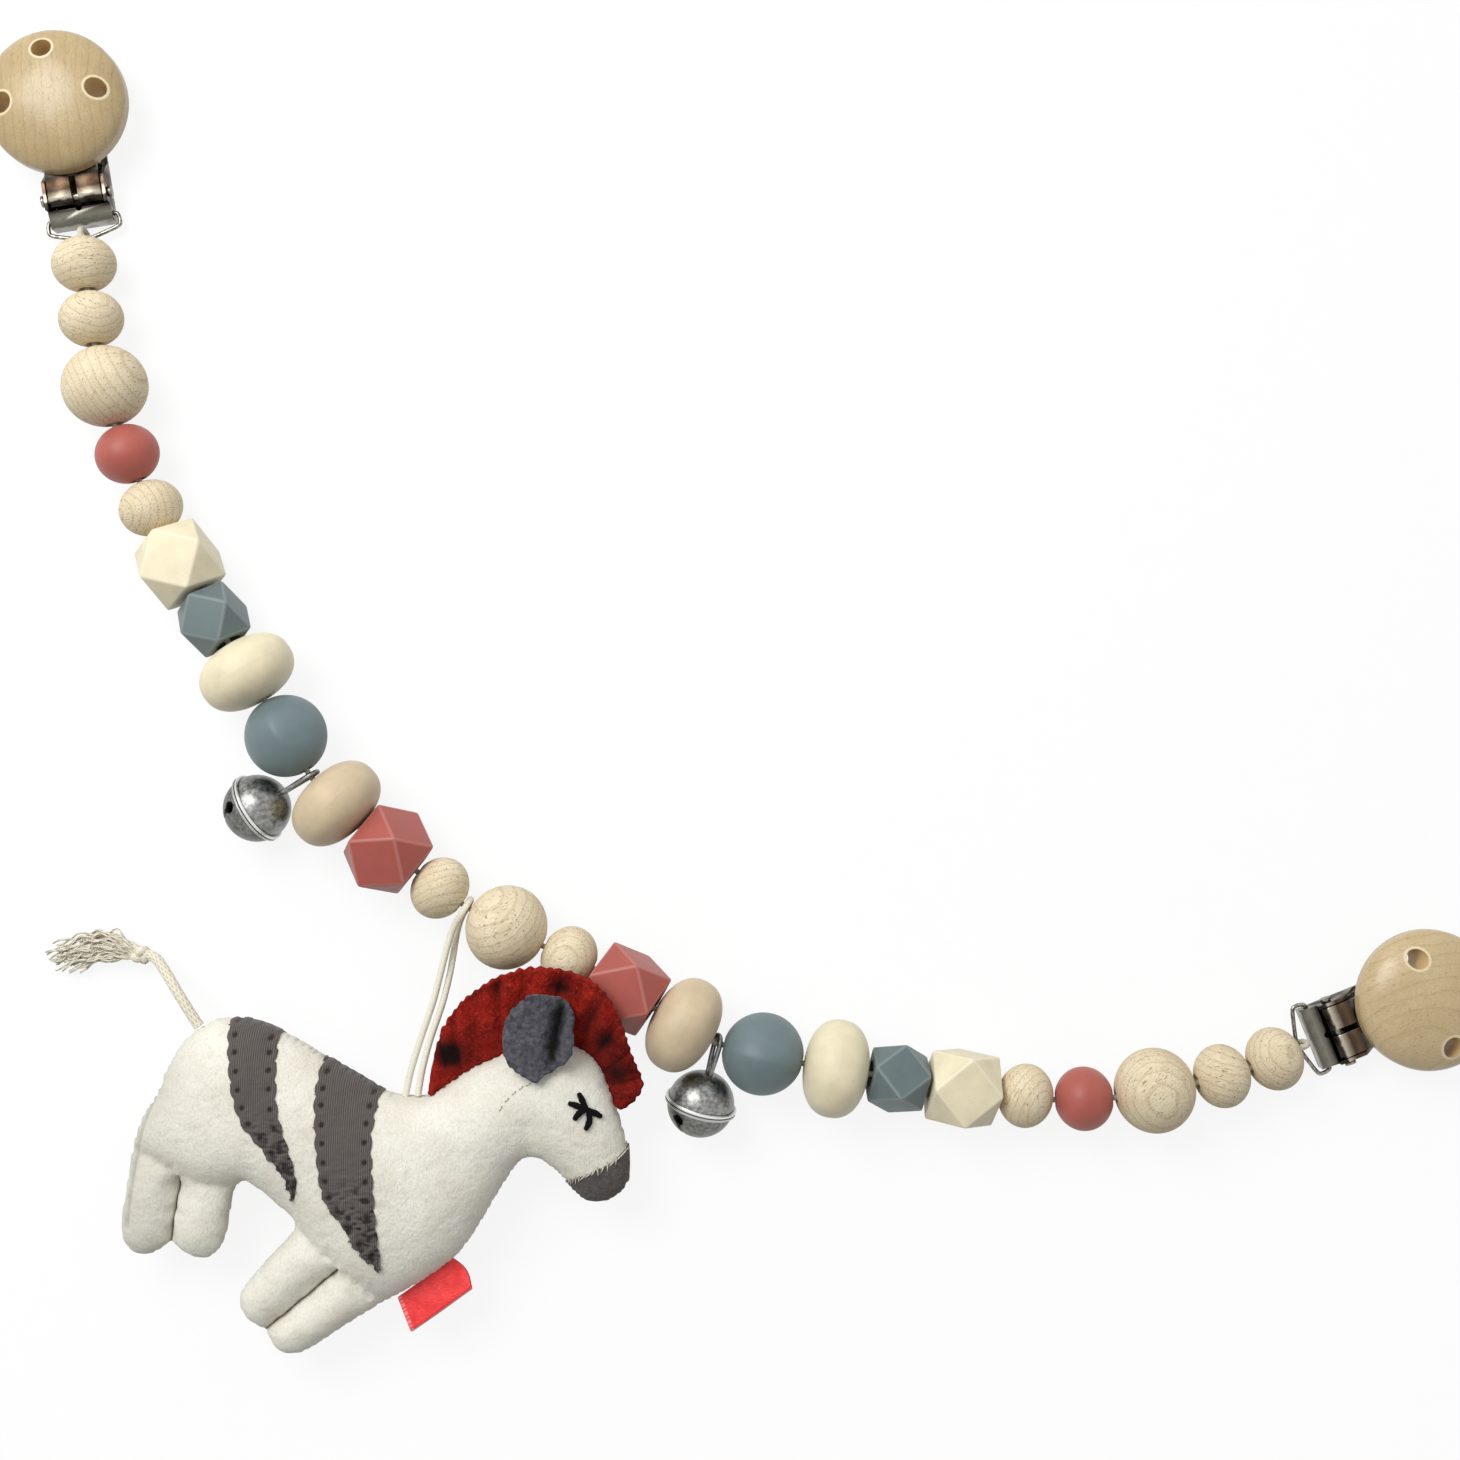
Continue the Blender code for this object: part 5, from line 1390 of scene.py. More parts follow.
def stripe_patch(name, pixels, gather_rows):
    """A stripe, with its stitches drawn in and its narrow end gathered."""
    ring = clockwise(smooth_route([skin_pixel(*pixel) for pixel in pixels + pixels[:1]], 3)[:-1])
    ring, stitches = scalloped(ring, SCALLOP_PITCH, SCALLOP_DEPTH)
    patch = skin_patch(name, ring)
    stitch_tree = tree_of(stitches)
    rim = Line(ring, closed=True)
    top, bottom = (from_photo(PHOTO_MIDDLE, row, SEAM_HEIGHT).y for row in gather_rows)
    lifts, shades_and_stitches = [], []
    for vertex in patch.data.vertices:
        place = vertex.co
        gap = stitch_tree.find((place.x, place.y, 0))[2]
        pull = fade(gap, STITCH_REACH) + 0.35 * fade(gap, 3 * STITCH_REACH)
        gather = min(1.0, max(0.0, (top - place.y) / (top - bottom)))
        fold = noise.noise(Vector([value / size for value, size in zip(place, GATHER_SIZE)]))
        edge = exp(-rim.nearest(place)[0] / STITCH_REACH)
        lift = STRIPE_LIFT * (1 - 0.5 * edge) - STITCH_DEPTH * pull * 0.8
        lifts.append(lift + GATHER_DEPTH * gather * (0.4 + fold) + 0.00012 * fold)
        # Darker at each stitch, where the cloth is drawn in, and painted shade in the folds of the gathered end.
        shades_and_stitches.append(min(1.0, 1.2 * pull + gather * (0.25 + max(0.0, -2.4 * fold))))
    store_share(patch, "crease", shades_and_stitches)
    return layer(patch, [max(lift, STRIPE_LOWEST) for lift in lifts], STRIPE_CLOTH), len(stitches)


rear_stripe, rear_count = stripe_patch("stripe_rear", REAR_STRIPE, REAR_GATHER_ROWS)
front_stripe, front_count = stripe_patch("stripe_front", FRONT_STRIPE, FRONT_GATHER_ROWS)
print("stitches:", rear_count, front_count, "faces:", len(front_stripe.data.polygons))

# %% Ribbed jersey finish
RIB_WIDTH = 0.5


def ribbed_finish(name, pale, dark, thread):
    material, tree = finish(name, 0.92, Sheen_Weight=0.2, Sheen_Roughness=0.5)
    place = millimetres(tree)
    bend = {"Distortion": 1.2, "Detail": 2.0, "Detail_Scale": 1.0}
    bent = wave_bands(tree, place, RIB_WIDTH, "BANDS", "SIN", bands_direction="X", **bend)
    loops = speckle(tree, millimetres(tree, None, (1, 2.4, 1)), 0.5, 2)
    knit = times(tree, bent, combine(tree, "ADD", loops, 0.5))
    base = lay(tree, paint(*dark), knit, (0.1, 0.0), (0.9, 1.0), pale)
    fluff = speckle(tree, place, 3.5, 3)
    base = lay(tree, base, fluff, (0.5, 0.0), (0.8, 0.5), dark)
    # Darker at the stitches, and painted shade in the gathered folds.
    crease = stored(tree, "crease")
    base = lay(tree, base, crease, (0.25, 0.0), (0.8, 1.0), thread)
    colour_by(tree, base)
    relief(tree, (knit, 0.16, 0.7))
    return material


ribbed_jersey = ribbed_finish("ribbed_jersey", (102, 95, 91), (72, 65, 63), (34, 24, 20))
dress(rear_stripe, ribbed_jersey, "zebra", ["zebra_stripe_rear"])
dress(front_stripe, ribbed_jersey, "zebra", ["zebra_stripe_front"])

# %% [markdown]
# ## Felt: muzzle and ears
#
# The muzzle is a cap of grey felt over the nose, caught down with small pale stitches. It is a
# layer of the skin, like the stripes. Each ear is a leaf of the same felt, doubled over one edge so
# that a deep fold runs up it, and sewn to the head at its pointed end. It is cut flat as the skin
# was, then bent by moving its points, since a fold this tight would be lost in a simulation.

# %% Felt finish
def felt_finish(name, pale, dark, warm):
    gloss = {"Sheen_Weight": 0.12, "Sheen_Roughness": 0.5, "Specular_IOR_Level": 0.2}
    material, tree = finish(name, 0.95, **gloss)
    place = millimetres(tree)
    clumps = speckle(tree, place, 1.1, 4, 0.6, 0.6)
    fibres = speckle(tree, place, 0.25, 3, 0.7)
    patches = speckle(tree, place, 4.0, 2)
    base = lay(tree, paint(*dark), clumps, (0.30, 0.0), (0.68, 1.0), pale)
    base = lay(tree, base, patches, (0.45, 0.0), (0.75, 0.55), warm)
    base = lay(tree, base, fibres, (0.30, 0.45), (0.55, 0.0), dark)
    # Painted shade in the ear's fold and in the dips of the felt.
    base = mix(tree, stored(tree, "crease"), base, tone(dark, 0.14))
    colour_by(tree, base)
    relief(tree, (clumps, 0.60, 0.8), (fibres, 0.20, 0.7))
    return material


muzzle_felt = felt_finish("muzzle_felt", (116, 111, 108), (77, 71, 69), (100, 85, 73))
ear_felt = felt_finish("ear_felt", (106, 106, 114), (52, 52, 59), (86, 86, 90))

# %% Muzzle
MUZZLE_OUTLINE = (
    (565, 1181), (578, 1178), (591, 1173), (604, 1167), (616, 1159), (628, 1145), (642, 1138),
    (648, 1165), (640, 1197), (618, 1216), (588, 1216), (566, 1204), (555, 1190),
)
MUZZLE_LIFT = 0.00035
muzzle_ring = clockwise(smooth_route([skin_pixel(*pixel) for pixel in MUZZLE_OUTLINE], 3))
muzzle = skin_patch("muzzle_cap", muzzle_ring)
felt_lumps = [noise.noise(vertex.co / 0.0013) for vertex in muzzle.data.vertices]
# Painted shade in the dips between the felt's lumps.
store_share(muzzle, "crease", [max(0.0, -0.7 * lump - 0.25) for lump in felt_lumps])
layer(muzzle, [MUZZLE_LIFT * (1 + 0.15 * lump) for lump in felt_lumps], STRIPE_CLOTH)
dress(muzzle, muzzle_felt, "zebra", ["zebra_muzzle"])
print("muzzle faces:", len(muzzle.data.polygons))

# %% Ears
EAR_OUTLINE = (
    (535, 1081), (522, 1074), (508, 1063), (503, 1046), (504, 1028), (509, 1014), (523, 999),
    (534, 993), (552, 995), (566, 1002), (574, 1014), (574, 1034), (573, 1052), (560, 1066),
    (547, 1073),
)
EAR_BASE, EAR_TIP = (535, 1080), (545, 993)
EAR_ROOT_HEIGHT, EAR_TIP_HEIGHT = 0.0252, 0.0228
EAR_CELL = 0.0005
EAR_FELT = 0.0010
EAR_HALF_WIDTH = 0.0084
EAR_FOLD_SHARE, EAR_FOLD_WIDE, EAR_FOLD_DEPTH = 0.51, 0.24, 0.0034
EAR_LIP_ASIDE, EAR_LIP_WIDE, EAR_LIP_RISE = 0.44, 0.2, 0.0018
EAR_CROWN = 0.0009
EAR_FRAY, EAR_FRAY_SIZE = 0.0005, 0.0010
EAR_FRAY_SEED = 31
LOWER_EAR_SIZE = 0.84


def ear(name, size, upper):
    """A felt leaf with a deep fold, on the upper flank or mirrored on the lower one."""
    noise.seed_set(EAR_FRAY_SEED)
    ring = []
    for spot in flat_ring(EAR_OUTLINE, EAR_TIP_HEIGHT, 8):
        ragged = noise.noise_vector(spot / EAR_FRAY_SIZE) * EAR_FRAY
        ring.append(spot + Vector((ragged.x, ragged.y, 0)))
    leaf = cut_cloth(name, ring, Line(ring, closed=True), EAR_CELL)
    base = from_photo(*EAR_BASE, EAR_TIP_HEIGHT)
    tip = from_photo(*EAR_TIP, EAR_TIP_HEIGHT)
    way = (tip - base).normalized()
    length = (tip - base).length
    side = Vector((way.y, -way.x, 0))
    shades_and_stitches = []
    for vertex in leaf.data.vertices:
        step = vertex.co - base
        along = step.dot(way) / length
        across = step.dot(side) / EAR_HALF_WIDTH
        grown = min(1.0, max(0.0, along * 2.5))
        fold_at = EAR_FOLD_SHARE - 0.18 * (1 - along) + 0.05 * noise.noise(vertex.co / 0.0016)
        fold = fade(across - fold_at, EAR_FOLD_WIDE) * grown
        fold *= min(1.0, max(0.0, 5 * (1 - along)))
        lip = fade(across - fold_at - EAR_LIP_ASIDE, EAR_LIP_WIDE) * grown
        crown = EAR_CROWN * (1 - (across + 0.25) ** 2) * grown
        lumps = noise.noise(vertex.co / 0.0032) * 0.0006 + noise.noise(vertex.co / 0.0011) * 0.00032
        height = EAR_ROOT_HEIGHT + (EAR_TIP_HEIGHT - EAR_ROOT_HEIGHT) * min(1.0, along * 1.6)
        vertex.co.z = height + crown + lumps - EAR_FOLD_DEPTH * fold + EAR_LIP_RISE * lip
        # Painted shade: darkest in the deep fold, and in the dips of the felt.
        shades_and_stitches.append(min(1.0, 2.8 * fold**2.4 + max(0.0, -0.7 * noise.noise(vertex.co / 0.0011))))
    store_share(leaf, "crease", shades_and_stitches)
    modify(leaf, "SOLIDIFY", thickness=EAR_FELT, offset=0)
    modify(leaf, "SUBSURF", levels=1, render_levels=1)
    if not upper:
        flip = Matrix.Translation((0, 0, 2 * SEAM_HEIGHT)) @ Matrix.Diagonal((1, 1, -1, 1))
        shrink = Matrix.Translation(base) @ Matrix.Scale(size, 4) @ Matrix.Translation(-base)
        leaf.data.transform(shrink)
        leaf.data.transform(flip)
        face_outwards(leaf)
    return soft_shading(leaf, 70)


upper_ear = ear("ear_upper", 1.0, True)
lower_ear = ear("ear_lower", LOWER_EAR_SIZE, False)
dress(upper_ear, ear_felt, "zebra", ["zebra_ear_upper"])
dress(lower_ear, ear_felt, "zebra", ["zebra_ear_lower"])
print("ear faces:", len(upper_ear.data.polygons))

# %% [markdown]
# ## Mane
#
# The mane is a fan of red cloth, pinked along its free edge and gathered where it is sewn into the
# neck seam, so that folds run out from the seam like spokes. It could be a simulated strip, but the
# photograph shows where its deep folds are. The sheet is therefore worked out as rows from the
# seam to the free edge: each row is raised and lowered by the folds, more and more as it goes out.

# %% Mane
MANE_EDGE = (
    (430, 1094, 0.6), (435, 1057, 1.4), (441, 1033, 2.4), (449, 1018, 3.6), (463, 1000, 4.8),
    (482, 986, 5.9), (500, 976, 6.6), (522, 969, 6.9), (543, 967, 7.1), (563, 970, 7.6),
    (584, 977, 8.3), (598, 987, 9.0), (611, 1003, 9.3), (620, 1022, 9.1), (627, 1043, 8.2),
    (634, 1063, 6.8), (642, 1083, 5.0), (637, 1097, 4.0), (622, 1107, 3.4),
)
MANE_ROOT = (
    (433, 1093), (438, 1089), (447, 1084), (457, 1078), (467, 1071), (482, 1063), (498, 1056),
    (512, 1051), (526, 1047), (540, 1045), (556, 1044), (571, 1045), (583, 1050), (592, 1057),
    (599, 1066), (604, 1075), (607, 1084), (611, 1094), (616, 1105),
)
MANE_PITS = (
    (449, 1056, 0.0034, 0.0032, 1.5), (497, 990, 0.0030, 0.0016, 0.7), (563, 987, 0.0024, 0.0034, 0.9),
    (607, 1040, 0.0032, 0.0026, 0.8), (590, 1017, 0.0040, 0.0020, 0.5), (618, 1073, 0.0030, 0.0028, 0.6),
    (470, 1046, 0.0060, 0.0012, 0.3),
)
MANE_STEPS, MANE_ROWS = 12, 22
PINK_PITCH, PINK_DEPTH, FRAY_SIZE = 0.0024, 0.0008, 0.0007
MANE_CLOTH = 0.0013
MANE_FOLDS, MANE_FOLD_DEPTH = 13, 0.0008
PIT_DEPTH = 0.0017
MANE_CROWN = 0.0016
MANE_SHADE, MANE_SHADE_FROM = 0.45, 0.55


def mane_sheet(name):
    """The rows of the mane from its seam to its pinked edge, and how deep each point is folded."""
    edge = [from_photo(column, row, SEAM_HEIGHT + rise * MM) for column, row, rise in MANE_EDGE]
    root = [from_photo(column, row, SEAM_HEIGHT) for column, row in MANE_ROOT]
    edge, root = smooth_route(edge, MANE_STEPS), smooth_route(root, MANE_STEPS)
    pits = [(from_photo(*pit[:2], SEAM_HEIGHT + 5 * MM), *pit[2:]) for pit in MANE_PITS]
    points, faces, shades_and_stitches = [], [], []
    reached = 0.0
    for index, (outer, inner) in enumerate(zip(edge, root)):
        reached += (outer - edge[index - 1]).length if index else 0
        tooth = abs((reached / PINK_PITCH) % 1 * 2 - 1) - 0.5
        tooth += 0.5 * noise.noise(outer / FRAY_SIZE)
        outer = outer + (outer - inner).normalized() * PINK_DEPTH * tooth
        turn_share = index / (len(edge) - 1)
        wander = noise.noise(Vector((turn_share * 9, 0, 3)))
        spoke = (outer - inner).xy.normalized()
        for row in range(MANE_ROWS + 1):
            out = row / MANE_ROWS
            spot = inner.lerp(outer, out)
            wave = cos(tau * MANE_FOLDS * turn_share + 2.2 * wander + 1.1 * out)
            lump = noise.noise(spot / 0.0042)
            pit = 0.0
            for place, long, wide, strength in pits:
                step = (spot - place).xy
                along, across = step.dot(spoke), step.x * spoke.y - step.y * spoke.x
                pit += strength * exp(-((along / long) ** 2) - (across / wide) ** 2)
            swell = MANE_CROWN * sin(pi * min(1.0, out * 1.1)) ** 0.8
            depth = MANE_FOLD_DEPTH * wave * out**0.7 * (0.6 + 0.6 * lump) - PIT_DEPTH * pit
            spot.z += swell + depth + 0.0007 * lump * out
            points.append(spot)
            # Painted shade in the pits and fold valleys, and more of it towards the end of the mane by the head.
            crease = 1.05 * pit + max(0.0, -wave) ** 3 * 0.35 * (0.4 + abs(lump))
            crease += MANE_SHADE * max(0.0, turn_share - MANE_SHADE_FROM) / (1 - MANE_SHADE_FROM)
            shades_and_stitches.append(min(1.0, crease))
    column = MANE_ROWS + 1
    for index in range(len(edge) - 1):
        for row in range(MANE_ROWS):
            start = index * column + row
            faces.append((start, start + 1, start + column + 1, start + column))
    sheet = mesh_piece(name, points, faces)
    store_share(sheet, "crease", shades_and_stitches)
    modify(sheet, "SOLIDIFY", thickness=MANE_CLOTH, offset=0)
    face_outwards(sheet)
    modify(sheet, "SUBSURF", levels=1, render_levels=1)
    return soft_shading(sheet, 60), reached


mane, mane_length = mane_sheet("mane")


def mane_finish(name, red, light, dark):
    gloss = {"Sheen_Weight": 0.05, "Sheen_Roughness": 0.4, "Specular_IOR_Level": 0.2}
    material, tree = finish(name, 0.95, Sheen_Tint=paint(*light), **gloss)
    place = millimetres(tree)
    crush = speckle(tree, place, 2.6, 4, 0.6, 0.8)
    shadows = speckle(tree, place, 6.5, 3, 0.5, 0.5)
    weave = speckle(tree, millimetres(tree, None, (1, 0.6, 1)), 0.42, 3, 0.75, 0.3)
    base = lay(tree, paint(*red), crush, (0.35, 0.0), (0.72, 1.0), light)
    base = lay(tree, base, shadows, (0.50, 0.0), (0.72, 0.75), dark)
    base = lay(tree, base, weave, (0.30, 0.8), (0.52, 0.0), dark)
    base = lay(tree, base, weave, (0.60, 0.0), (0.75, 0.8), (206, 104, 70))
    # Painted shade in the mane's pits and folds.
    base = mix(tree, stored(tree, "crease"), base, tone(dark, 0.22))
    colour_by(tree, base)
    relief(tree, (weave, 0.3, 0.8), (crush, 0.8, 0.6))
    return material


mane_cloth = mane_finish("mane_cloth", (134, 14, 10), (172, 42, 26), (78, 4, 4))
dress(mane, mane_cloth, "zebra", ["zebra_mane"])
print("mane edge:", round(mane_length, 3), "m, faces:", len(mane.data.polygons))

# %% [markdown]
# ## Needlework
#
# The closed eye is five strokes of thick black thread. Each is a short cord, thin at its ends and
# thick in the middle, laid on the cloth by dropping its points onto the skin. The muzzle's edge is
# caught with pale stitches, and a few show on the neck. All are made by one function, which lays
# a stitch on the surface and makes its ends thin.

# %% Stitches
EYE_STROKES = (
    ((578, 1093), (582, 1101), (586, 1110)),
    ((568, 1103), (577, 1106), (586, 1111)),
    ((574, 1120), (578, 1114), (585, 1110)),
    ((601, 1117), (594, 1113), (585, 1109)),
    ((585, 1130), (589, 1121), (588, 1111)),
)
EYE_THREAD = 0.0016
NECK_STITCHES = (((512, 1095), (516, 1091)), ((519, 1090), (523, 1086)), ((526, 1086), (531, 1083)),
                 ((499, 1111), (502, 1106)), ((505, 1102), (509, 1098)))
SEWING_THREAD, FINE_THREAD = 0.00034, 0.0003
STITCH_TURN = 0.55
MUZZLE_STITCHES = 20
MUZZLE_STITCH_HALF = 0.0011


def tapered(length, twist):
    """A section that is round in the middle of a stitch and thin at its ends."""
    def section(angle, reached):
        share = min(1.0, max(0.0, reached / length))
        return (0.45 + 0.55 * sin(pi * share) ** 0.4) * (1 - twist * abs(sin(angle + reached / 0.0006)))
    return section


def stitch(name, places, thickness, upper=True, lift=0.25):
    """A thread laid on the skin through these places, or nothing where they miss the skin."""
    route = []
    for place in even_route(places, max(thickness / 2, 0.0003)):
        found = on_skin(place, upper)
        if found:
            route.append(found[0] + found[1] * thickness * lift)
    if len(route) < 3:
        return None
    length = route_length(route)
    return cord_shape(name, route, thickness, tapered(length, 0.12), thickness / 6, 12)


def joined(name, pieces):
    """Several small pieces as one object."""
    pieces = [piece for piece in pieces if piece]
    only(pieces[0])
    for piece in pieces:
        piece.select_set(True)
    bpy.ops.object.join()
    pieces[0].name = pieces[0].data.name = name
    return pieces[0]


eye_black, tree = finish("eye_thread", 0.9, Specular_IOR_Level=0.15)
twill = speckle(tree, millimetres(tree, "grain_place", (1, 3, 1)), 0.3, 3)
colour_by(tree, ramp(tree, twill, (0.3, paint(2, 2, 2)), (0.7, paint(15, 14, 15))))
relief(tree, (twill, 0.08, 0.6))
sewing_cotton = cotton_cord_finish("sewing_cotton", (246, 242, 228), (205, 196, 172))
hand = Random(17)
for upper, flank in ((True, "upper"), (False, "lower")):
    strokes = []
    for count, stroke in enumerate(EYE_STROKES):
        places = smooth_route([skin_pixel(*pixel) for pixel in stroke], 4)
        strokes.append(stitch(f"eye {flank} {count}", places, EYE_THREAD, upper))
    dress(joined(f"eye_{flank}", strokes), eye_black, "zebra")
    threads = []
    for count, ends in enumerate(NECK_STITCHES):
        places = [skin_pixel(*pixel) for pixel in ends]
        threads.append(stitch(f"neck {flank} {count}", places, SEWING_THREAD, upper, 0.5))
    border = even_route(smooth_route([skin_pixel(*pixel) for pixel in MUZZLE_OUTLINE[:6]], 4), 0.0002)
    for count in range(MUZZLE_STITCHES):
        spot = border[int((count + 0.5) / MUZZLE_STITCHES * (len(border) - 1))]
        way = Vector((0.35, 1, 0)).normalized() * MUZZLE_STITCH_HALF * hand.uniform(0.6, 1.15)
        lean = Vector((way.y, -way.x, 0)) * hand.uniform(-STITCH_TURN, STITCH_TURN)
        places = [spot - way - lean, spot + way * 0.8 + lean]
        threads.append(stitch(f"muzzle {flank} {count}", places, FINE_THREAD, upper, 1.6))
    dress(joined(f"stitches_{flank}", threads), sewing_cotton, "zebra")
print("needlework done")

# %% [markdown]
# ## Label
#
# A short red satin ribbon is folded in two and caught in the belly seam. It is plain. The ribbon
# is one strip of points: out along the upper layer, round the fold and back along the lower one,
# with a little bow across it, and Solidify gives it a thickness.

# %% Label
LABEL_CORNERS = ((398, 1297), (453, 1258), (470, 1287), (411, 1329))
LABEL_FOLD = 0.0009
LABEL_CLOTH = 0.00035
LABEL_BOW = 0.0006
LABEL_SIDE_BOW = 0.0012
LABEL_TURN_STEPS = 8
LABEL_COLUMNS, LABEL_ROWS = 40, 20


def folded_ribbon(name):
    sewn_1, sewn_2, free_2, free_1 = (from_photo(*pixel, SEAM_HEIGHT) for pixel in LABEL_CORNERS)
    width = (sewn_2 - sewn_1).length
    length = (free_1 - sewn_1).length
    shares = [row / LABEL_ROWS for row in range(LABEL_ROWS + 1)]
    strip = [(share, 1.0) for share in shares]
    strip += [(1.0, cos(pi * step / LABEL_TURN_STEPS)) for step in range(1, LABEL_TURN_STEPS)]
    strip += [(share, -1.0) for share in reversed(shares)]
    points, faces, marks = [], [], []
    for out, side in strip:
        start, end = sewn_1.lerp(free_1, out), sewn_2.lerp(free_2, out)
        bulge = LABEL_FOLD * (1 - abs(side)) * 0.6
        for column in range(LABEL_COLUMNS + 1):
            share = column / LABEL_COLUMNS
            spot = start.lerp(end, share) + (free_1 - sewn_1).normalized() * bulge
            spot += (end - start).normalized() * LABEL_SIDE_BOW * sin(pi * out * 0.9) * share**4
            open_by = LABEL_FOLD * (0.35 + 0.65 * out) * side
            bow = LABEL_BOW * sin(pi * share) * out + 0.0003 * noise.noise(spot / 0.005)
            points.append(spot + Vector((0, 0, open_by + bow)))
            marks.append(1.0 if share < 0.07 and (out * length / MM) % 1.0 < 0.6 else 0.0)
    across = LABEL_COLUMNS + 1
    for row in range(len(strip) - 1):
        for column in range(LABEL_COLUMNS):
            start = row * across + column
            faces.append((start, start + across, start + across + 1, start + 1))
    ribbon = mesh_piece(name, points, faces)
    store_share(ribbon, "crease", marks)
    modify(ribbon, "SOLIDIFY", thickness=LABEL_CLOTH, offset=0)
    face_outwards(ribbon)
    middle_line = [points[row * across + LABEL_COLUMNS // 2] for row in range(len(strip))]
    return soft_shading(ribbon, 60), width, route_length(middle_line)


label, label_width, label_length = folded_ribbon("side_label")
red_satin, tree = finish("red_satin", 0.45, Sheen_Weight=0.2, Coat_Weight=0.1)
place = millimetres(tree)
threads = speckle(tree, millimetres(tree, None, (0.3, 1, 1)), 0.28, 2)
cloud = speckle(tree, place, 3.0, 2)
base = lay(tree, paint(234, 30, 36), threads, (0.3, 0.0), (0.7, 1.0), (255, 70, 68))
base = lay(tree, base, cloud, (0.42, 0.0), (0.70, 0.7), (222, 12, 18))
sewn = stored(tree, "crease")
base = mix(tree, times(tree, sewn, 0.6), base, paint(255, 176, 170))
colour_by(tree, base)
relief(tree, (threads, 0.06, 0.5))
dress(label, red_satin, "zebra", ["zebra_label"])
print("label", round(label_width / MM, 1), "mm wide,", round(label_length / MM, 1), "mm long flat")

# %% [markdown]
# ## Knot and tassel
#
# The tail's cord is knotted and its end is combed out. The knot is a loop that goes round three
# times while it goes round itself twice. Beyond it some sixty loose yarns spread and wave, each a
# thin tube from the knot to the tassel's ragged end.

# %% Knot and tassel
KNOT_PIXEL = (141, 955)
KNOT_RISE = 0.0041
KNOT_SIZE = 0.00052
KNOT_CORD = 0.0020
KNOT_STEPS = 60
YARNS, YARN_DIAMETER, YARN_SIDES = 60, 0.00058, 6
YARN_POINTS = 14
TASSEL_LENGTH, TASSEL_SPREAD = 0.0225, 0.0046
TASSEL_END = 0.0012

knot_place = from_photo(*KNOT_PIXEL, KNOT_RISE)
knot_turn = Matrix.Rotation(radians(25), 4, "Z") @ Matrix.Rotation(radians(20), 4, "X")
knot_route = []
for step in range(KNOT_STEPS + 1):
    turn = tau * step / KNOT_STEPS
    spot = Vector((sin(turn) + 2 * sin(2 * turn), cos(turn) - 2 * cos(2 * turn), -1.3 * sin(3 * turn)))
    knot_route.append(knot_place + knot_turn @ (spot * KNOT_SIZE))
knot = cord_shape("tail_knot", knot_route, KNOT_CORD, braided(8, 0.0042, 0.11))
dress(knot, tail_cotton, "zebra")

draw = Random(31)
yarns = []
for count in range(YARNS):
    around = draw.uniform(0, tau)
    out = draw.uniform(0.15, 1.0)
    reach = TASSEL_LENGTH * draw.uniform(0.62, 1.06) * (1.08 - 0.25 * out)
    waves, phase, size = draw.uniform(1.5, 3.5), draw.uniform(0, tau), draw.uniform(0.0002, 0.0007)
    route = []
    for step in range(YARN_POINTS):
        share = step / (YARN_POINTS - 1)
        fan = sin(pi / 2 * min(1.0, share * 1.7)) ** 0.8
        aside = TASSEL_SPREAD * out * fan * cos(around) + size * sin(phase + tau * waves * share)
        height = KNOT_RISE * (1 - share) + TASSEL_END * share + 0.0004
        height += 0.0017 * out * fan * (0.6 + sin(around)) * (1 - 0.4 * share)
        height += size * 0.6 * cos(phase + tau * waves * share)
        bend = 0.0026 * sin(pi * share)
        route.append(
            knot_place + Vector((-0.0006 - reach * share, aside * 0.95 + bend - 0.0005 * share, 0))
        )
        route[-1].z = max(height, 0.0005)
    yarns.append(
        cord_shape(f"yarn {count}", route, YARN_DIAMETER, twisted(2, 0.0012, 0.25), 0.0005, YARN_SIDES)
    )
tassel = joined("tail_tassel", yarns)
dress(tassel, tail_cotton, "zebra", ["zebra_tail_tassel"])
print("tassel faces:", len(tassel.data.polygons))

# %% [markdown]
# ## Thread
#
# One waxed cord runs through every bead. Each bead swings by itself, so a single tube would bend
# through the wood. The cord is therefore cut in the middle of each gap, where the joints are, and
# each stretch rides with its own bead. The last stretch of each arm goes over the clip's wire.

# %% Where each clip lies
PIN_HEIGHT = 0.0050
WIRE_HEIGHT, WIRE_PIVOT, WIRE_TIP = 0.0025, 0.0046, 0.0096
WIRE_DIAMETER = 0.0010
SIDES = ("left", "right")


def clip_place(side):
    """The clip's own frame: X from the chain to the disc, and Z zero at the table."""
    pin = joint_place(f"{side}_lever_open")
    ahead = pin - joint_place(f"{side}_wire_swing")
    turn_to = Matrix.Rotation(atan2(ahead.y, ahead.x), 4, "Z")
    return Matrix.Translation((pin.x, pin.y, 0)) @ turn_to


# %% Stretches of thread
THREAD_OVERLAP = 0.0002
THREAD_TUCK = 0.0002
TIE_CLEARANCE = 0.0003 * 1.4
TIE_ANGLES = (10, -17, -44, -71, -98, -125, -152, -178, -205)


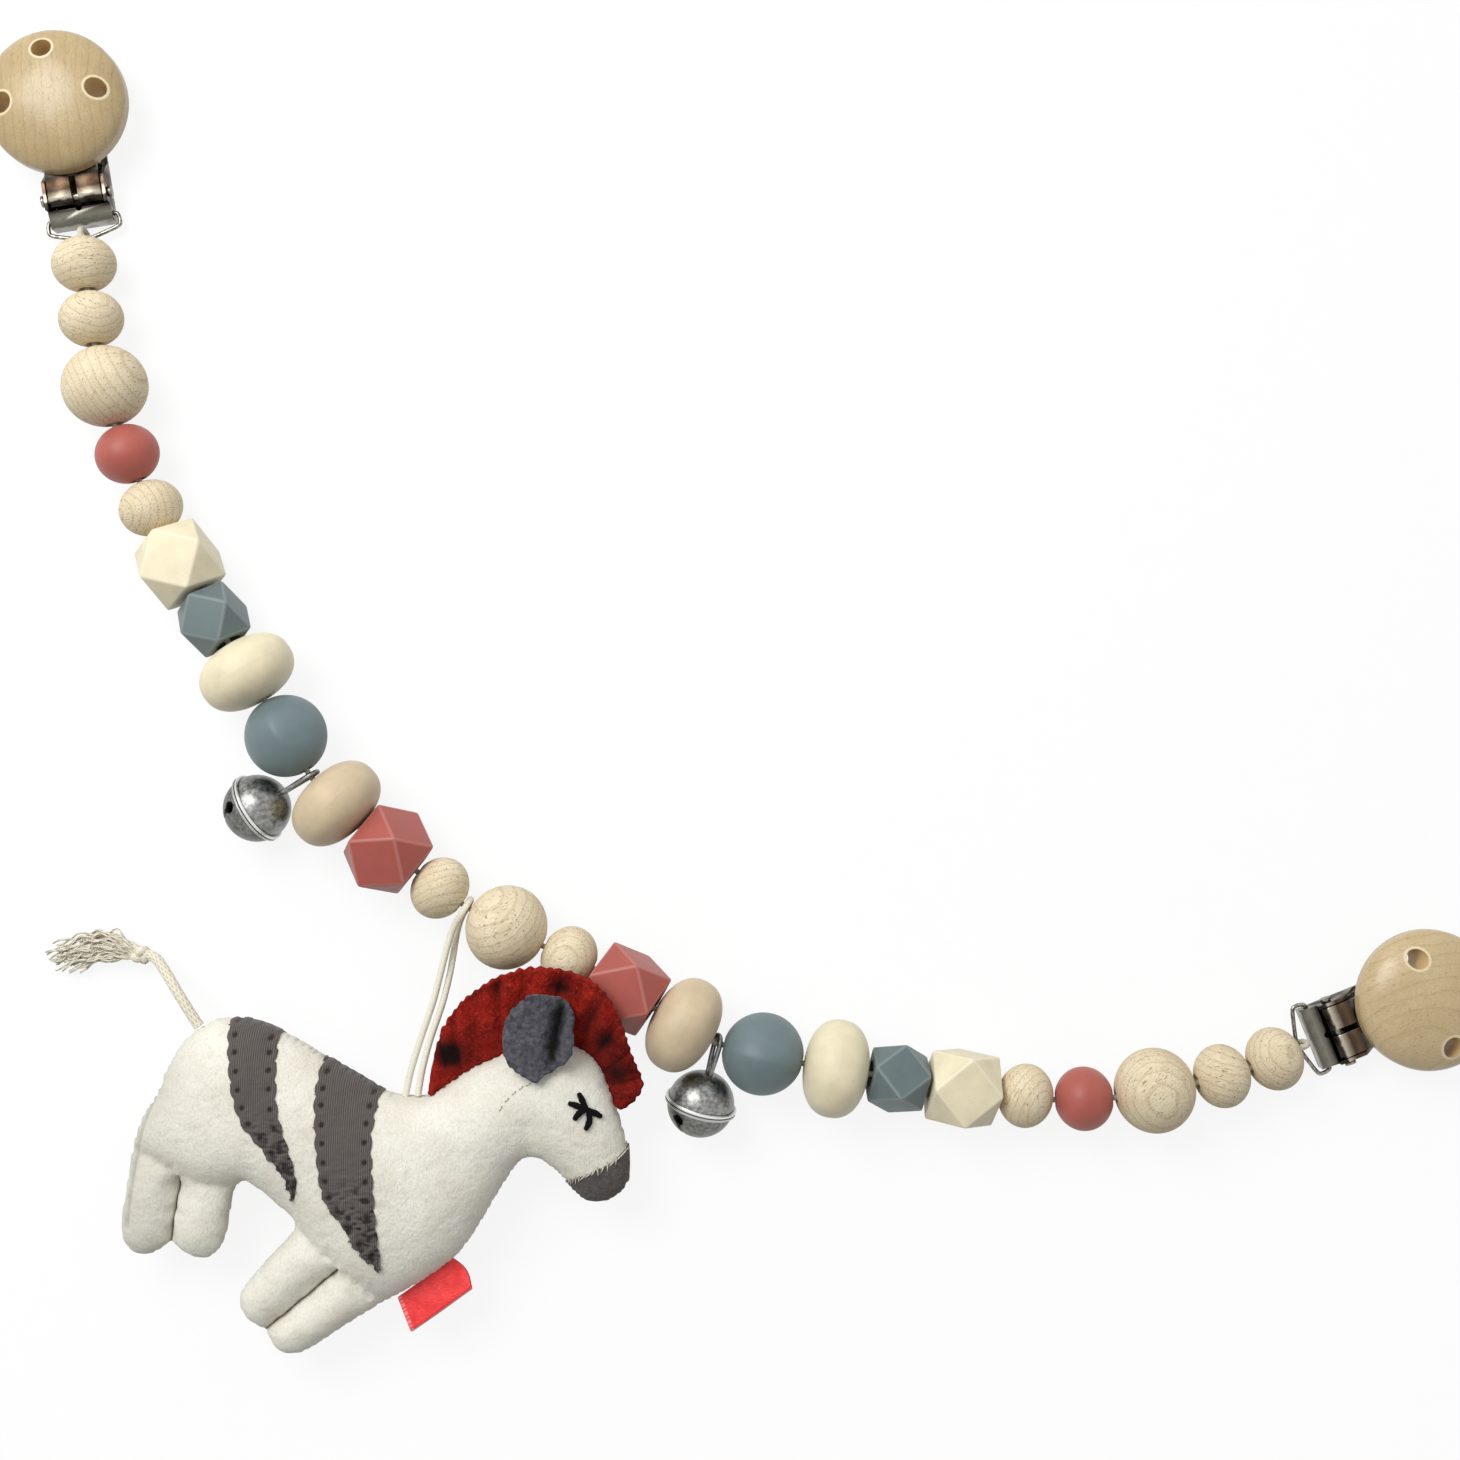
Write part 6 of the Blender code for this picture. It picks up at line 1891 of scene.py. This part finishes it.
def over_the_tip(side, bead_end):
    """Out of the last bead, down over the wire's tip, under it and up behind it."""
    place = clip_place(side)
    turn = (WIRE_DIAMETER + THREAD_DIAMETER) / 2 + TIE_CLEARANCE
    end = place.inverted() @ bead_end
    climb = end.z - WIRE_HEIGHT
    points = [
        (end.x + turn * 0.5, end.z - THREAD_TUCK),
        (-WIRE_TIP + turn * 0.75, end.z - climb * 0.22),
        (-WIRE_TIP + turn * 1.08, WIRE_HEIGHT + climb * 0.42),
    ]
    for angle in TIE_ANGLES:
        lean = radians(angle)
        points.append((-WIRE_TIP + turn * cos(lean), WIRE_HEIGHT + turn * sin(lean)))
    return [place @ Vector((x, 0, z)) for x, z in points]


def stretch(name, route, body, replaced=()):
    piece = cord_shape(name, route, THREAD_DIAMETER, twisted(3, 0.0034, 0.14), 0.0004, 16)
    return dress(piece, thread_cotton, body, replaced)


ends = [joint_place(f"{side}_bead_01_swing") for side in SIDES]
stretch("thread_middle", [ends[0], chain_middle, ends[1]], "middle", ["thread"])
for side in SIDES:
    hinges = [joint_place(f"{side}_bead_{count:02d}_swing") for count in range(1, 13)]
    for count, (start, end) in enumerate(zip(hinges, hinges[1:]), 1):
        on = (end - start).normalized() * THREAD_OVERLAP
        stretch(f"thread_{side}_{count:02d}", [start - on, end + on], f"{side}_bead_{count:02d}")
    last = box_middle(f"{side}_bead_12_small_wood")
    way = (last - hinges[-1]).normalized()
    bead_end = last + way * SMALL_WOOD_LENGTH / 2
    route = [hinges[-1] - way * THREAD_OVERLAP, last] + over_the_tip(side, bead_end)
    stretch(f"thread_{side}_12", route, f"{side}_bead_12")
print("stretches of thread: 25")

# %% [markdown]
# ## Clips
#
# Each clip is stamped from sheet and plated: a channel with two ears, a lever whose tongues curl
# round a riveted pin, a toothed plastic pad, and a loop of wire that the thread holds. The CAD
# shapes are right but their edges are sharp. Real sheet has a rolled edge that catches the light,
# so each CAD piece is copied, its loose triangles are merged, and a small bevel goes round its
# edges. The wire is made anew as a round tube along the same bends.

# %% Plated metal finish
# Painted light along a clip, by its distance from the pin: reflections, highlights, and painted shade in the dark
# gaps between the tongues and the strip.
CLIP_PAINTED_LIGHT = (
    (-7.0, (186, 182, 170)), (-6.3, (88, 86, 77)), (-4.4, (122, 120, 108)),
    (-3.3, (84, 80, 72)), (-2.9, (20, 15, 14)), (-0.9, (26, 19, 17)), (-0.4, (190, 182, 166)),
    (0.6, (138, 126, 106)), (1.6, (54, 34, 22)), (3.2, (82, 58, 38)), (4.6, (36, 20, 13)),
    (6.4, (120, 116, 106)), (7.6, (132, 128, 118)),
)
BANDS_FROM, BANDS_LONG = -8.0, 16.0


def metal_finish(name, bright, dark, roughness, grain, size=2.2, painted_light_bands=()):
    """Metal with cloudy tarnish and fine pits, and a painted highlight where a piece stores one. Bands are painted
    reflections, highlights and shade along a clip's polished parts.
    """
    material, tree = finish(name, roughness, 1.0)
    place = millimetres(tree)
    clouds = speckle(tree, place, size, 3, 0.5)
    pits = speckle(tree, place, 0.35, 3, 0.6)
    base = lay(tree, paint(*dark), clouds, (0.35, 0.0), (0.68, 1.0), bright)
    base = lay(tree, base, pits, (0.28, 0.6), (0.42, 0.0), dark)
    # A painted highlight where a piece stores one, as on the bells' raised rims.
    rubbed = stored(tree, "rubbed")
    base = mix(tree, rubbed, base, tone(bright, 1.4))
    if painted_light_bands:
        source = stored(tree, "clip_reach")
        wobble = times(tree, combine(tree, "SUBTRACT", clouds, 0.5), 0.07)
        source = combine(tree, "ADD", source, wobble)
        stops = [((reach - BANDS_FROM) / BANDS_LONG, paint(*colour)) for reach, colour in painted_light_bands]
        # The painted light covers most of the metal's own colour.
        base = mix(tree, 0.85, base, ramp(tree, source, *stops))
    colour_by(tree, base)
    roughness_by(tree, clouds, roughness, roughness + 0.12)
    relief(tree, (pits, grain, 0.4))
    return material


plated = ("plated_steel", (140, 136, 126), (96, 92, 84), 0.20, 0.006)
plated_steel = metal_finish(*plated, painted_light_bands=CLIP_PAINTED_LIGHT)
bright_wire = metal_finish("bright_wire", (170, 166, 156), (92, 88, 80), 0.22, 0.006, 0.8)
clear_plastic, tree = finish("jaw_plastic", 0.4, Coat_Weight=0.2)
cloud = speckle(tree, millimetres(tree), 1.8, 3)
colour_by(tree, ramp(tree, cloud, (0.3, paint(222, 218, 208)), (0.7, paint(240, 238, 230))))
relief(tree, (cloud, 0.03, 0.5))

# %% Sheet metal pieces
SHEET_BEVEL = 0.00016


def with_soft_edges(node_name, name, width):
    """A copy of a CAD node with merged triangles and small round edges."""
    piece = copy_of(bpy.data.objects[node_name], name)
    edit(piece)
    bpy.ops.mesh.remove_doubles(threshold=MERGE)
    bpy.ops.mesh.select_all(action="SELECT")
    bpy.ops.mesh.dissolve_limited(angle_limit=radians(1))
    done()
    modify(piece, "BEVEL", width=width, segments=2, limit_method="ANGLE", angle_limit=radians(35))
    return soft_shading(piece, 35)


CLIP_PIECES = (("frame", "clip", plated_steel, "chrome"), ("pin", "clip", bright_wire, "chrome"),
               ("pad", "clip", clear_plastic, "plastic"), ("lever", "lever", plated_steel, "chrome"))
for side in SIDES:
    for part, body, material, slot in CLIP_PIECES:
        node = f"{side}_clip_{part}"
        piece = with_soft_edges(node, f"{side}_{part}", SHEET_BEVEL)
        back = clip_place(side).inverted()
        reaches = [(back @ vertex.co).x / MM for vertex in piece.data.vertices]
        store_share(piece, "clip_reach", [(reach - BANDS_FROM) / BANDS_LONG for reach in reaches])
        dress(piece, material, f"{side}_{body}", [node])

# %% Wire loops
FRAME_WIDTH, SHEET = 0.0150, 0.0008
WIRE_TIP_WIDTH, WIRE_BULGE, METAL_CLEARANCE = 0.0046, 0.0012, 0.0003


def wire_loop(side):
    """Hooked into the ears, bowed out, and drawn in to the tip that the thread holds."""
    ear = FRAME_WIDTH / 2
    outside = ear + METAL_CLEARANCE + WIRE_DIAMETER / 2
    inside_ear = ear - SHEET - METAL_CLEARANCE
    run = WIRE_TIP - WIRE_PIVOT
    tip = WIRE_TIP_WIDTH / 2
    half = (
        (-WIRE_PIVOT, inside_ear),
        (-WIRE_PIVOT, outside - WIRE_DIAMETER / 4),
        (-WIRE_PIVOT - WIRE_DIAMETER * 0.6, outside + WIRE_BULGE / 6),
        (-WIRE_PIVOT - run * 0.34, outside + WIRE_BULGE / 3),
        (-WIRE_PIVOT - run * 0.60, outside),
        (-WIRE_PIVOT - run * 0.80, (outside + tip) / 2),
        (-WIRE_PIVOT - run * 0.94, tip * 1.15),
        (-WIRE_TIP, tip / 2),
    )
    route = [Vector((x, y, WIRE_HEIGHT)) for x, y in half]
    route += [Vector((x, -y, WIRE_HEIGHT)) for x, y in reversed(half)]
    return [clip_place(side) @ point for point in route]


def plain_round(angle, reached):
    return 1.0


for side in SIDES:
    wire = cord_shape(f"{side}_wire", wire_loop(side), WIRE_DIAMETER, plain_round, sides=16)
    dress(wire, bright_wire, f"{side}_wire", [f"{side}_clip_wire_loop"])
print("wire loops done")

# %% [markdown]
# ## Clip discs
#
# Each disc was turned from pale wood, domed, pierced by three vents so that a child can breathe
# through it, and varnished. The section is spun, the vents are cut with a Boolean, and a bevel
# rounds the rim and the mouths of the vents. They are drilled at a small slant, since from above
# only their walls can be seen. Varnish is the shader's coat. The bare wood inside the vents is
# browner, and round each mouth a pale ring is painted as a highlight. The left disc is painted a
# little darker than the right one, as painted shade, so each has a finish of its own.

# %% Disc shape
DISC_DIAMETER, DISC_THICKNESS, DISC_RIM = 0.0335, 0.0105, 0.0034
DISC_FOOT_ROUND = 0.0008
DISC_CENTRE = 0.0214
DISC_SEAT = PIN_HEIGHT + 0.0024
VENT_DIAMETER, VENT_RADIUS = 0.0048, 0.0112
VENT_ANGLES = (-90, 0, 90)
VENT_MOUTH, VENT_SLANT = 0.0087, 0.24
DISC_STEPS = 26


def vent_spot(angle):
    return Vector((cos(radians(angle)), sin(radians(angle)), 0)) * VENT_RADIUS


def clip_disc(name):
    radius = DISC_DIAMETER / 2
    outline = [(0, DISC_THICKNESS)]
    for step in range(1, DISC_STEPS + 1):
        angle = pi / 2 * step / DISC_STEPS
        dome = (DISC_THICKNESS - DISC_RIM) * cos(angle)
        outline.append((radius * sin(angle), DISC_RIM + dome))
    outline += [(radius, DISC_FOOT_ROUND * 2), (radius, DISC_FOOT_ROUND)]
    outline += [(radius - DISC_FOOT_ROUND, 0), (0, 0)]
    disc = spun(name, outline, 96)
    for angle in VENT_ANGLES:
        bpy.ops.mesh.primitive_cylinder_add(
            vertices=40, radius=VENT_DIAMETER / 2, depth=4 * DISC_THICKNESS, location=vent_spot(angle)
        )
        drill = bpy.context.object
        only(drill)
        bpy.ops.object.transform_apply(location=True, rotation=True, scale=True)
        for vertex in drill.data.vertices:
            vertex.co.x += VENT_SLANT * (vertex.co.z - VENT_MOUTH)
        subtract(disc, drill)
    modify(disc, "BEVEL", width=0.00035, segments=3, limit_method="ANGLE", angle_limit=radians(38))
    return soft_shading(disc, 40)


# %% Varnished wood
VARNISH = 0.45
# The left disc's wood is painted darker, as painted shade, and the right one's is kept as it is.
DISC_PAINTED_SHADE = {"left": (0.92, 0.905, 0.84), "right": (1.0, 1.0, 0.97)}


def vent_marks(tree, base):
    """Brown inside the vents and a painted highlight, a pale ring, round each mouth."""
    source = stored(tree, "disc_place", "Vector")
    flat = add(tree, "Mapping", {"Vector": source}, Scale=(1, 1, 0)).outputs["Vector"]
    nearest = None
    for angle in VENT_ANGLES:
        gap = add(tree, "VectorMath", {0: flat}, operation="DISTANCE")
        gap.inputs[1].default_value = vent_spot(angle) / MM
        value = gap.outputs["Value"]
        nearest = combine(tree, "MINIMUM", nearest, value) if nearest else value
    share = combine(tree, "DIVIDE", nearest, 5.0)
    # The pale ring is a painted highlight on the rounded mouth of each vent.
    ring = ramp(tree, share, (0.490, 0.0), (0.510, 0.8), (0.575, 0.6), (0.63, 0.0))
    base = mix(tree, ring, base, paint(238, 224, 188))
    walls = ramp(tree, share, (0.484, 1.0), (0.500, 0.0))
    coat = times(tree, combine(tree, "SUBTRACT", 1.0, walls), VARNISH)
    tree.links.new(coat, tree.nodes["Principled BSDF"].inputs["Coat Weight"])
    return mix(tree, walls, base, paint(212, 184, 134))


disc_master = clip_disc("disc")
DISC_WOOD = (209, 188, 149), (196, 173, 133), (150, 124, 86)
for count, side in enumerate(SIDES):
    pale, mid, dark = [
        [value * tone for value, tone in zip(colour, DISC_PAINTED_SHADE[side])] for colour in DISC_WOOD
    ]
    varnished_beech = wood_finish(
        f"varnished_beech_{side}", pale, mid, dark, 2.6, 0.22, 0.35,
        over=vent_marks, roughness=0.42, Coat_Roughness=0.24,
    )
    disc = copy_of(disc_master, f"{side}_disc")
    places = []
    for vertex in disc.data.vertices:
        x, y, z = vertex.co
        places.append(((x - VENT_SLANT * (z - VENT_MOUTH)) / MM, y / MM, z / MM))
    store_places(disc, "disc_place", places)
    store_grain(disc, 200 + count)
    disc.data.transform(clip_place(side) @ Matrix.Translation((DISC_CENTRE, 0, DISC_SEAT)))
    dress(disc, varnished_beech, f"{side}_lever", [f"{side}_clip_disc"])
print("disc faces:", len(disc_master.data.polygons))
bpy.data.objects.remove(disc_master, do_unlink=True)

# %% [markdown]
# ## Bells
#
# A crotal bell is two pressed cups, closed on each other with a raised rim, with a wire eyelet in
# the crown and a slot below that ends in two round holes. A loose pellet rings inside. The cups
# are hollow, so their section has both walls and is spun like a bead's. The slot is cut through
# the wall with Booleans, and its edges are rounded. The raised rim has a painted highlight, and
# the lower cup is painted a little darker than the crown, as painted shade.

# %% Bell shapes
BELL_DIAMETER, BELL_WALL = 0.0160, 0.0008
BELL_RIM_WIDTH, BELL_RIM_REACH = 0.00065, 0.00065
BELL_HANG = 0.0156
BELL_STEPS = 22
EYELET_WIRE, EYELET_HALF_WIDTH, EYELET_FOOT = 0.0012, 0.0020, 0.0011
SLOT_WIDTH, SLOT_HOLE, SLOT_SPREAD = 0.0013, 0.0030, 67
SLOT_TURNS, EYELET_TURNS = {1: 65, 2: 53}, {1: 0, 2: 18}
PELLET_DIAMETER = 0.0036


def half_shell(name, sign):
    """A hollow cup, from its pole round the raised rim and back inside."""
    outer, inner = BELL_DIAMETER / 2, BELL_DIAMETER / 2 - BELL_WALL
    gap = METAL_CLEARANCE / 2
    rim = gap + BELL_RIM_WIDTH
    outline = []
    for step in range(BELL_STEPS + 1):
        angle = pi / 2 + (asin(rim / outer) - pi / 2) * step / BELL_STEPS
        outline.append((outer * cos(angle), outer * sin(angle)))
    lip = BELL_RIM_REACH
    outline += [(outer + lip * 0.7, rim), (outer + lip, rim - lip * 0.35), (outer + lip, gap)]
    for step in range(BELL_STEPS + 1):
        angle = asin(gap / inner) + (pi / 2 - asin(gap / inner)) * step / BELL_STEPS
        outline.append((inner * cos(angle), inner * sin(angle)))
    outline[0], outline[-1] = (0, outer), (0, inner)
    shell = spun(name, [(radius, sign * height) for radius, height in outline], 72)
    reaches = [vertex.co.xy.length for vertex in shell.data.vertices]
    # The raised rim is marked for a painted highlight.
    store_share(shell, "rubbed", [0.9 if reach > outer + lip * 0.4 else 0.0 for reach in reaches])
    return shell


def bell_eyelet(name):
    """The wire eyelet, with the thread at the origin and the crown below it."""
    foot_height = -BELL_HANG + BELL_DIAMETER / 2 - BELL_WALL / 2
    wide = EYELET_HALF_WIDTH
    leg = [(EYELET_FOOT, foot_height), ((EYELET_FOOT + wide) / 2, (foot_height - wide) / 2)]
    leg.append((wide, -wide / 2))
    top = [(wide * cos(radians(angle)), wide * sin(radians(angle))) for angle in range(15, 166, 30)]
    route = leg + top + [(-y, z) for y, z in reversed(leg)]
    places = [Vector((0, y, z)) for y, z in route]
    return cord_shape(name, places, EYELET_WIRE, plain_round, 0.0003, 16)


def cut_slot(shell, slot_turn):
    """The slot right across the lower cup, with a round hole at each end."""
    reach = BELL_DIAMETER / 2
    spread = radians(SLOT_SPREAD)
    cutters = []
    bpy.ops.mesh.primitive_cube_add(size=1, location=(0, 0, 0))
    bar = bpy.context.object
    bar.data.transform(Matrix.Diagonal((2 * reach * sin(spread), SLOT_WIDTH, reach, 1)))
    bar.data.transform(Matrix.Translation((0, 0, -reach * (cos(spread) + 0.5))))
    cutters.append(bar)
    for sign in (-1, 1):
        lean = Matrix.Rotation(sign * (pi - spread), 4, "Y")
        bpy.ops.mesh.primitive_cylinder_add(vertices=32, radius=SLOT_HOLE / 2, depth=reach)
        hole = bpy.context.object
        hole.data.transform(lean @ Matrix.Translation((0, 0, reach)))
        cutters.append(hole)
    for cutter in cutters:
        cutter.data.transform(Matrix.Rotation(radians(slot_turn), 4, "Z"))
        subtract(shell, cutter)
    modify(shell, "BEVEL", width=0.00012, segments=2, limit_method="ANGLE", angle_limit=radians(50))
    return soft_shading(shell, 45)


# %% Bells in place
aged_silver = metal_finish("aged_silver", (164, 165, 163), (112, 112, 108), 0.30, 0.02, 0.9)
# A darker copy of the silver, as painted shade on the lower cup.
dull_silver = metal_finish("dull_silver", (134, 135, 131), (92, 92, 88), 0.34, 0.02, 0.9)


def bell_place(number):
    """The bell's own frame: the thread at its origin, Z up the bell, and Y above it."""
    along = Vector(joints[f"bell_{number}_pellet_slide"]["axis"]).normalized()
    above = (Vector((0, 0, 1)) - along * along.z).normalized()
    turn_to = Matrix((above.cross(along), above, along)).transposed().to_4x4()
    return Matrix.Translation(joint_place(f"bell_{number}_swing")) @ turn_to


for number in (1, 2):
    place = bell_place(number)
    hang = Matrix.Translation((0, 0, -BELL_HANG))
    crown = half_shell(f"bell_{number}_crown", 1)
    crown.data.transform(hang)
    eyelet = bell_eyelet("eyelet")
    eyelet.data.transform(Matrix.Rotation(radians(EYELET_TURNS[number]), 4, "Z"))
    crown = joined(f"bell_{number}_crown", [crown, eyelet])
    cup = cut_slot(half_shell(f"bell_{number}_cup", -1), SLOT_TURNS[number])
    cup.data.transform(hang)
    bpy.ops.mesh.primitive_uv_sphere_add(segments=24, ring_count=12, radius=PELLET_DIAMETER / 2)
    pellet = bpy.context.object
    pellet.name = pellet.data.name = f"bell_{number}_ball"
    pellet.data.transform(Matrix.Translation(box_middle(f"bell_{number}_pellet")))
    only(pellet)
    bpy.ops.object.shade_smooth()
    for piece, part, silver in ((crown, "upper", aged_silver), (cup, "lower", dull_silver)):
        piece.data.transform(place)
        soft_shading(piece, 45)
        dress(piece, silver, f"bell_{number}", [f"bell_{number}_{part}_shell"])
    dress(pellet, aged_silver, f"bell_{number}_pellet", [f"bell_{number}_pellet"])

# %% [markdown]
# ## What is soft
#
# Whoever reuses the toy has to know which pieces bend: the free cords and the sheets of cloth. Their
# flat sizes could be read off the photograph, but cloth that is folded or gathered covers less of
# it. So the label's length is measured round its fold, and the mane's along its free edge.


print("scene built")
